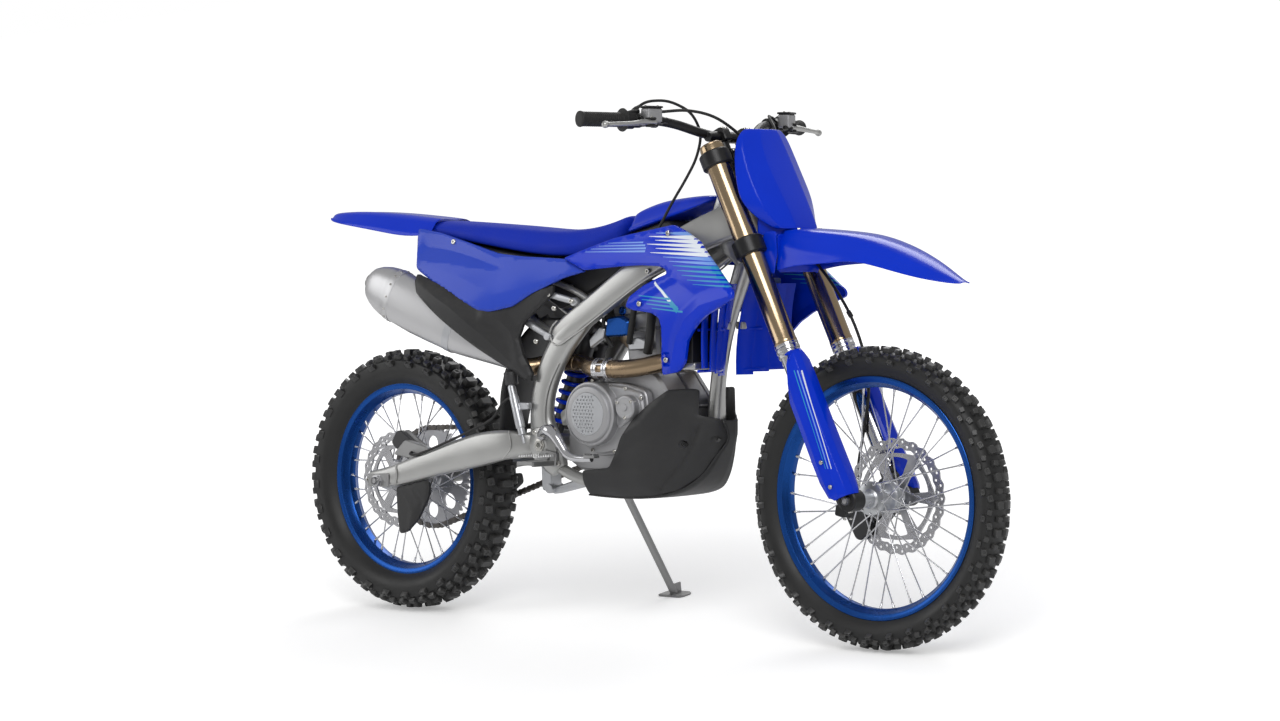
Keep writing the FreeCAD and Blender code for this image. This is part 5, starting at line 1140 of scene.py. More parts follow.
def make_airbox_panels():
    """The black covers under the side panels, with a folded ridge down to the frame."""
    outline = [(147, 853), (152, 835), (168, 806), (260, 745), (340, 694), (424, 640), (492, 603),
               (524, 592), (528, 612), (500, 655), (488, 700), (503, 737), (548, 774), (588, 806),
               (590, 828), (545, 820), (476, 786), (413, 772), (375, 775), (260, 822)]
    fold = [(160, 838), (300, 770), (395, 706), (452, 654), (512, 600)]
    edge = [(395, 752), (440, 742), (470, 715), (478, 690), (492, 640), (520, 604)]
    right = panel_shape(rounded(outline, 6), AIRBOX_SKIN,
                        ridges=[(fold, 7.0, 30), (edge, 5.0, 22)], roll=6.0)
    make_piece("airbox_covers", both(right), "black_plastic", "frame", ("airbox_panels",), smooth=24)


def make_front_fender():
    """The front mudguard: flat top, creased shoulders, side walls with a small flare, and a neck."""
    stations = [
        # x, top, shoulder y, shoulder z, wall y, wall z, edge y, edge z
        (1242, 962, 52, 957, 74, 925, 82, 862), (1294, 961, 58, 955, 80, 918, 87, 877),
        (1386, 955, 62, 948, 82, 908, 88, 881), (1450, 949, 62, 941, 82, 906, 89, 888),
        (1500, 938, 62, 929, 82, 900, 91, 883), (1560, 918, 58, 909, 78, 884, 87, 869),
        (1620, 890, 49, 882, 64, 863, 73, 853), (1665, 865, 33, 860, 46, 849, 54, 844),
        (1695, 849, 20, 846, 29, 842, 36, 839), (1708, 843, 14, 841.5, 20, 839.5, 25, 838),
        (1716, 840, 9, 839.5, 13, 838.6, 17, 838)]
    rows = []
    for x, top, shoulder, shoulder_z, wall, wall_z, edge, edge_z in stations:
        out, drop = wall - shoulder, shoulder_z - wall_z
        rows.append(strip_ring(x, [(0, top), (shoulder * 0.55, top - 0.5),
                                   (shoulder * 0.95, shoulder_z + 0.03 * drop),
                                   (shoulder + 0.07 * out, shoulder_z - 0.1 * drop),
                                   (shoulder + 0.3 * out, shoulder_z - 0.38 * drop), (wall, wall_z),
                                   (wall + 0.63 * (edge - wall), edge_z + 0.16 * (wall_z - edge_z)),
                                   (edge, edge_z)]))
    make_piece("front_mudguard", lofted(rows, closed=False), "blue_plastic", "fork", ("front_fender",),
               smooth=180, subdivisions=2, thickness=3.2)
    skirt = [(1212, 955), (1246, 957), (1248, 900), (1240, 856), (1212, 878), (1196, 906)]
    skirts = [side_plate(skirt, 8, side * 82 - 1.8, 3.6) for side in (-1, 1)]
    top = [(1196, 62), (1246, 58), (1246, -58), (1196, -62), (1150, -48), (1150, 48)]
    neck = prism(rounded(top, 10), (0, 0, 944), X_AXIS, Y_AXIS, 5)
    back = prism(rounded([(-78, 862), (78, 862), (80, 950), (-80, 950)], 10), (1243, 0, 0), Y_AXIS,
                 Z_AXIS, 3)
    curve = [(1250 - 60 * (abs(y) / 80) ** 2.3, y) for y in range(-80, 81, 10)]
    cowl = prism(curve + [(x - 3.5, y) for x, y in reversed(curve)], (0, 0, 946), X_AXIS, Y_AXIS, 40, 0.8)
    make_piece("mudguard_neck", skirts + [neck, back, cowl], "blue_plastic", "fork", smooth=30)
    screws = [bolt((1276, side * 40, 959), Z_AXIS, 5) for side in (-1, 1)]
    make_piece("mudguard_bolts", screws, "zinc_bolt", "fork")


def make_rear_fender():
    """The tail: a flat top between two creases, tapering to the back, with side walls below."""
    stations = [(-260, 1002, 22, 997, 30, 991, 34, 989), (-235, 1006, 34, 1001, 44, 990, 48, 982),
                (-150, 1009, 46, 1002, 60, 985, 66, 972), (-40, 1005, 54, 996, 70, 974, 77, 958),
                (60, 997, 60, 987, 77, 962, 84, 944), (150, 989, 64, 979, 80, 958, 86, 950)]
    rows = []
    for x, top, shoulder, shoulder_z, wall, wall_z, edge, edge_z in stations:
        rows.append(strip_ring(x, [(0, top - 3), (shoulder * 0.4, top - 1.5), (shoulder * 0.75, top),
                                   (shoulder, shoulder_z + 1), (shoulder + 3, shoulder_z - 3),
                                   (wall, wall_z), (edge - 1, edge_z + 5), (edge, edge_z)]))
    make_piece("tail_mudguard", lofted(rows, closed=False), "blue_plastic", "frame",
               ("rear_fender",), smooth=180, subdivisions=2, thickness=3.2)


SEAT_STATIONS = [
    # x, low, top, widest y, its z, shoulder y
    (96, 958, 985, 60, 966, 40), (150, 950, 987, 72, 962, 52), (230, 938, 983, 82, 952, 62),
    (316, 926, 978, 88, 944, 68), (400, 914, 973, 92, 934, 70), (480, 904, 967, 93, 924, 68),
    (553, 897, 962, 89, 918, 62), (625, 897, 964, 82, 920, 54), (690, 913, 976, 75, 936, 46),
    (740, 934, 992, 69, 956, 42), (764, 946, 1001, 66, 968, 40)]


def make_seat():
    """The padded seat: a crowned top with rounded shoulders, and tight sides down to the covers."""
    rings = []
    for x, low, top, wide, wide_z, shoulder in SEAT_STATIONS:
        crown = [(0, top), (shoulder * 0.5, top - 0.6), (shoulder * 0.9, top - 3.5),
                 (shoulder * 1.12, top - 10), (wide * 0.97, wide_z + 9), (wide, wide_z),
                 (wide - 1, low + 4), (wide - 6, low), (wide * 0.5, low), (0, low)]
        rings.append(bridge_ring(x, crown))
    seat = make_piece("seat_pad", lofted(rings), "seat_cover", "frame", ("seat",), smooth=180,
                      subdivisions=2)
    tray = [bridge_ring(x, [(0, low - 3), (wide + 14, low - 7), (wide + 15, low - 10), (wide + 10, low - 26),
                            (0, low - 28)]) for x, low, top, wide, wide_z, shoulder in SEAT_STATIONS[1:-2]]
    make_piece("seat_tray", lofted(tray), "black_plastic", "frame", smooth=60)


def make_tank_cover():
    """The cover ahead of the seat: a raised middle over lower side steps, ending in a point."""
    stations = [
        # x, low, top, ridge y, ridge z, step y, step z, wide y
        (766, 950, 1001, 40, 990, 58, 965, 70), (800, 958, 1014, 40, 1002, 60, 973, 73),
        (850, 972, 1030, 40, 1015, 62, 988, 74), (907, 988, 1037, 38, 1023, 58, 1002, 68),
        (950, 1003, 1041, 34, 1029, 50, 1013, 58), (985, 1017, 1043, 28, 1034, 38, 1024, 46),
        (1008, 1030, 1042, 18, 1038, 25, 1034, 30)]
    rings = []
    for x, low, top, ridge, ridge_z, step, step_z, wide in stations:
        rings.append(bridge_ring(x, [(0, top), (ridge * 0.6, top - 1), (ridge, ridge_z + 3),
                                     (ridge + 3, ridge_z - 2), (step, step_z + 2), (step + 4, step_z - 1),
                                     (wide, (step_z + low) / 2), (wide - 1, low + 2), (wide - 6, low),
                                     (0, low)]))
    make_piece("tank_cover", lofted(rings), "blue_plastic", "frame", smooth=180, subdivisions=2)
    outline = [(520, 790), (560, 768), (640, 802), (760, 862), (860, 907), (928, 958), (900, 983),
               (831, 964), (770, 948), (700, 915), (640, 897), (553, 895), (474, 901)]
    tank = side_plate(outline, 10, 66, 132, 5)
    make_piece("tank_shell", tank, "black_plastic", "frame", ("fuel_tank",), smooth=40)


def make_number_plate():
    """The plate ahead of the handlebar: a flat middle, angled sides and wings at the bottom."""
    rows = []
    stations = [
        # z, x at the middle, middle half-width, side half-width, its set-back, wing half-width, set-back
        (1196, 1155, 30, 58, 14, 62, 18), (1184, 1160, 38, 80, 18, 86, 26), (1150, 1173, 46, 94, 22, 101, 40),
        (1100, 1198, 48, 100, 26, 112, 56), (1060, 1220, 46, 102, 28, 118, 66),
        (1032, 1236, 44, 100, 30, 118, 74), (1005, 1251, 42, 92, 32, 108, 74),
        (980, 1264, 40, 78, 30, 90, 62), (962, 1273, 38, 64, 26, 74, 44)]
    for z, x, middle, side, back, wing, far_back in stations:
        half = [(0, 0), (middle * 0.92, 1.2), (middle, 2.2), (middle + 4, 4.0), (side - 3, back - 2),
                (side, back), (side + 2, back + 3), (wing, far_back)]
        row = [np.array([x - set_back, y, z]) for y, set_back in half]
        rows.append([p * np.array([1, -1, 1]) for p in reversed(row[1:])] + row)
    make_piece("number_board", lofted(rows[::-1], closed=False), "blue_plastic", "fork",
               ("number_plate",), smooth=180, subdivisions=2, thickness=3.0)
    arms = [swept([steering_point(869, 52, y), steering_point(872, 90, y), steering_point(878, 118, y * 0.9)],
                  6, 10) for y in (-30, 30)]
    make_piece("number_board_arms", arms, "black_rubber", "fork")


def make_skid_plate():
    """The moulded guard under the engine: folded facets, a rounded nose, sunk bolts and a groove."""
    outline = [(940, 584), (986, 587), (1000, 585), (1000, 524), (1040, 514), (1046, 470),
               (1024, 428), (994, 380), (950, 346), (880, 328), (809, 323), (682, 325),
               (678, 356), (678, 383), (720, 388), (766, 394), (784, 425), (806, 464), (840, 510), (890, 550)]
    skin = [(660, [(600, 118), (500, 120), (420, 120), (360, 112), (320, 92)]),
            (800, [(600, 118), (500, 122), (420, 123), (360, 117), (320, 98)]),
            (900, [(600, 114), (500, 118), (420, 118), (360, 108), (320, 88)]),
            (940, [(600, 103), (500, 108), (420, 106), (360, 92), (320, 74)]),
            (985, [(600, 80), (500, 84), (420, 76), (360, 56), (320, 44)]),
            (1015, [(600, 58), (500, 58), (420, 42), (360, 34), (320, 30)]),
            (1036, [(600, 34), (500, 32), (420, 22), (360, 18), (320, 16)]),
            (1050, [(600, 8), (500, 7), (420, 6), (360, 6), (320, 6)])]
    fold = [(806, 470), (866, 500), (925, 556), (944, 580)]
    groove = [(907, 349), (940, 380), (962, 407), (985, 448), (997, 500)]
    belly = [(690, 352), (800, 348), (880, 360), (950, 400), (1000, 452), (1036, 480)]
    holes = [round_hole(972, 456, 10, 16), round_hole(1030, 468, 8, 16)]
    right = panel_shape(rounded(outline, 8), skin,
                        ridges=[(fold, 7.0, 34), (belly, 5.0, 36), (groove, -7.0, 12)],
                        dents=[(holes[0], 12.0, 3.0), (holes[1], 8.0, 3.0)], wall=4.0, hem=4.5, roll=5,
                        drop=2.5, spacing=8.0)
    make_piece("engine_guard_sides", both(right), "black_plastic", "frame", ("skid_plate",), smooth=24)
    path = [(680, 326), (740, 324), (809, 324), (880, 329), (950, 347), (994, 381), (1024, 429), (1044, 470),
            (1038, 512)]
    halves = skin_offset(skin, np.array([p[0] for p in path]), np.array([p[1] for p in path])) - 1.0
    path = smooth_points([(x, z, max(half, 5.0)) for (x, z), half in zip(path, halves)], 5)
    rows = [[np.array([x, -half, z]), np.array([x, -half * 0.55, z - 1]), np.array([x, 0, z - 1.5]),
             np.array([x, half * 0.55, z - 1]), np.array([x, half, z])] for x, z, half in path]
    make_piece("engine_guard_belly", lofted(rows, closed=False), "black_plastic", "frame", smooth=60,
               thickness=-4.0)
    bolts = [cap_screw((x, -y, z), (0.6, -0.8, 0), 6) for x, z, y in ((968, 456, 84), (1024, 468, 34))]
    make_piece("engine_guard_bolts", both(*bolts), "black_alloy", "frame")


def make_radiators():
    """Both radiators with their finned cores, tanks, and the curved slats ahead of them."""
    tanks, cores = [], []
    for side in (-1, 1):
        back = (1023, side * 118, 0)
        cores.append(prism([(-44, 640), (44, 640), (44, 840), (-44, 840)], back, Y_AXIS, Z_AXIS, 36, 1.5))
        for low, high in ((634, 652), (828, 846)):
            tank = rounded([(-46, low), (46, low), (46, high), (-46, high)], 6)
            tanks.append(prism(tank, back, Y_AXIS, Z_AXIS, 44, 3))
    make_piece("radiator_cores", cores, "radiator_core", "frame", ("radiators",), smooth=30)
    make_piece("radiator_tanks", tanks, "frame_alloy", "frame", smooth=40)
    blades = []
    for side in (-1, 1):
        for k, (behind, slant) in enumerate(((1034, 0.17), (1052, 0.12), (1066, 0.07), (1072, 0.03))):
            inner, foot = 18 + k * 36, 618 + k * 7
            rows = []
            for share in np.linspace(0, 1, 8):
                z = foot + (834 - foot) * share
                x = behind + (z - 620) * slant + 8 * (2 * share - 1) ** 2
                y = inner + 5 * (2 * share - 1) ** 2
                edge = [(x - 2, y), (x, y - 1.5), (x + 10, y + 20), (x + 18, y + 41), (x + 15, y + 42),
                        (x + 7, y + 21)]
                rows.append([np.array([a, side * b, z]) for a, b in edge])
            verts, faces = lofted(rows)
            blades.append((verts, faces if side > 0 else [f[::-1] for f in faces]))
        for z in (632, 728, 824):
            x = 1040 + (z - 620) * 0.12
            route = [(x, side * 30, z), (x + 22, side * 66, z), (1072, side * 90, z), (1080, side * 166, z)]
            blades.append(swept(route, 3.5, 8))
    make_piece("radiator_louvres", blades, "blue_plastic", "frame", smooth=50)


make_shrouds()
make_side_panels()
make_airbox_panels()
make_front_fender()
make_rear_fender()
make_seat()
make_tank_cover()
make_number_plate()
make_skid_plate()
make_radiators()


# Steering: everything that turns with the handlebar.

LEGS = (-FORK_SPREAD, FORK_SPREAD)
BAR_CENTRE = steering_point(935, 18)


def round_corners(points, share=0.45, steps=7):
    """Straight runs joined by tangent arcs, as points along the line."""
    points = [np.asarray(p, dtype=float) for p in points]
    line = [points[0]]
    for before, corner, after in zip(points[:-2], points[1:-1], points[2:]):
        back, ahead = unit(before - corner), unit(after - corner)
        reach = share * min(np.linalg.norm(before - corner), np.linalg.norm(after - corner))
        start, end = corner + back * reach, corner + ahead * reach
        for k in range(steps + 1):
            t = k / steps
            line.append(start * (1 - t) ** 2 + corner * 2 * t * (1 - t) + end * t ** 2)
    return line + [points[-1]]


def arc_points(centre, radius, first, last, steps):
    """Flat points on an arc, by angles in degrees."""
    angles = [math.radians(first + (last - first) * k / steps) for k in range(steps + 1)]
    return [(centre[0] + radius * math.cos(a), centre[1] + radius * math.sin(a)) for a in angles]


def make_fork_legs():
    """Gold outer tubes with ringed ends and caps, over bright inner legs with cast feet."""
    gold, rings, caps, legs, feet, bolts = [], [], [], [], [], []
    for y in LEGS:
        at = fork_point(0, 0, y)
        profile = [(24.2, 396), (27.4, 396), (28.0, 398), (28.0, 404), (27.2, 406), (27.2, 600),
                   (27.4, 618), (29.0, 640), (29.0, 690), (28.4, 694), (28.4, 838), (29.0, 842),
                   (29.0, 900), (28.0, 903), (20, 904)]
        gold.append(turned(at, UP_FORK, profile, 48))
        profile = [(24.2, 366), (27.0, 366), (27.6, 368), (27.6, 374), (26.2, 375), (26.2, 378),
                   (28.2, 379), (28.6, 381), (28.6, 387), (27.4, 389), (27.4, 391), (28.4, 392),
                   (28.4, 396), (24.2, 396)]
        rings.append(turned(at, UP_FORK, profile, 48))
        profile = [(27.6, 903), (27.6, 906), (25.5, 908), (17, 908.5), (17, 906), (12, 906), (12, 911),
                   (10.5, 912.5), (4, 912.5), (4, 910), (0.01, 910)]
        caps.append(turned(at, UP_FORK, profile, 40))
        legs.append(turned(at, UP_FORK, [(24, 60), (24, 366)], 40))
        profile = [(0.01, -16), (14, -16), (18, -12), (20, -4), (21, 14), (21, 44), (24.5, 58), (26.5, 62),
                   (26.5, 74), (24.2, 77)]
        feet.append(turned(at, UP_FORK, profile, 32))
        half = 21.0
        profile = [(10.5, -half), (22, -half), (25, -half + 3), (25, half - 3), (22, half), (10.5, half)]
        feet.append(turned(FRONT_AXLE + Y_AXIS * y, Y_AXIS, profile, 40, closed=True))
        split = [(-34, -8), (-6, -14), (2, 10), (-30, 16)]
        feet.append(prism(rounded([(a - 4, b - 26) for a, b in split], 5),
                          FRONT_AXLE + Y_AXIS * (y + 17), X_AXIS, Z_AXIS, 34, 2))
        for step in (-8, 8):
            bolts.append(cap_screw(FRONT_AXLE + np.array([-12.0 + step * 0.3, y + step, -41.0]),
                                   (-0.2, 0, -1), 4.2))
        bolts.append(bolt(fork_point(-16, 0, y), -UP_FORK, 8))
        if y > 0:
            lug = [(-72, -58), (-50, -72), (-18, -36), (-12, 10), (-44, 12)]
            feet.append(prism(rounded(lug, 7), FRONT_AXLE + Y_AXIS * (y - 7), X_AXIS, Z_AXIS, 14, 2))
    make_piece("gold_fork_tubes", gold, "fork_gold", "fork", ("fork_tubes",), smooth=40)
    make_piece("fork_seal_rings", rings, "slider_steel", "fork", smooth=30)
    make_piece("fork_top_caps", caps, "bronze_pipe", "fork", smooth=30)
    make_piece("fork_inner_legs", legs, "slider_steel", "fork", ("fork_sliders",), smooth=40)
    make_piece("fork_feet", feet, "black_alloy", "fork", smooth=35)
    make_piece("fork_foot_bolts", bolts, "zinc_bolt", "fork")


def make_fork_guards():
    """The folded shields ahead of and outside the inner legs."""
    stations = [
        # station, how far ahead, how far out, rear edge, inner edge
        (8, 43, 44, 2, -4), (20, 45, 46, -16, -12), (60, 44, 46, -24, -18), (110, 42, 44, -26, -20),
        (180, 41, 42, -26, -20), (262, 41, 41, -26, -20), (306, 41, 41, -12, -20), (342, 41, 40, 8, -18),
        (362, 39, 36, 20, -10), (371, 36, 30, 26, 0)]
    shapes = []
    for y in LEGS:
        out = math.copysign(1, y)
        rows = []
        for station, ahead, wide, rear, inner in stations:
            section = [(ahead - 14, inner - 4), (ahead - 4, inner + 4), (ahead, 2), (ahead - 1, wide * 0.42),
                       (ahead - 9, wide * 0.80), (ahead * 0.42, wide), (max(rear * 0.3, rear), wide + 0.5),
                       (rear + 2, wide * 0.86), (rear, wide * 0.66)]
            rows.append([fork_point(station, a, y + out * o) for a, o in section])
        verts, faces = lofted(rows, closed=False)
        shapes.append((verts, faces if out > 0 else [f[::-1] for f in faces]))
    make_piece("fork_leg_guards", shapes, "guard_blue", "fork", ("fork_guards",), smooth=20,
               thickness=3.0, bevel=0.6)
    profile = [(24.2, 44), (36, 44), (37, 46), (37, 54), (36, 56), (24.2, 56)]
    collars = [turned(fork_point(0, 0, y), UP_FORK, profile, 32, closed=True) for y in LEGS]
    make_piece("guard_collars", collars, "black_plastic", "fork")
    screws = [cap_screw(fork_point(s, 8, y + math.copysign(46.0, y)), Y_AXIS * y, 5)
              for y in LEGS for s in (40, 100)]
    make_piece("guard_screws", screws, "zinc_bolt", "fork")


def clamp_outline(ring, front, boss):
    """Half of a triple clamp's plan, mirrored: (ahead, y) from the tubes' line."""
    half = [(front, 0), (front, 44), (front + 3, 66)]
    half += arc_points((0, FORK_SPREAD), ring, -42, 222, 14)
    half += [(-CLAMP_OFFSET - 4, 52), (-CLAMP_OFFSET - boss * 0.8, boss * 0.7),
             (-CLAMP_OFFSET - boss, boss * 0.3)]
    return half + [(a, -y) for a, y in reversed(half[1:])]


def make_triple_clamps():
    """Upper and lower clamps with their pinch bolts and stem nut."""
    black, bolts = [], []
    for station, height, ring, front, boss in ((643, 42, 38, 16, 27), (869, 38, 37, 14, 25)):
        outline = clamp_outline(ring, front, boss)
        low = fork_point(station - height / 2, 0, 0)
        black.append(prism(outline, low, AHEAD_FORK, Y_AXIS, height, 3.5))
        for y in LEGS:
            side = math.copysign(1, y)
            slot_at = fork_point(station - height / 2 + 2, front + 9, y - side * 33)
            black.append(prism([(0, -7), (9, -7), (9, 7), (0, 7)], slot_at, AHEAD_FORK, Y_AXIS,
                               height - 4, 2))
            for step in (-10, 10):
                bolts.append(cap_screw(fork_point(station + step, front + 18, y - side * 33),
                                       AHEAD_FORK, 5.0))
    make_piece("fork_clamps", black, "black_alloy", "fork", ("triple_clamps",), smooth=35)
    profile = [(16, 886), (16, 889), (14, 890), (14, 898), (12.5, 900), (7, 900), (7, 896), (0.01, 896)]
    nut = turned(steering_point(0), UP_FORK, profile, 6)
    washer = turned(steering_point(0), UP_FORK, [(19, 887), (19, 889.5), (12, 889.6)], 32)
    make_piece("stem_nut", [nut, washer] + bolts, "zinc_bolt", "fork")
    profile = [(15, 660), (17.4, 670), (17.4, 690), (15, 692), (15, 826), (17.4, 828), (17.4, 842), (15, 852)]
    stem = turned(steering_point(0), UP_FORK, profile, 28)
    make_piece("steering_stem", stem, "axle_steel", "fork")


def grip_line(side):
    """The bar's end on one side, and the way along the grip towards the middle."""
    sweep = math.radians(16)
    end = BAR_CENTRE + np.array([-118.7, side * 410.0, 36.0])
    return end, np.array([math.sin(sweep), -side * math.cos(sweep), 0.0])


def make_handlebar():
    """The tapered bar, its clamps on two posts, and its rubber grips."""
    route = []
    for side in (-1, 1):
        end, along = grip_line(side)
        half = [end, end + along * 240, BAR_CENTRE + Y_AXIS * side * 74]
        route += half if side < 0 else half[::-1]
    line = round_corners(route, 0.4)
    bar = swept(line, 11, 24, smooth=False)
    swell = turned(BAR_CENTRE, Y_AXIS, [(11.2, -92), (14, -66), (14, 66), (11.2, 92)], 32)
    make_piece("tapered_handlebar", [bar, swell], "black_alloy", "fork", ("handlebar",),
               smooth=40)
    posts, bolts = [], []
    for y in (-42, 42):
        foot = steering_point(888, 18, y)
        top = BAR_CENTRE + Y_AXIS * y
        posts.append(turned(foot, unit(top - foot), [(17, 0), (17, 3), (13, 8), (13, 30)], 28))
        clamp = rounded([(-22, -16), (22, -16), (22, 14), (12, 20), (-12, 20), (-22, 14)], 5)
        posts.append(prism(clamp, top + Y_AXIS * 13, AHEAD_FORK, UP_FORK, 26, 2.5))
        for ahead in (-17, 17):
            for step in (-7, 7):
                bolts.append(cap_screw(top + AHEAD_FORK * ahead + UP_FORK * 15 + Y_AXIS * step, UP_FORK,
                                       3.8))
    make_piece("bar_clamps", posts, "black_alloy", "fork", smooth=35)
    make_piece("bar_clamp_bolts", bolts, "zinc_bolt", "fork")
    grips = []
    for side in (-1, 1):
        end, along = grip_line(side)
        profile = [(6, -1.5), (15, -1.5), (18.5, 0.5), (19, 3), (17.6, 5), (17.6, 9)]
        for k in range(17):
            start = 11 + k * 5.6
            profile += [(16.1, start), (16.1, start + 1.4), (17.2, start + 2.2), (17.2, start + 4.6)]
        profile += [(17.0, 110), (18, 113), (27, 117), (27.4, 119), (26, 121), (11.2, 121.6)]
        grips.append(turned(end, along, profile, 32))
    make_piece("rubber_grips", grips, "black_rubber", "fork", ("grips",), smooth=30)


def make_hand_controls():
    """Perches, levers, the throttle housing and a fluid cup on each side."""
    black, silver, bolts, grey = [], [], [], []
    for side, housing in ((-1, 24), (1, 16)):
        end, along = grip_line(side)
        ahead = unit(np.cross(Z_AXIS, along)) * side
        start = end + along * 122.3
        if side < 0:
            black.append(turned(start, along, [(12, 0), (20, 0), (21, 2), (21, 22), (19, 24), (12, 24)], 32))
            profile = [(0.01, -12), (7, -12), (8, -9), (8, 10), (5, 16), (4.5, 26)]
            black.append(turned(start + along * 12 + ahead * 6 + np.array([0, 0, 14.0]),
                                unit(along + np.array([0, 0, 0.3])), profile, 20))
        else:
            black.append(turned(start, along, [(12, 0), (15, 0), (16, 2), (16, 14), (14, 16), (12, 16)], 32))
        at = start + along * (housing + 20)
        profile = [(11.2, -20), (16.5, -20), (18, -17), (18, -2), (16, 2), (15, 12), (11.2, 12)]
        black.append(turned(at, along, profile, 32))
        pivot = at + ahead * 46 - np.array([0, 0, 6.0])
        body = [at + ahead * 8, at + ahead * 24 - np.array([0, 0, 2.0]), pivot + ahead * 2]
        black.append(swept(body, [13, 11, 10], 16, 5))
        profile = [(0.01, 0), (12, 0), (13, 1), (13, 3), (12, 4), (0.01, 4)]
        for z in (-11, 7):
            black.append(turned(pivot + Z_AXIS * z, Z_AXIS, profile, 24))
        bolts.append(bolt(pivot + np.array([0, 0, 11.0]), Z_AXIS, 5))
        bend = pivot - along * 60 + ahead * 16 - np.array([0, 0, 4.0])
        tip = end + along * 30 + ahead * 62 - np.array([0, 0, 14.0])
        path = [pivot + along * 12, pivot - along * 22 + ahead * 6, bend, (bend + tip) / 2 + ahead * 1.5,
                tip - unit(tip - bend) * 8, tip]
        silver.append(swept(path, [7.5, 6.8, 5.6, 5.2, 5.6, 8.3], 16, 6))
        profile = [(5, -8), (7.5, -6), (8.5, 0), (7.2, 4.4), (4, 7.4), (0.01, 8.4)]
        ball = turned(tip, unit(tip - bend), profile, 20)
        silver.append(ball)
        bolts.append(cap_screw(at + along * 4 - ahead * 17, -ahead, 4))
        cup = at + along * 10 + ahead * 34
        width = unit(np.cross(Z_AXIS, ahead))
        outline = rounded([(-16, -21), (16, -21), (16, 21), (-16, 21)], 6)
        grey.append(prism(outline, cup - np.array([0, 0, 6.0]), ahead, width, 33, 3))
        lid = rounded([(-18, -23), (18, -23), (18, 23), (-18, 23)], 7)
        black.append(prism(lid, cup + np.array([0, 0, 27.0]), ahead, width, 5, 1.5))
        for a in (-17, 17):
            bolts.append(cap_screw(cup + width * a + np.array([0, 0, 31.5]), Z_AXIS, 2.8))
        if side < 0:
            profile = [(0.01, -24), (8, -24), (9, -22), (9, 40), (7, 43), (7, 52), (0.01, 52)]
            black.append(turned(at + along * 6 + ahead * 26, along, profile, 20))
        else:
            profile = [(0.01, -14), (9, -14), (10, -12), (10, 6), (6, 9), (6, 24), (4, 28)]
            black.append(turned(pivot + along * 12 - ahead * 6, along, profile, 20))
    make_piece("lever_perches", black, "black_alloy", "fork", ("hand_controls",), smooth=35)
    make_piece("hand_levers", silver, "frame_alloy", "fork", smooth=60)
    make_piece("fluid_cups", grey, "engine_alloy", "fork", smooth=35)
    make_piece("control_bolts", bolts, "zinc_bolt", "fork")
    stop = grip_line(-1)[0] + grip_line(-1)[1] * 205
    profile = [(11.2, -7), (16, -7), (17, -5), (17, 5), (16, 7), (11.2, 7)]
    button = turned(stop, grip_line(-1)[1], profile, 24)
    make_piece("switch_clamps", [button, mirrored(button)], "black_plastic", "fork", smooth=35)


def make_cables():
    """The throttle and clutch cables, each with a boot at its grip."""
    right, left = grip_line(-1)[0], grip_line(1)[0]
    throttle = list(right + np.array([(41.95, 142, 22), (39.95, 188, 45)]))
    shifts = np.array([(-62.8, -160, 85), (-38.8, -104, 59), (-36.8, -68, 9), (-60.8, -58, -49),
                       (-94.8, -60, -101), (-126.8, -72, -155), (-150.8, -88, -211)])
    throttle += list(BAR_CENTRE + shifts)
    clutch = list(left + np.array([(47.95, -166.4, 15.23), (71.95, -214, 23)]))
    shifts = np.array([(-6.8, 150, 49), (47.2, 104, 23), (83.2, 64, -27), (87.2, 58, -87),
                       (59.2, 62, -147), (9.2, 88, -197), (-42.8, 108, -239), (-106.8, 105, -269)])
    clutch += list(BAR_CENTRE + shifts)
    shapes = [swept(round_corners(throttle), 3.4, 14, smooth=False),
              swept(round_corners(clutch), 3.4, 14, smooth=False)]
    for line in (throttle, clutch):
        along = unit(line[1] - line[0])
        profile = [(3.5, -6), (5.2, -6), (5.6, 0), (5.6, 12), (4.6, 16), (3.5, 26)]
        shapes.append(turned(line[0], along, profile, 16))
    cables = make_piece("control_cable_pair", shapes, "black_rubber", None, ("control_cables",),
                        smooth=50)
    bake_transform(cables)


HOSE_ROUTE = [(-118, 80, -36), (-124, 83, 58), (-102, 76, 152), (-80, 64, 243), (-96, 64, 332),
              (-135, 64, 417), (-192, 63, 494), (-252, 66, 557), (-280, 60, 637), (-318, 44, 712),
              (-354, 12, 782), (-382, -40, 836), (-406, -100, 874), (-434, -164, 888),
              (-466.4, -225.9, 884)]


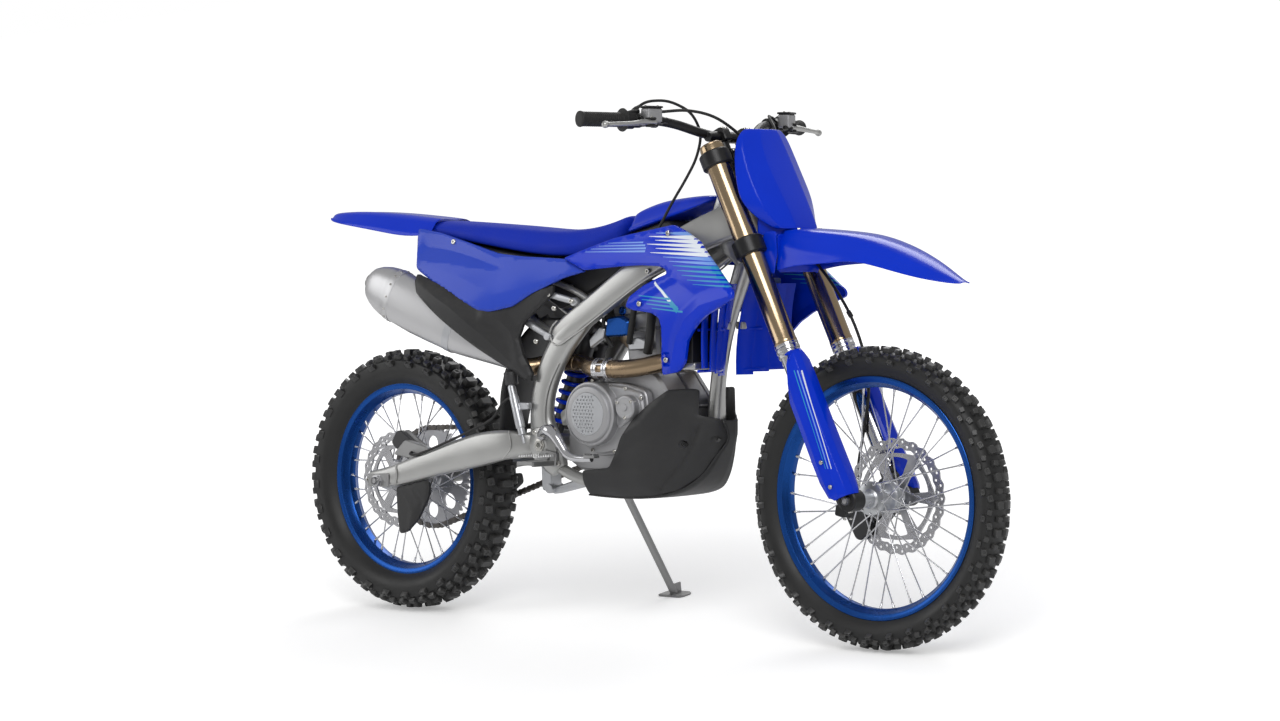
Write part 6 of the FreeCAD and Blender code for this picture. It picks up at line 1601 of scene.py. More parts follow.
def make_front_brake():
    """The two-piston caliper on the left leg, its bracket and hose."""
    side = 66.0
    at = FRONT_AXLE + np.array([-101.0, side, -60.0])
    turn = math.radians(60)
    u = np.array([math.cos(turn), 0.0, -math.sin(turn)])
    v = np.array([math.sin(turn), 0.0, math.cos(turn)])
    outline = rounded([(-45, -16), (-34, -26), (34, -26), (45, -14), (45, 20), (30, 26), (-30, 26),
                       (-45, 18)], 7)
    outer = prism(outline, at + Y_AXIS * 23, u, v, 19, 3.5)
    inner = prism(outline, at + Y_AXIS * -4, u, v, 14, 3.5)
    bridge = prism(rounded([(-34, 14), (34, 14), (34, 25), (-34, 25)], 4), at + Y_AXIS * 20, u, v, 36, 2)
    parts = [outer, inner, bridge]
    profile = [(16, 0), (16, 2), (14, 3.4), (0.01, 3.6)]
    parts += [turned(at + u * step + Y_AXIS * 22, Y_AXIS, profile, 28) for step in (-20, 20)]
    make_piece("front_caliper", parts, "caliper_grey", "fork", ("front_brake",), smooth=32)
    bracket = [(-128, -26), (-108, -86), (-44, -42), (-34, -26), (-40, 8), (-58, 14)]
    plate = prism(rounded(bracket, 8), FRONT_AXLE + Y_AXIS * 83.7, X_AXIS, Z_AXIS, 10, 1.5)
    make_piece("front_caliper_bracket", plate, "peg_steel", "fork", smooth=32)
    hose = swept([FRONT_AXLE + np.array(p, dtype=float) for p in HOSE_ROUTE], 3.6, 14, 6)
    clips = []
    profile = [(4, -8), (5.4, -8), (5.8, -6), (5.8, 6), (5.4, 8), (4, 8)]
    for k in (2, 5, 8):
        here, after = np.array(HOSE_ROUTE[k], dtype=float), np.array(HOSE_ROUTE[k + 1], dtype=float)
        clips.append(turned(FRONT_AXLE + here, unit(after - here), profile, 16))
    make_piece("front_brake_hose", [hose] + clips, "black_rubber", "fork", smooth=50)
    fitting = bolt(FRONT_AXLE + np.array([-118.0, 82.0, -40.0]), Y_AXIS, 7)
    screws = [bolt(FRONT_AXLE + np.array([x, 84.0, z]), Y_AXIS, 6) for x, z in ((-58, -46), (-26, -14))]
    make_piece("front_brake_bolts", [fitting] + screws, "zinc_bolt", "fork")


def make_front_axle():
    """The hollow spindle with its nut on the left."""
    outside = AXLE_END
    profile = [(6, -outside - 6), (9.4, -outside - 8), (10, -outside - 6), (10, outside)]
    spindle = turned(FRONT_AXLE, Y_AXIS, profile, 32)
    profile = [(9.4, -outside - 8), (6.2, -outside - 8), (6, -outside + 20), (0.01, -outside + 20)]
    bore = turned(FRONT_AXLE, Y_AXIS, profile, 24)
    profile = [(18, outside), (18.5, outside + 1), (18.5, outside + 2.5), (15, outside + 3),
               (15, outside + 11), (13.4, outside + 12), (11, outside + 12), (11, outside + 9),
               (0.01, outside + 9)]
    nut = turned(FRONT_AXLE, Y_AXIS, profile, 6)
    make_piece("front_spindle", [spindle, bore, nut], "axle_steel", "fork", ("front_axle",), smooth=30)


def make_hub(name, centre, flange, barrel, half, noses, body, node):
    """A cast hub: two flanges for the spokes, a waisted barrel, and seals at its ends."""
    right, left = noses
    profile = [
        (10.2, -half - right), (barrel - 8, -half - right), (barrel - 6, -half - right + 2),
        (barrel - 5, -half - 10), (barrel - 1, -half - 6), (flange - 6, -half - 5), (flange, -half - 3.6),
        (flange + 0.6, -half), (flange, -half + 3.6), (flange - 7, -half + 5.5), (barrel, -half + 13),
        (barrel - 3, -half + 24), (barrel - 3, half - 24), (barrel, half - 13), (flange - 7, half - 5.5),
        (flange, half - 3.6), (flange + 0.6, half), (flange, half + 3.6), (flange - 6, half + 5),
        (barrel - 1, half + 6), (barrel - 5, half + 10), (barrel - 6, half + left - 2),
        (barrel - 8, half + left), (10.2, half + left)]
    make_piece(name, turned(centre, Y_AXIS, profile, 56, closed=True), "hub_alloy", body, (node,), smooth=28)


make_fork_legs()
make_fork_guards()
make_triple_clamps()
make_handlebar()
make_hand_controls()
make_cables()
make_front_brake()
make_front_axle()
make_hub("front_hub_shell", FRONT_AXLE, 38.0, 24.0, 33.0, (50.7, 50.7), "front_wheel", "front_hub")
make_hub("rear_hub_shell", REAR_AXLE, 48.0, 30.0, 34.0, (59.7, 59.7), "rear_wheel", "rear_hub")


# Chassis.

def box_ring(here, along, height, width, corner, dish):
    """A rounded box section square to a beam's path; the outer faces may be dished."""
    side = unit(Y_AXIS - along * along.dot(Y_AXIS))
    up = unit(np.cross(side, along))
    h, w = height / 2, width / 2
    c = corner * min(height, width)
    k = c * 0.3
    plan = [(-w + dish, 0), (-w, h - c), (-w + k, h - k), (-w + c, h), (w - c, h), (w - k, h - k), (w, h - c),
            (w - dish, 0), (w, -h + c), (w - k, -h + k), (w - c, -h), (-w + c, -h), (-w + k, -h + k),
            (-w, -h + c)]
    return [here + side * a + up * b for a, b in plan]


def beam(stations, corner=0.3, dish=0.0, steps=4):
    """A beam through stations of (x, y, z, height, width), eased between them."""
    line = smooth_points([list(map(float, s)) for s in stations], steps)
    rings = []
    for i, row in enumerate(line):
        before, after = line[max(i - 1, 0)][:3], line[min(i + 1, len(line) - 1)][:3]
        along = unit(after - before)
        rings.append(box_ring(row[:3], along, row[3], row[4], corner, dish))
    return lofted(rings)


def weld_bead(points, size=2.6, pitch=3.4):
    """A stacked weld bead along a line."""
    line = [np.asarray(p, dtype=float) for p in smooth_points([list(p) for p in points], 8)]
    total = [0.0]
    for a, b in zip(line[:-1], line[1:]):
        total.append(total[-1] + float(np.linalg.norm(b - a)))
    count = int(total[-1] / pitch * 2)
    xs = np.linspace(0, total[-1], count)
    array = np.array(line)
    path = np.column_stack([np.interp(xs, total, array[:, k]) for k in range(3)])
    radii = [size * (1.0 if k % 2 else 0.72) for k in range(count)]
    return swept(list(path), radii, 8, smooth=False)


SHOCK_TOP = np.array([606.0, 0, 728.0])
SHOCK_FOOT = np.array([470.0, 0, 388.0])
PIVOT = np.array([548.0, 0, 440.0])
STAND_PIVOT = np.array([560.0, 150.0, 352.0])
STAND_AXIS = unit(np.array([-0.1872, 0.9674, 0.1707]))


def make_frame():
    """The steering head, the two welded beams and the pivot castings."""
    upper = [(1086, -30, 986, 84, 26), (995, -70, 944, 78, 30), (880, -99, 883, 70, 33),
             (800, -102, 834, 66, 34), (700, -102, 771, 62, 34), (640, -102, 735, 60, 33),
             (600, -102, 712, 48, 30), (584, -102, 702, 30, 24)]
    lower = [(700, -101, 768, 44, 28), (650, -101, 728, 58, 30), (600, -101, 680, 68, 31),
             (562, -101, 620, 66, 31), (540, -101, 556, 64, 31), (537, -101, 496, 68, 32),
             (551, -101, 446, 86, 33), (576, -101, 402, 74, 31), (592, -100, 380, 50, 28)]
    beams = [beam(upper, 0.32, dish=1.2), beam(lower, 0.42)]
    bead = [(1000, -86, 906), (930, -106, 868), (870, -117, 838), (800, -120, 796), (730, -120, 753),
            (680, -120, 722), (640, -120, 700), (612, -119, 686), (592, -117, 684), (578, -115, 694),
            (573, -115, 712), (582, -117, 728), (600, -119, 742)]
    rib = [(604, -117, 640), (574, -118, 588), (560, -118, 540), (560, -118, 490), (574, -118, 452)]
    rib_shape = swept(rib, [3, 4, 4, 4, 3], 10, 6)
    for_engine = side_plate([(596, 520), (668, 560), (676, 540), (640, 500), (604, 486)], 9, -94, 12, 2)
    plate = side_plate([(520, 480), (560, 486), (592, 462), (600, 420), (570, 392), (528, 398), (508, 440)],
                       14, -113, 10, 2.5)
    make_piece("twin_beams", both(*beams, rib_shape, for_engine, plate), "frame_alloy", "frame",
               ("frame",), smooth=50)
    make_piece("beam_welds", both(weld_bead(bead)), "frame_alloy", "frame", smooth=60)
    profile = [(18, 671), (30, 671), (32, 674), (32, 690), (29, 696), (28, 756), (29, 818), (32, 824),
               (32, 840), (30, 843), (18, 843)]
    head = turned(steering_point(0), UP_FORK, profile, 48, closed=True)
    plan = [steering_point(676, -16), steering_point(838, -16), steering_point(832, -60),
            steering_point(785, -112), steering_point(700, -112), steering_point(648, -84)]
    outline = rounded([(p[0], p[2]) for p in plan], 10)
    gusset = prism(outline, (0, 27, 0), X_AXIS, Z_AXIS, 54, 6)
    make_piece("steering_head", [head, gusset], "frame_alloy", "frame", smooth=45)
    bolts, lugs = [], []
    for y in (-1, 1):
        end = PIVOT + np.array([0, y * 122.0, 0])
        lugs.append(turned(end, Y_AXIS * y, [(24, -8), (24, 1), (22, 3), (14, 3)], 36))
        profile = [(17, 2), (17, 5), (12, 5.5), (12, 8), (7, 8), (6, 3), (0.01, 3)]
        bolts.append(turned(end, Y_AXIS * y, profile, 6))
        for x, z in ((888, 863), (592, 772), (652, 528), (604, 398), (528, 470)):
            bolts.append(cap_screw((x, y * 118.5, z), Y_AXIS * y, 6.5))
    make_piece("pivot_ends", lugs, "frame_alloy", "frame", smooth=40)
    make_piece("frame_bolts", bolts, "zinc_bolt", "frame")
    profile = [(0.01, -44), (14, -44), (14, -13.6), (5.2, -13.4), (5.2, 15), (0.01, 15.5)]
    boss = turned(STAND_PIVOT, STAND_AXIS, profile, 28)
    web = beam([(582, 102, 400, 44, 26), (572, 107, 366, 36, 25), (562, 112, 334, 28, 22)])
    make_piece("stand_lug", [boss, web], "frame_alloy", "frame", smooth=40)


def make_cradle():
    """The down tube and the lower rails under the engine."""
    top = steering_point(650, -66)
    stations = [(top[0] - 8, 0, top[2], 44, 44), (1034, 0, 740, 36, 32), (1006, 0, 610, 34, 32),
                (1000, 0, 505, 34, 44)]
    down = beam(stations, 0.34, dish=2.0)
    route = [(590, -94, 384), (630, -88, 366), (690, -78, 353), (800, -75, 352), (900, -70, 353),
             (940, -60, 370), (970, -46, 402), (990, -34, 455), (1004, -28, 505)]
    rail = swept(route, [14, 14, 14, 14, 14, 14, 13, 13, 13], 20, 5)
    cross = swept([(720, -76, 352), (720, 76, 352)], 11, 16, smooth=False)
    stay = side_plate([(1040, 726), (1062, 726), (1062, 744), (1040, 744)], 4, -20, 52, 2)
    make_piece("down_tube_and_rails", [down, cross] + [both(rail), both(stay)], "frame_alloy",
               "frame", ("cradle",), smooth=50)


def make_swingarm():
    """The tapered arms, the cross member, the axle blocks and the chain guide."""
    stations = [(-30, -110, 333, 40, 30), (50, -110, 345, 54, 31), (206, -110, 388, 70, 32),
                (337, -110, 420, 82, 32), (424, -106, 436, 70, 31), (466, -92, 439, 54, 24),
                (492, -76, 440, 47, 20), (528, -74, 440, 42, 20)]
    arm = beam(stations, 0.36, dish=0.8)
    profile = [(12, -86), (23, -86), (25, -84), (25, 84), (23, 86), (12, 86)]
    tube = turned((548, 0, 440), Y_AXIS, profile, 36, closed=True)
    cross = swept([(398, -100, 418), (398, 0, 420), (398, 100, 418)], 22, 24, 4)
    make_piece("swingarm_beams", [both(arm), tube, cross], "frame_alloy", "frame", ("swingarm",), smooth=50)
    welds = [weld_bead([(424, -122, 402), (446, -118, 430), (440, -118, 470)], 2.2),
             weld_bead([(60, -127, 320), (66, -127, 345), (62, -127, 372)], 2.2)]
    make_piece("swingarm_welds", both(*welds), "frame_alloy", "frame", smooth=60)
    blocks, screws = [], []
    for y in (-1, 1):
        plate = rounded([(-34, 314), (38, 316), (38, 350), (-34, 346)], 5)
        blocks.append(prism(plate, (0, y * 127 + 1.5, 0), X_AXIS, Z_AXIS, 3, 1))
        screws.append(round_bar((-36, y * 110, 331), (-50, y * 110, 330), 4))
        screws.append(bolt((-50, y * 110, 330), (-1, 0, 0), 5))
    make_piece("axle_plates", blocks, "peg_steel", "frame", smooth=35)
    make_piece("chain_adjusters", screws, "zinc_bolt", "frame")
    guide = rounded([(214, 344), (300, 352), (306, 328), (268, 300), (222, 306)], 8)
    guide_shape = prism(guide, (0, 88, 0), X_AXIS, Z_AXIS, 24, 3)
    slider = beam([(330, 76, 466, 5, 22), (420, 76, 474, 5, 22), (486, 76, 468, 5, 22)], 0.4)
    make_piece("chain_guide", [guide_shape, slider], "black_plastic", "frame", smooth=35)
    outside = AXLE_END
    profile = [(6, -outside - 14), (9.4, -outside - 16), (10, -outside - 14), (10, outside + 14),
               (8, outside + 16), (0.01, outside + 16)]
    spindle = turned(REAR_AXLE, Y_AXIS, profile, 32)
    profile = [(9.4, -outside - 16), (6.2, -outside - 16), (6, -outside + 20), (0.01, -outside + 20)]
    bore = turned(REAR_AXLE, Y_AXIS, profile, 24)
    profile = [(10, outside), (17, outside), (17, outside + 3), (15, outside + 3.4), (15, outside + 11),
               (12, outside + 12), (10, outside + 12)]
    nuts = [turned(REAR_AXLE, Y_AXIS * y, profile, 6) for y in (-1, 1)]
    make_piece("rear_spindle", [spindle, bore] + nuts, "axle_steel", "frame", ("rear_axle",), smooth=30)


def make_mud_flap():
    """The black flap between the shock and the rear wheel."""
    line = smooth_points([(354, 456, 50), (361, 500, 52), (372, 560, 60), (392, 622, 61), (428, 680, 61),
                          (474, 722, 61), (520, 744, 60)], 5)
    rows = []
    for i, (x, z, half) in enumerate(line):
        before, after = line[max(i - 1, 0)], line[min(i + 1, len(line) - 1)]
        back = unit(np.array([before[1] - after[1], 0, after[0] - before[0]]))
        plan = [(-half, 12), (-half + 3, 4), (-half + 9, 0), (half - 9, 0), (half - 3, 4), (half, 12)]
        rows.append([np.array([x, y, z]) + back * lift for y, lift in plan])
    make_piece("rear_mud_flap", lofted(rows, closed=False), "black_plastic", "frame", smooth=50,
               thickness=2.6)


def make_subframe():
    """The seat's rails, with their ties, struts and bolts."""
    upper = swept([(690, -78.7, 780), (600, -78.7, 822), (400, -70, 876), (170, -52, 928)], 8, 16, 6)
    lower = swept([(602, -78.7, 698), (478, -78.7, 748), (262, -64, 900)], 8, 16, 6)
    ties = [round_bar((180, -54, 926), (180, 54, 926), 7), round_bar((600, -79, 822), (600, 79, 822), 7)]
    make_piece("seat_rails", [both(upper), both(lower)] + ties, "frame_alloy", "frame", ("subframe",),
               smooth=50)
    struts = []
    for (x0, z0), (x1, z1) in (((566, 806), (652, 788)), ((474, 746), (566, 704))):
        a, b = np.array([x0, -112.0, z0]), np.array([x1, -112.0, z1])
        struts.append(beam([tuple(a) + (15, 9), tuple((a + b) / 2) + (17, 10), tuple(b) + (15, 9)], 0.4))
        for p in (a, b):
            struts.append(turned(p, Y_AXIS, [(0.01, -9), (9, -9), (10.5, -7), (10.5, 6), (0.01, 6)], 24))
    make_piece("seat_rail_brackets", both(*struts), "hub_alloy", "frame", smooth=45)
    places = ((577, 806), (650, 790), (536, 691), (480, 745))
    screws = [cap_screw((x, -121.5, z), -Y_AXIS, 6.5) for x, z in places]
    make_piece("seat_rail_bolts", both(*screws), "zinc_bolt", "frame")


def coil(low, high, radius, wire, turns, sides=8):
    """A helical spring between two points."""
    along = unit(high - low)
    first, second = across(along)
    steps = int(turns * 20)
    length = np.linalg.norm(high - low)
    path = []
    for k in range(steps + 1):
        a = 2 * math.pi * turns * k / steps
        path.append(low + along * length * k / steps + (first * math.cos(a) + second * math.sin(a)) * radius)
    return swept(path, wire, sides, smooth=False)


def make_shock():
    """The shock with its spring and reservoir, the rocker and the link."""
    low, high = SHOCK_FOOT, SHOCK_TOP
    along = unit(high - low)
    profile = [(0.01, 0), (12, 0), (14, 8), (9, 16), (9, 108), (26, 110), (29, 113), (29, 118), (22, 120),
               (22, 276), (30, 278), (30, 288), (24, 290), (24, 330), (18, 344), (12, 350)]
    body = turned(low, along, profile, 32)
    profile = [(10.4, -15), (18, -15), (20, -13), (20, 13), (18, 15), (10.4, 15)]
    eye = turned(high, Y_AXIS, profile, 28, closed=True)
    can_low, can_high = high + np.array([-52, 50, -160.0]), high + np.array([-14, 50, -40.0])
    profile = [(0.01, -2), (17, -2), (20, 1), (20, 8), (18.6, 9), (18.6, 106), (20, 108), (20, 122),
               (14, 126), (0.01, 126)]
    can = turned(can_low, unit(can_high - can_low), profile, 32)
    joiner = swept([high - along * 40, high + np.array([-18, 24, -52.0]),
                    high + np.array([-18, 46, -56.0])], 11, 16, 4)
    make_piece("shock_body", [body, eye, can, joiner], "suspension_metal", "frame", ("rear_suspension",),
               smooth=35)
    spring = coil(low + along * 116, low + along * 276, 27.5, 5.2, 6.5)
    make_piece("shock_spring", spring, "blue_plastic", "frame", smooth=60)
    rocker = side_plate([(460, 320), (494, 320), (490, 398), (456, 398)], 9, 20, 40, 3)
    link = side_plate([(480, 324), (494, 312), (596, 336), (602, 350), (588, 358)], 5, 14, 28, 3)
    profile = [(0.01, -24), (11, -24), (12, -22), (12, 22), (11, 24), (0.01, 24)]
    bosses = [turned((x, 0, z), Y_AXIS, profile, 24) for x, z in ((486, 326), (470, 388), (592, 346))]
    make_piece("shock_linkage", [rocker, link] + bosses, "hub_alloy", "frame", smooth=35)


def flat_ring(outline, holes, thick, spacing, centre, y):
    """A flat plate with holes, square to the wheel's axis."""
    verts, faces = flat_sheet(outline, holes, spacing)
    depth = np.full(len(verts), y - thick / 2)
    flat = np.column_stack([verts[:, 0] + centre[0], depth, verts[:, 1] + centre[2]])
    return thickened(flat, facing_right(flat, faces), Y_AXIS * thick)


PITCH = 15.875
REAR_PITCH_RADIUS = PITCH / (2 * math.sin(math.pi / 50))
DRIVE_PITCH_RADIUS = PITCH / (2 * math.sin(math.pi / 13))
DRIVE = np.array([622.0, 0.0, 452.0])
CHAIN_Y = 76.0


def tooth_outline(teeth, pitch_radius, tip, root):
    """A sprocket's edge: a rounded valley and a blunt tooth, for each tooth."""
    outline = []
    for i in range(teeth):
        for share, radius in ((0.0, root), (0.18, root + 0.8), (0.34, pitch_radius + 0.5), (0.44, tip),
                              (0.56, tip), (0.66, pitch_radius + 0.5), (0.82, root + 0.8)):
            outline.append(polar(radius, 2 * math.pi * (i + share) / teeth))
    return outline


def make_sprockets():
    """The drilled rear sprocket and its bolts."""
    tip = REAR_PITCH_RADIUS + 3.0
    middle = tip - 45
    windows = []
    for a in even_angles(8):
        windows.append([(middle * math.cos(a) + (20 + 1.5 * math.cos(t * 2)) * math.cos(a + t),
                         middle * math.sin(a) + (20 + 1.5 * math.cos(t * 2)) * math.sin(a + t))
                        for t in even_angles(16)])
    hub_hole = round_hole(0, 0, 30.4, 40)
    plate = flat_ring(tooth_outline(50, REAR_PITCH_RADIUS, tip, REAR_PITCH_RADIUS - 5.2),
                      windows + [hub_hole], 6.0, 9.0, REAR_AXLE, CHAIN_Y)
    make_piece("driven_sprocket", plate, "sprocket_alloy", "rear_wheel", ("rear_sprocket",), smooth=30)
    bolts = [bolt(wheel_point(REAR_AXLE, 45, a, CHAIN_Y + 3), Y_AXIS, 6) for a in even_angles(6, 0.5)]
    make_piece("sprocket_bolts", bolts, "zinc_bolt", "rear_wheel")


def along_chain(distance):
    """Where the chain's pitch line is after a distance, and the angle that it runs at."""
    gap = DRIVE - REAR_AXLE
    reach = np.linalg.norm(gap)
    base = math.atan2(gap[2], gap[0])
    spread = math.acos((REAR_PITCH_RADIUS - DRIVE_PITCH_RADIUS) / reach)
    run = reach * math.sin(spread)
    if distance <= run:
        angle = base + spread - math.pi / 2
        start = wheel_point(REAR_AXLE, REAR_PITCH_RADIUS, base + spread, 0)
        return wheel_point(start, distance, angle, 0), angle
    distance -= run
    if distance <= 2 * spread * DRIVE_PITCH_RADIUS:
        turn = base + spread - distance / DRIVE_PITCH_RADIUS
        return wheel_point(DRIVE, DRIVE_PITCH_RADIUS, turn, 0), turn - math.pi / 2
    distance -= 2 * spread * DRIVE_PITCH_RADIUS
    if distance <= run:
        angle = base - spread - math.pi / 2
        start = wheel_point(DRIVE, DRIVE_PITCH_RADIUS, base - spread, 0)
        return wheel_point(start, distance, angle, 0), angle
    turn = base - spread - (distance - run) / REAR_PITCH_RADIUS
    return wheel_point(REAR_AXLE, REAR_PITCH_RADIUS, turn, 0), turn - math.pi / 2


def link_plate(at, angle, y, thick, half_tall):
    """A waisted link plate about two pins."""
    u = np.array([math.cos(angle), 0.0, math.sin(angle)])
    v = np.array([-math.sin(angle), 0.0, math.cos(angle)])
    half = PITCH / 2
    right = arc_points((half, 0), half_tall, -70, 70, 4)
    left = arc_points((-half, 0), half_tall, 110, 250, 4)
    outline = right + [(0, half_tall * 0.74)] + left + [(0, -half_tall * 0.74)]
    return prism(outline, at + Y_AXIS * (y + thick / 2), u, v, thick, 0.5)


def make_chain():
    """The chain link by link, with the drive sprocket in its front bend."""
    gap = np.linalg.norm(DRIVE - REAR_AXLE)
    spread = math.acos((REAR_PITCH_RADIUS - DRIVE_PITCH_RADIUS) / gap)
    whole = (2 * gap * math.sin(spread) + 2 * spread * DRIVE_PITCH_RADIUS
             + 2 * (math.pi - spread) * REAR_PITCH_RADIUS)
    count = 2 * int(whole / (2 * PITCH))
    plates, rollers = [], []
    for i in range(count):
        at, angle = along_chain(whole * (i + 0.5) / count)
        start = along_chain(whole * i / count)[0]
        outer = i % 2 == 0
        for side in (-1, 1):
            plates.append(link_plate(at, angle, CHAIN_Y + side * (8.0 if outer else 6.0), 1.7,
                                     7.4 if outer else 7.0))
        profile = [(2.4, -9.6), (2.6, -9.4), (2.6, -5.2), (5.0, -5.1), (5.0, 5.1), (2.6, 5.2), (2.6, 9.4),
                   (2.4, 9.6)]
        rollers.append(turned(start + Y_AXIS * CHAIN_Y, Y_AXIS, profile, 10))
    make_piece("chain_link_plates", plates, "chain_steel", "frame", ("chain",), smooth=35)
    make_piece("chain_rollers", rollers, "chain_steel", "frame", smooth=35)
    drive = flat_ring(tooth_outline(13, DRIVE_PITCH_RADIUS, DRIVE_PITCH_RADIUS + 3.4,
                                    DRIVE_PITCH_RADIUS - 5.2), [], 6.0, 9.0, DRIVE, CHAIN_Y)
    shaft = turned(DRIVE + Y_AXIS * 60.3, Y_AXIS, [(0.01, 0), (13, 0), (13, 24), (12, 29), (0.01, 29.5)], 28)
    make_piece("drive_sprocket", [drive, shaft], "peg_steel", "frame", smooth=30)


def make_rear_brake():
    """The rear caliper on the arm, its fin-shaped disc guard, and the master cylinder."""
    turn = math.radians(32)
    u = np.array([math.cos(turn), 0.0, -math.sin(turn)])
    v = np.array([math.sin(turn), 0.0, math.cos(turn)])
    outline = rounded([(-54, 78), (-40, 74), (46, 74), (54, 84), (54, 112), (40, 123), (-42, 123),
                       (-54, 112)], 8)
    halves = [prism(outline, REAR_AXLE + Y_AXIS * -58.5, u, v, 18, 3),
              prism(outline, REAR_AXLE + Y_AXIS * -41, u, v, 9, 2.5)]
    bridge = rounded([(-40, 112), (40, 112), (40, 123), (-40, 123)], 4)
    top = prism(bridge, REAR_AXLE + Y_AXIS * -41, u, v, 34, 2)
    profile = [(14, 0), (14, 2), (11, 3), (0.01, 3)]
    piston = turned(REAR_AXLE - u * 4 + v * 99 - Y_AXIS * 76, -Y_AXIS, profile, 24)
    make_piece("rear_caliper", halves + [top, piston], "caliper_grey", "frame", ("rear_brake",), smooth=32)
    bracket = side_plate([(20, 396), (110, 382), (148, 392), (138, 418), (60, 434)], 8, -74, 19, 2)
    make_piece("rear_caliper_bracket", bracket, "peg_steel", "frame", smooth=35)
    fin_outline = rounded([(47, 315), (100, 327), (154, 339), (163, 322), (158, 290), (120, 232), (92, 206),
                           (62, 197), (54, 240)], 9)
    skin = [(40, [(360, 110), (300, 112), (240, 113), (180, 113)]),
            (110, [(360, 111), (300, 114), (240, 115), (180, 114)]),
            (170, [(360, 110), (300, 112), (240, 112), (180, 111)])]
    ridges = [([(70, 318), (110, 260), (100, 214)], 2.5, 16),
              ([(100, 326), (140, 280), (126, 240)], -2.0, 9)]
    fin = panel_shape(fin_outline, skin, ridges=ridges, wall=3.5, roll=4, drop=2.5, spacing=6, hem=7)
    make_piece("disc_guard_fin", fin, "black_plastic", "frame", smooth=28)
    low, high = np.array([500.0, -134, 462]), np.array([462.0, -134, 586])
    along = unit(high - low)
    profile = [(0.01, -20), (4, -20), (4, 0), (9, 2), (9, 18), (11.5, 20), (11.5, 96), (10, 100), (10, 122),
               (7, 128), (0.01, 129)]
    master = turned(low, along, profile, 24)
    lug = side_plate([(476, 522), (518, 526), (518, 542), (478, 542)], 4, -118, 16, 2)
    profile = [(0.01, 0), (15, 0), (16, 2), (16, 22), (17.5, 23), (17.5, 30), (15, 32), (0.01, 32)]
    cup = turned(high + np.array([-2, 6, -2.0]), (-0.15, 0, 1), profile, 28)
    make_piece("rear_master_cylinder", [master, lug], "hub_alloy", "frame", smooth=35)
    make_piece("rear_fluid_cup", cup, "caliper_grey", "frame", smooth=35)
    route = [(476, -134, 560), (440, -138, 540), (400, -134, 500), (330, -130, 470), (230, -128, 432),
             (140, -126, 402), (100, -112, 400), (84, -92, 404)]
    hose = swept(route, 3.2, 12, 5)
    make_piece("rear_brake_hose", hose, "black_rubber", "frame", smooth=50)


def make_foot_controls():
    """Toothed pegs on cast brackets, the brake pedal and the gear lever."""
    steel = []
    for y in (-1, 1):
        for x in (546, 593):
            outline = rounded([(x, 0), (x + 7, 0), (x + 7, 78), (x, 78)], 2)
            steel.append(prism(outline, (0, y * 127, 404), X_AXIS, Y_AXIS * y, 12, 1))
        for k in range(5):
            outline = [(548, 0), (598, 0), (598, 5), (548, 5)]
            steel.append(prism(outline, (0, y * (130 + k * 18), 404), X_AXIS, Y_AXIS * y, 9, 0.8))
        for x in (549.5, 596.5):
            for k in range(9):
                tip = np.array([x, y * (131 + k * 8.6), 416.0])
                steel.append(turned(tip, Z_AXIS, [(0.01, -2), (3.4, -2), (1.2, 3.2), (0.01, 3.4)], 4))
        profile = [(0.01, 0), (12, 0), (12, 8), (9, 14), (0.01, 14)]
        steel.append(turned((573, y * 119, 412), Y_AXIS * y, profile, 20))
        outline = [(536, 390), (602, 390), (606, 424), (566, 430), (538, 414)]
        steel.append(side_plate(outline, 6, -117.4 if y < 0 else 129.4, 12, 2))
    make_piece("toothed_foot_pegs", steel, "peg_steel", "frame", ("foot_controls",), smooth=30)
    route = [(560, -133, 466), (604, -160, 480), (630, -164, 470), (652, -165, 446), (672, -165, 424),
             (700, -164, 416), (748, -162, 416)]
    pedal = swept(route, [11, 15, 14, 12, 10.5, 9, 8], 16, 7)
    profile = [(0.01, 0), (12, 0), (13, 2), (13, 20), (11, 24), (0.01, 24)]
    boss = turned((566, -118, 464), -Y_AXIS, profile, 28)
    make_piece("brake_pedal", [pedal, boss], "slider_steel", "frame", smooth=45)
    pad = rounded([(728, -174), (764, -174), (764, -150), (728, -150)], 5)
    tips = [prism(pad, (0, 0, 418), X_AXIS, Y_AXIS, 7, 1.5)]
    for x in (731, 740, 749, 758):
        tooth = [(x, -172), (x + 3, -172), (x + 3, -152), (x, -152)]
        tips.append(prism(tooth, (0, 0, 424), X_AXIS, Y_AXIS, 3.5, 0.6))
    make_piece("pedal_tip", tips, "peg_steel", "frame", smooth=30)
    route = [(704, 96, 424), (708, 142, 420), (740, 158, 413), (800, 160, 422)]
    lever = swept(route, [8, 7, 6.5, 6], 14, 6)
    shaft = turned((704, 80.3, 424), Y_AXIS, [(0.01, 0), (10, 0), (10, 18), (8, 22), (0.01, 22)], 24)
    profile = [(0.01, -10), (8, -10), (9, -8), (9, 22), (8, 24), (0.01, 24)]
    toe = turned((803, 150, 422), Y_AXIS, profile, 20)
    make_piece("gear_lever", [lever, shaft], "hub_alloy", "frame", smooth=45)
    make_piece("gear_lever_toe", toe, "black_rubber", "frame", smooth=40)


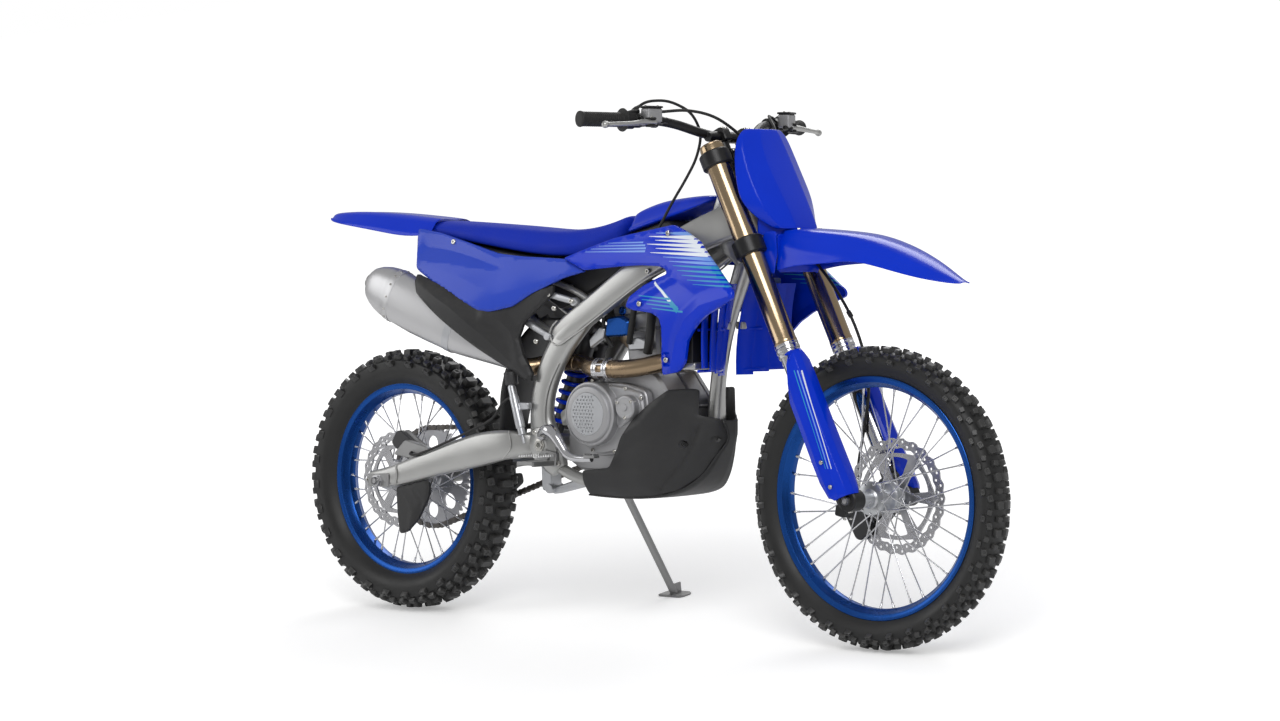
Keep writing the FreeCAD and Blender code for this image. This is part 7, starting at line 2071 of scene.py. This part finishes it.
def make_side_stand():
    """The folding leg with its welded foot and knuckle."""
    pivot, axis = STAND_PIVOT, STAND_AXIS
    leg_points = np.array([v.co[:] for v in frame["nodes"]["side_stand"].data.vertices])
    sole = leg_points[leg_points[:, 2] < leg_points[:, 2].min() + 0.0065]
    middle = (sole.min(axis=0) + sole.max(axis=0)) / 2
    foot = from_world([[middle[0], sole[:, 1].min() + 0.024, sole[:, 2].min()]])[0]
    along = unit(foot - pivot)
    route = [pivot + along * 16.5, pivot + along * 60, foot - along * 60, foot - along * 6]
    leg = swept(route, [12, 10, 9.5, 9.5], 20, 4)
    profile = [(7.8, -11), (15, -11), (16, -9.5), (16, 10), (15, 12), (7.8, 12)]
    knuckle = turned(pivot, axis, profile, 32, closed=True)
    u, v = FLOOR_AHEAD, FLOOR_LEFT
    plan = rounded([(-38, -24), (30, -24), (38, -14), (38, 18), (28, 28), (-30, 28), (-38, 18)], 7)
    pad = prism(plan, foot, u, v, 5.5, 1.2)
    gusset = prism([(-2, 0), (2, 0), (2, 26), (-2, 26)], foot + FLOOR_UP * 5 - u * 2, u, v, 24, 0.8)
    make_piece("side_stand_leg", [leg, knuckle, pad, gusset], "peg_steel", "side_stand", ("side_stand",),
               smooth=40)


# Engine and exhaust.

BARREL_FOOT = np.array([815.0, 0.0, 634.0])
BARREL_TILT = math.radians(6)
BARREL_AHEAD = np.array([math.cos(BARREL_TILT), 0.0, math.sin(BARREL_TILT)])
BARREL_UP = np.array([-math.sin(BARREL_TILT), 0.0, math.cos(BARREL_TILT)])
RIGHTWARD = np.array([0.0, -1.0, 0.0])
CLUTCH = np.array([719.0, 0.0, 521.0])
FILTER = np.array([829.0, 0.0, 540.0])
PUMP = np.array([850.0, 0.0, 470.0])
GENERATOR = np.array([800.0, 0.0, 486.0])


def on_barrel(ahead, side, up):
    """A point of the leaning top end, from the middle of its foot."""
    return BARREL_FOOT + BARREL_AHEAD * ahead + Y_AXIS * side + BARREL_UP * up


def barrel_layer(back, front, half, low, high, round_by=14, edge=2.0):
    """One storey of the leaning top end, as a rounded block."""
    plan = rounded([(back, -half), (front, -half), (front, half), (back, half)], round_by)
    return prism(plan, BARREL_FOOT + BARREL_UP * low, BARREL_AHEAD, Y_AXIS, high - low, edge)


def row_of_screws(outline, inward, spacing, place, axis, size):
    """Cap screws spread along the inside of an outline."""
    line = denser(inset(anticlockwise(outline), inward), spacing)
    shapes, last = [], None
    for point in line:
        if last is None or np.linalg.norm(point - last) > spacing * 0.8:
            shapes.append(cap_screw(place(point), axis, size))
            last = point
    return joined(shapes)


def make_engine_cases():
    """The split cases, and the barrel, head and cam cover that lean back over them."""
    outline = [(598, 404), (598, 550), (640, 577), (704, 592), (728, 626), (762, 634), (878, 622),
               (928, 560), (938, 450), (900, 380), (642, 380)]
    right = rounded(outline, 12)
    outline = [(684, 588), (704, 592), (728, 626), (762, 634), (878, 622), (928, 560), (938, 450),
               (900, 380), (694, 380), (670, 404), (678, 452), (664, 500)]
    left = rounded(outline, 10)
    cases = [prism(right, Y_AXIS, X_AXIS, Z_AXIS, 80, 7), prism(right, (0, 60, 0), X_AXIS, Z_AXIS, 57, 3),
             prism(left, (0, 79, 0), X_AXIS, Z_AXIS, 20, 4)]
    ribs = [side_plate([(904, 400 + k * 42), (934, 412 + k * 42), (934, 418 + k * 42), (900, 408 + k * 42)],
                       2, 50, 100, 2) for k in range(4)]
    storeys = ((-58, 58, 56, 0, 9), (-53, 53, 51, 8, 84, 20), (-58, 58, 56, 83, 92),
               (-66, 62, 58, 92, 128, 16), (-74, 66, 63, 126, 150, 14, 4), (-68, 62, 60, 148, 166, 14, 3))
    top = [barrel_layer(*storey) for storey in storeys]
    make_piece("engine_cases", cases + ribs + top, "engine_alloy", "frame", ("engine",), smooth=32)
    cover = [barrel_layer(-62, 58, 54, 166, 190, 18, 4), barrel_layer(-48, 44, 42, 188, 200, 16, 5)]
    make_piece("cam_cover", cover, "black_alloy", "frame", smooth=35)
    profile = [(11, 0), (11, 3), (8.5, 5), (5, 5), (5, 2), (0.01, 2)]
    plugs = [turned(on_barrel(x, -62.4, 138), RIGHTWARD, profile, 24) for x in (-40, 32)]
    plugs.append(turned(on_barrel(-4, 0, 199), BARREL_UP, [(14, 0), (14, 5), (11, 7), (0.01, 7)], 8))
    make_piece("head_plugs", plugs, "blue_rim", "frame", smooth=35)
    screws = [bolt(on_barrel(x, y, 190), BARREL_UP, 5) for x in (-54, -2, 50) for y in (-47, 47)]
    screws += [bolt(on_barrel(x, -56.5, z), RIGHTWARD, 4.5) for x in (-48, 48) for z in (5, 88)]
    screws += [bolt(on_barrel(x, -60, 157), RIGHTWARD, 4.5) for x in (-58, -14, 52)]
    make_piece("top_end_screws", screws, "zinc_bolt", "frame")
    route = [on_barrel(58, -34, 108), on_barrel(84, -40, 112), (955, -70, 770), (1000, -96, 800),
             (1030, -104, 812)]
    hose = swept(route, 14, 20, 6)
    hoses = [swept([(806, -66, 822), (812, -80, 780), (806, -84, 730), (792, -76, 690)], 7.5, 16, 6),
             swept([(862, -66, 838), (872, -84, 790), (870, -88, 730), (852, -78, 668)], 11, 18, 6),
             swept([(700, -70, 800), (716, -80, 760), (712, -76, 720), (730, -66, 680)], 5, 14, 6),
             swept([(640, -60, 780), (690, -72, 740), (760, -80, 718), (800, -76, 716)], 4, 12, 6)]
    box = side_plate([(724, 704), (792, 708), (800, 742), (772, 756), (730, 750)], 8, -66, 22, 4)
    make_piece("injector_cover", box, "blue_rim", "frame", smooth=35)
    make_piece("engine_hoses", hoses, "black_rubber", "frame", smooth=50)
    brackets = [side_plate([(676, 676), (716, 700), (722, 724), (706, 728), (672, 696)], 5, -72, 14, 2.5),
                side_plate([(786, 672), (846, 676), (850, 694), (816, 706), (788, 698)], 6, -58, 16, 3)]
    make_piece("engine_brackets", brackets, "hub_alloy", "frame", smooth=35)
    clips = [turned((1000, -96, 800), (30, -9, 13), [(14.6, -5), (15.4, -4), (15.4, 4), (14.6, 5)], 28)]
    profile = [(27, -6), (29, 0), (29, 14), (26, 17), (26, 40), (29, 43), (29, 58), (24, 62), (0.01, 62)]
    intake = turned(on_barrel(-74, 0, 128), -BARREL_AHEAD + BARREL_UP * 0.25, profile, 32)
    make_piece("coolant_hose_and_intake", [hose, intake], "black_rubber", "frame", smooth=45)
    make_piece("hose_clips", clips, "zinc_bolt", "frame", smooth=40)


APRON = [(628, 470), (640, 572), (690, 598), (800, 596), (868, 580), (882, 500), (840, 430), (720, 418)]


def make_engine_covers():
    """The clutch cover with its field of dimples, the filter cap, pump and generator covers."""
    apron = rounded(APRON, 16)
    shapes = [prism(apron, (0, -80, 0), X_AXIS, Z_AXIS, 24, 3),
              prism(inset(anticlockwise(apron), 7), (0, -102, 0), X_AXIS, Z_AXIS, 12, 4)]
    rim = [(77, 104), (77, 136), (75, 139), (71.5, 140), (70.5, 138), (69, 138), (68, 141), (65, 145),
           (62, 146), (52, 146), (51, 145), (51, 143.6), (0.01, 143.6)]
    shapes.append(turned(CLUTCH, RIGHTWARD, rim, 96))
    cap = [(29, 112), (29, 134), (27, 137), (24, 138), (22, 137), (21, 136.4), (9, 136.4), (8, 139.4),
           (0.01, 139.6)]
    shapes.append(turned(FILTER, RIGHTWARD, cap, 48))
    pump = [(26, 100), (26, 110), (24, 113), (14, 114), (12, 115.6), (0.01, 115.8)]
    shapes.append(turned(PUMP, RIGHTWARD, pump, 40))
    generator = [(68, 78), (68, 100), (65, 104), (56, 105), (54, 107), (54, 111), (51, 113.5), (0.01, 114)]
    shapes.append(turned(GENERATOR, Y_AXIS, generator, 72))
    web = side_plate([(780, 560), (826, 572), (838, 512), (794, 486)], 10, -108, 14, 4)
    make_piece("engine_side_covers", shapes + [web], "engine_alloy", "frame", ("engine_covers",), smooth=30)
    disc = [polar(51, a) for a in even_angles(48)]
    holes = []
    for row in range(-5, 6):
        for column in range(-6, 7):
            x = column * 9.6 + (4.8 if row % 2 else 0.0)
            z = row * 8.3
            if math.hypot(x, z) < 45 and x < 20:
                holes.append(round_hole(x, z, 2.5, 8))
    plate = flat_ring(disc, holes, 2.0, 7.0, CLUTCH, -145.0)
    make_piece("dimpled_plate", plate, "hub_alloy", "frame", smooth=30)
    screws = [row_of_screws(apron, 9, 44, lambda p: (p[0], -113, p[1]), RIGHTWARD, 5.0)]
    rings = ((CLUTCH, 106, 80, 8, 0.2), (FILTER, 136.5, 24.5, 3, 0.6), (PUMP, 112.5, 20, 3, 0.3))
    for centre, out, spread, count, first in rings:
        for a in even_angles(count):
            screws.append(cap_screw(wheel_point(centre, spread, first + a, -out), RIGHTWARD, 4.2))
    screws += [cap_screw(wheel_point(GENERATOR, 61, a, 104.5), Y_AXIS, 4.2) for a in even_angles(7)]
    make_piece("cover_screws", screws, "zinc_bolt", "frame")


MUFFLER_FRONT = np.array([440.0, -106.0, 642.0])
MUFFLER_REAR = np.array([-24.0, -134.0, 838.0])
MUFFLER_ALONG = unit(MUFFLER_REAR - MUFFLER_FRONT)
MUFFLER_UP = unit(np.cross(Y_AXIS, MUFFLER_ALONG))
MUFFLER_SIDE = unit(np.cross(MUFFLER_ALONG, MUFFLER_UP))
PIPE = 22.0


def can_ring(distance, tall, wide, power=2.4, count=48):
    """A squarish oval round the muffler's axis."""
    middle = MUFFLER_FRONT + MUFFLER_ALONG * distance
    ring = []
    for a in even_angles(count):
        c, s = math.cos(a), math.sin(a)
        ring.append(middle + MUFFLER_SIDE * wide * abs(c) ** (2 / power) * (1 if c > 0 else -1)
                    + MUFFLER_UP * tall * abs(s) ** (2 / power) * (1 if s > 0 else -1))
    return ring


def can(stations):
    """A closed shape through squarish rings, each by its distance, height and width."""
    return lofted([can_ring(*s) for s in stations])


def make_muffler():
    """The brushed can, its banded end cone, its rivets and its outlet."""
    body = can([(1, 23, 23, 2), (8, 24, 24, 2), (40, 30, 28, 2.1), (90, 40, 33, 2.3), (140, 50, 38, 2.4),
                (180, 57, 41.5, 2.4), (250, 62.5, 43.6, 2.4), (320, 66.5, 45.4, 2.4), (392, 66, 45.4, 2.4)])
    make_piece("muffler_can", body, "muffler_alloy", "frame", ("muffler",), smooth=60)
    cap = can([(388, 64, 44), (389, 67.6, 45.8), (408, 67.2, 45.8), (410, 65.4, 44.8), (424, 64, 44),
               (446, 59, 41.5), (466, 51, 37.5), (480, 42, 33), (486, 35, 29)])
    make_piece("muffler_end_cone", cap, "muffler_alloy", "frame", smooth=38)
    along, start = MUFFLER_ALONG, MUFFLER_FRONT
    profile = [(18.4, 476), (21, 476), (21, 497), (19.6, 498), (18.4, 497)]
    outlet = turned(start, along, profile, 36, closed=True)
    # A black disc closes the outlet partway in: partly soot in the pipe, partly painted shade of the deep
    # bore.
    dark = turned(start, along, [(18.6, 484), (18.3, 485), (0.01, 485)], 36)
    make_piece("muffler_outlet", outlet, "peg_steel", "frame", smooth=35)
    make_piece("muffler_bore_shade", dark, "black_alloy", "frame", smooth=35)
    rivets = []
    profile = [(3.4, 0), (3.2, 1.6), (1.6, 2.2), (0.01, 2.3)]
    for point in can_ring(399, 67.4, 45.8, 2.4, 28)[::2]:
        outward = unit(point - (start + along * 399))
        rivets.append(turned(point - outward, outward, profile, 12))
    make_piece("muffler_rivets", rivets, "zinc_bolt", "frame", smooth=60)
    strap = can([(176, 57, 41.6, 2.4), (177, 58.4, 42.6, 2.4), (198, 59.8, 43.2, 2.4), (199, 58.4, 42, 2.4)])
    make_piece("muffler_strap", strap, "hub_alloy", "frame", smooth=35)


def make_exhaust():
    """The header that circles the cylinder, with its weld rings and double-loop spring clamp."""
    port = np.array([752.0, 6.0, 744.0])
    away = unit([-70.0, 18.0, -22.0])
    route = [port, port + away * 82, (672, 100, 676), (800, 116, 656), (930, 84, 672), (956, 0, 676),
             (924, -88, 650), (830, -112, 630), (708, -112, 628), (640, -60, 636), (566, -58, 642),
             (512, -62, 634), MUFFLER_FRONT - MUFFLER_ALONG * 46, MUFFLER_FRONT + MUFFLER_ALONG * 6]
    line = round_corners([np.array(p, dtype=float) for p in route], 0.48, 8)
    pipe = swept(line, PIPE - 0.4, 28, smooth=False)
    make_piece("header_pipe", pipe, "bronze_pipe", "frame", ("exhaust_pipe",), smooth=60)
    rings = []
    profile = [(PIPE - 1, -2.4), (PIPE + 0.5, -1.2), (PIPE + 0.5, 1.2), (PIPE - 1, 2.4)]
    for index in range(12, len(line) - 8, 17):
        along = unit(line[index + 1] - line[index - 1])
        rings.append(turned(line[index], along, profile, 28))
    make_piece("header_weld_rings", rings, "bronze_pipe", "frame", smooth=60)
    profile = [(PIPE - 0.5, -7.5), (26.2, -7.5), (27, -6.5), (27, -2), (25.2, -1), (25.2, 1), (27, 2),
               (27, 6.5), (26.2, 7.5), (PIPE - 0.5, 7.5)]
    loops = [turned((x, -111, 628), X_AXIS, profile, 40) for x in (729.5, 761.5)]
    band = side_plate([(724, 612), (767, 612), (767, 622), (724, 622)], 3, -133, 5, 1)
    screw = round_bar((737, -135, 640), (756, -135, 640), 2.6)
    make_piece("double_spring_clamp", loops + [band, screw], "slider_steel", "frame", smooth=35)


make_frame()
make_cradle()
make_swingarm()
make_mud_flap()
make_subframe()
make_shock()
make_sprockets()
make_chain()
make_rear_brake()
make_foot_controls()
make_side_stand()
make_engine_cases()
make_engine_covers()
make_muffler()
make_exhaust()


# Scene.

CAMERA_AZIMUTH = math.radians(40.43)
CAMERA_DOWN = math.radians(1.88)
CAMERA_PLACE = (6268.02, -6463.56, 925.11)
FOCAL_PIXELS = 3524.59
PHOTO_WIDTH = 1280
SENSOR = 36.0
FLOOR_LIFT = (0.29, 0.6)
SURROUND_LIGHT = 0.5


def set_camera():
    """The photograph's view, held level with the upright machine."""
    a, e = CAMERA_AZIMUTH, CAMERA_DOWN
    ahead = np.array([-math.sin(a) * math.cos(e), math.cos(a) * math.cos(e), -math.sin(e)])
    right = np.array([math.cos(a), math.sin(a), 0.0])
    above = np.cross(right, ahead)
    axes = [Vector(row @ TURN) for row in (right, above, -ahead)]
    data = bpy.data.cameras.new("camera")
    camera = bpy.data.objects.new("camera", data)
    bpy.context.scene.collection.objects.link(camera)
    data.sensor_width = SENSOR
    data.lens = FOCAL_PIXELS / PHOTO_WIDTH * SENSOR
    data.clip_end = 100.0
    matrix = Matrix(axes).transposed().to_4x4()
    matrix.translation = Vector(world(CAMERA_PLACE)[0])
    camera.matrix_world = matrix
    bpy.context.scene.camera = camera


def floor_material():
    """A floor that the camera sees as white, apart from the shadow that lies on it."""
    material = bpy.data.materials.new("studio_floor")
    material.use_nodes = True
    tree = material.node_tree
    shader = tree.nodes["Principled BSDF"]
    shader.inputs["Base Color"].default_value = colour(0.9, 0.9, 0.9)
    shader.inputs["Roughness"].default_value = 0.9
    shader.inputs["Specular IOR Level"].default_value = 0.0
    shader.inputs["Emission Color"].default_value = colour(1, 1, 1)
    path = add(tree, "ShaderNodeLightPath")
    place = add(tree, "ShaderNodeTexCoord").outputs["Object"]
    away = add(tree, "ShaderNodeVectorMath", {0: place}, operation="LENGTH").outputs["Value"]
    lift = stretch(tree, away, 0.6, 5.0, *FLOOR_LIFT)
    tree.links.new(math_node(tree, "MULTIPLY", path.outputs["Is Camera Ray"], lift),
                   shader.inputs["Emission Strength"])
    return material


def set_stage():
    """The floor: a wide square, apart from the machine."""
    mesh = bpy.data.meshes.new("studio_floor")
    size = 30.0
    mesh.from_pydata([(-size, -size, 0), (size, -size, 0), (size, size, 0), (-size, size, 0)], [],
                     [(0, 1, 2, 3)])
    floor = bpy.data.objects.new("studio_floor", mesh)
    mesh.materials.append(floor_material())
    bpy.context.scene.collection.objects.link(floor)


def add_lamp(name, place, target, size, power):
    """A soft rectangular lamp that looks at a target."""
    data = bpy.data.lights.new(name, "AREA")
    data.shape = "RECTANGLE"
    data.size, data.size_y = size
    data.energy = power
    lamp = bpy.data.objects.new(name, data)
    lamp.location = place
    lamp.rotation_euler = (Vector(target) - Vector(place)).to_track_quat("-Z", "Y").to_euler()
    bpy.context.scene.collection.objects.link(lamp)


def set_world():
    """Even white surroundings: what the camera and mirrors see is plain white."""
    scene = bpy.context.scene
    surroundings = bpy.data.worlds.new("studio")
    scene.world = surroundings
    surroundings.use_nodes = True
    tree = surroundings.node_tree
    tree.nodes.clear()
    path = add(tree, "ShaderNodeLightPath")
    seen = math_node(tree, "MAXIMUM", path.outputs["Is Camera Ray"], path.outputs["Is Transmission Ray"])
    mirrored_light = math_node(tree, "MULTIPLY", path.outputs["Is Glossy Ray"], -0.1)
    strength = math_node(tree, "ADD", math_node(tree, "MULTIPLY", seen, 1.0 - SURROUND_LIGHT), SURROUND_LIGHT)
    strength = math_node(tree, "ADD", strength, mirrored_light)
    background = add(tree, "ShaderNodeBackground", {"Color": colour(1, 1, 1), "Strength": strength})
    output = add(tree, "ShaderNodeOutputWorld")
    tree.links.new(background.outputs[0], output.inputs[0])
    scene.view_settings.view_transform = "Standard"


set_camera()
set_stage()
set_world()
add_lamp("key_light", (3.4, -3.4, 4.6), (0.1, -0.1, 0.5), (3.0, 3.0), 150.0)
add_lamp("fill_light", (-4.2, -3.0, 2.6), (0.0, 0.0, 0.6), (3.0, 3.0), 50.0)
add_lamp("back_light", (-1.5, 4.5, 4.0), (0.0, 0.0, 0.6), (4.0, 2.5), 90.0)
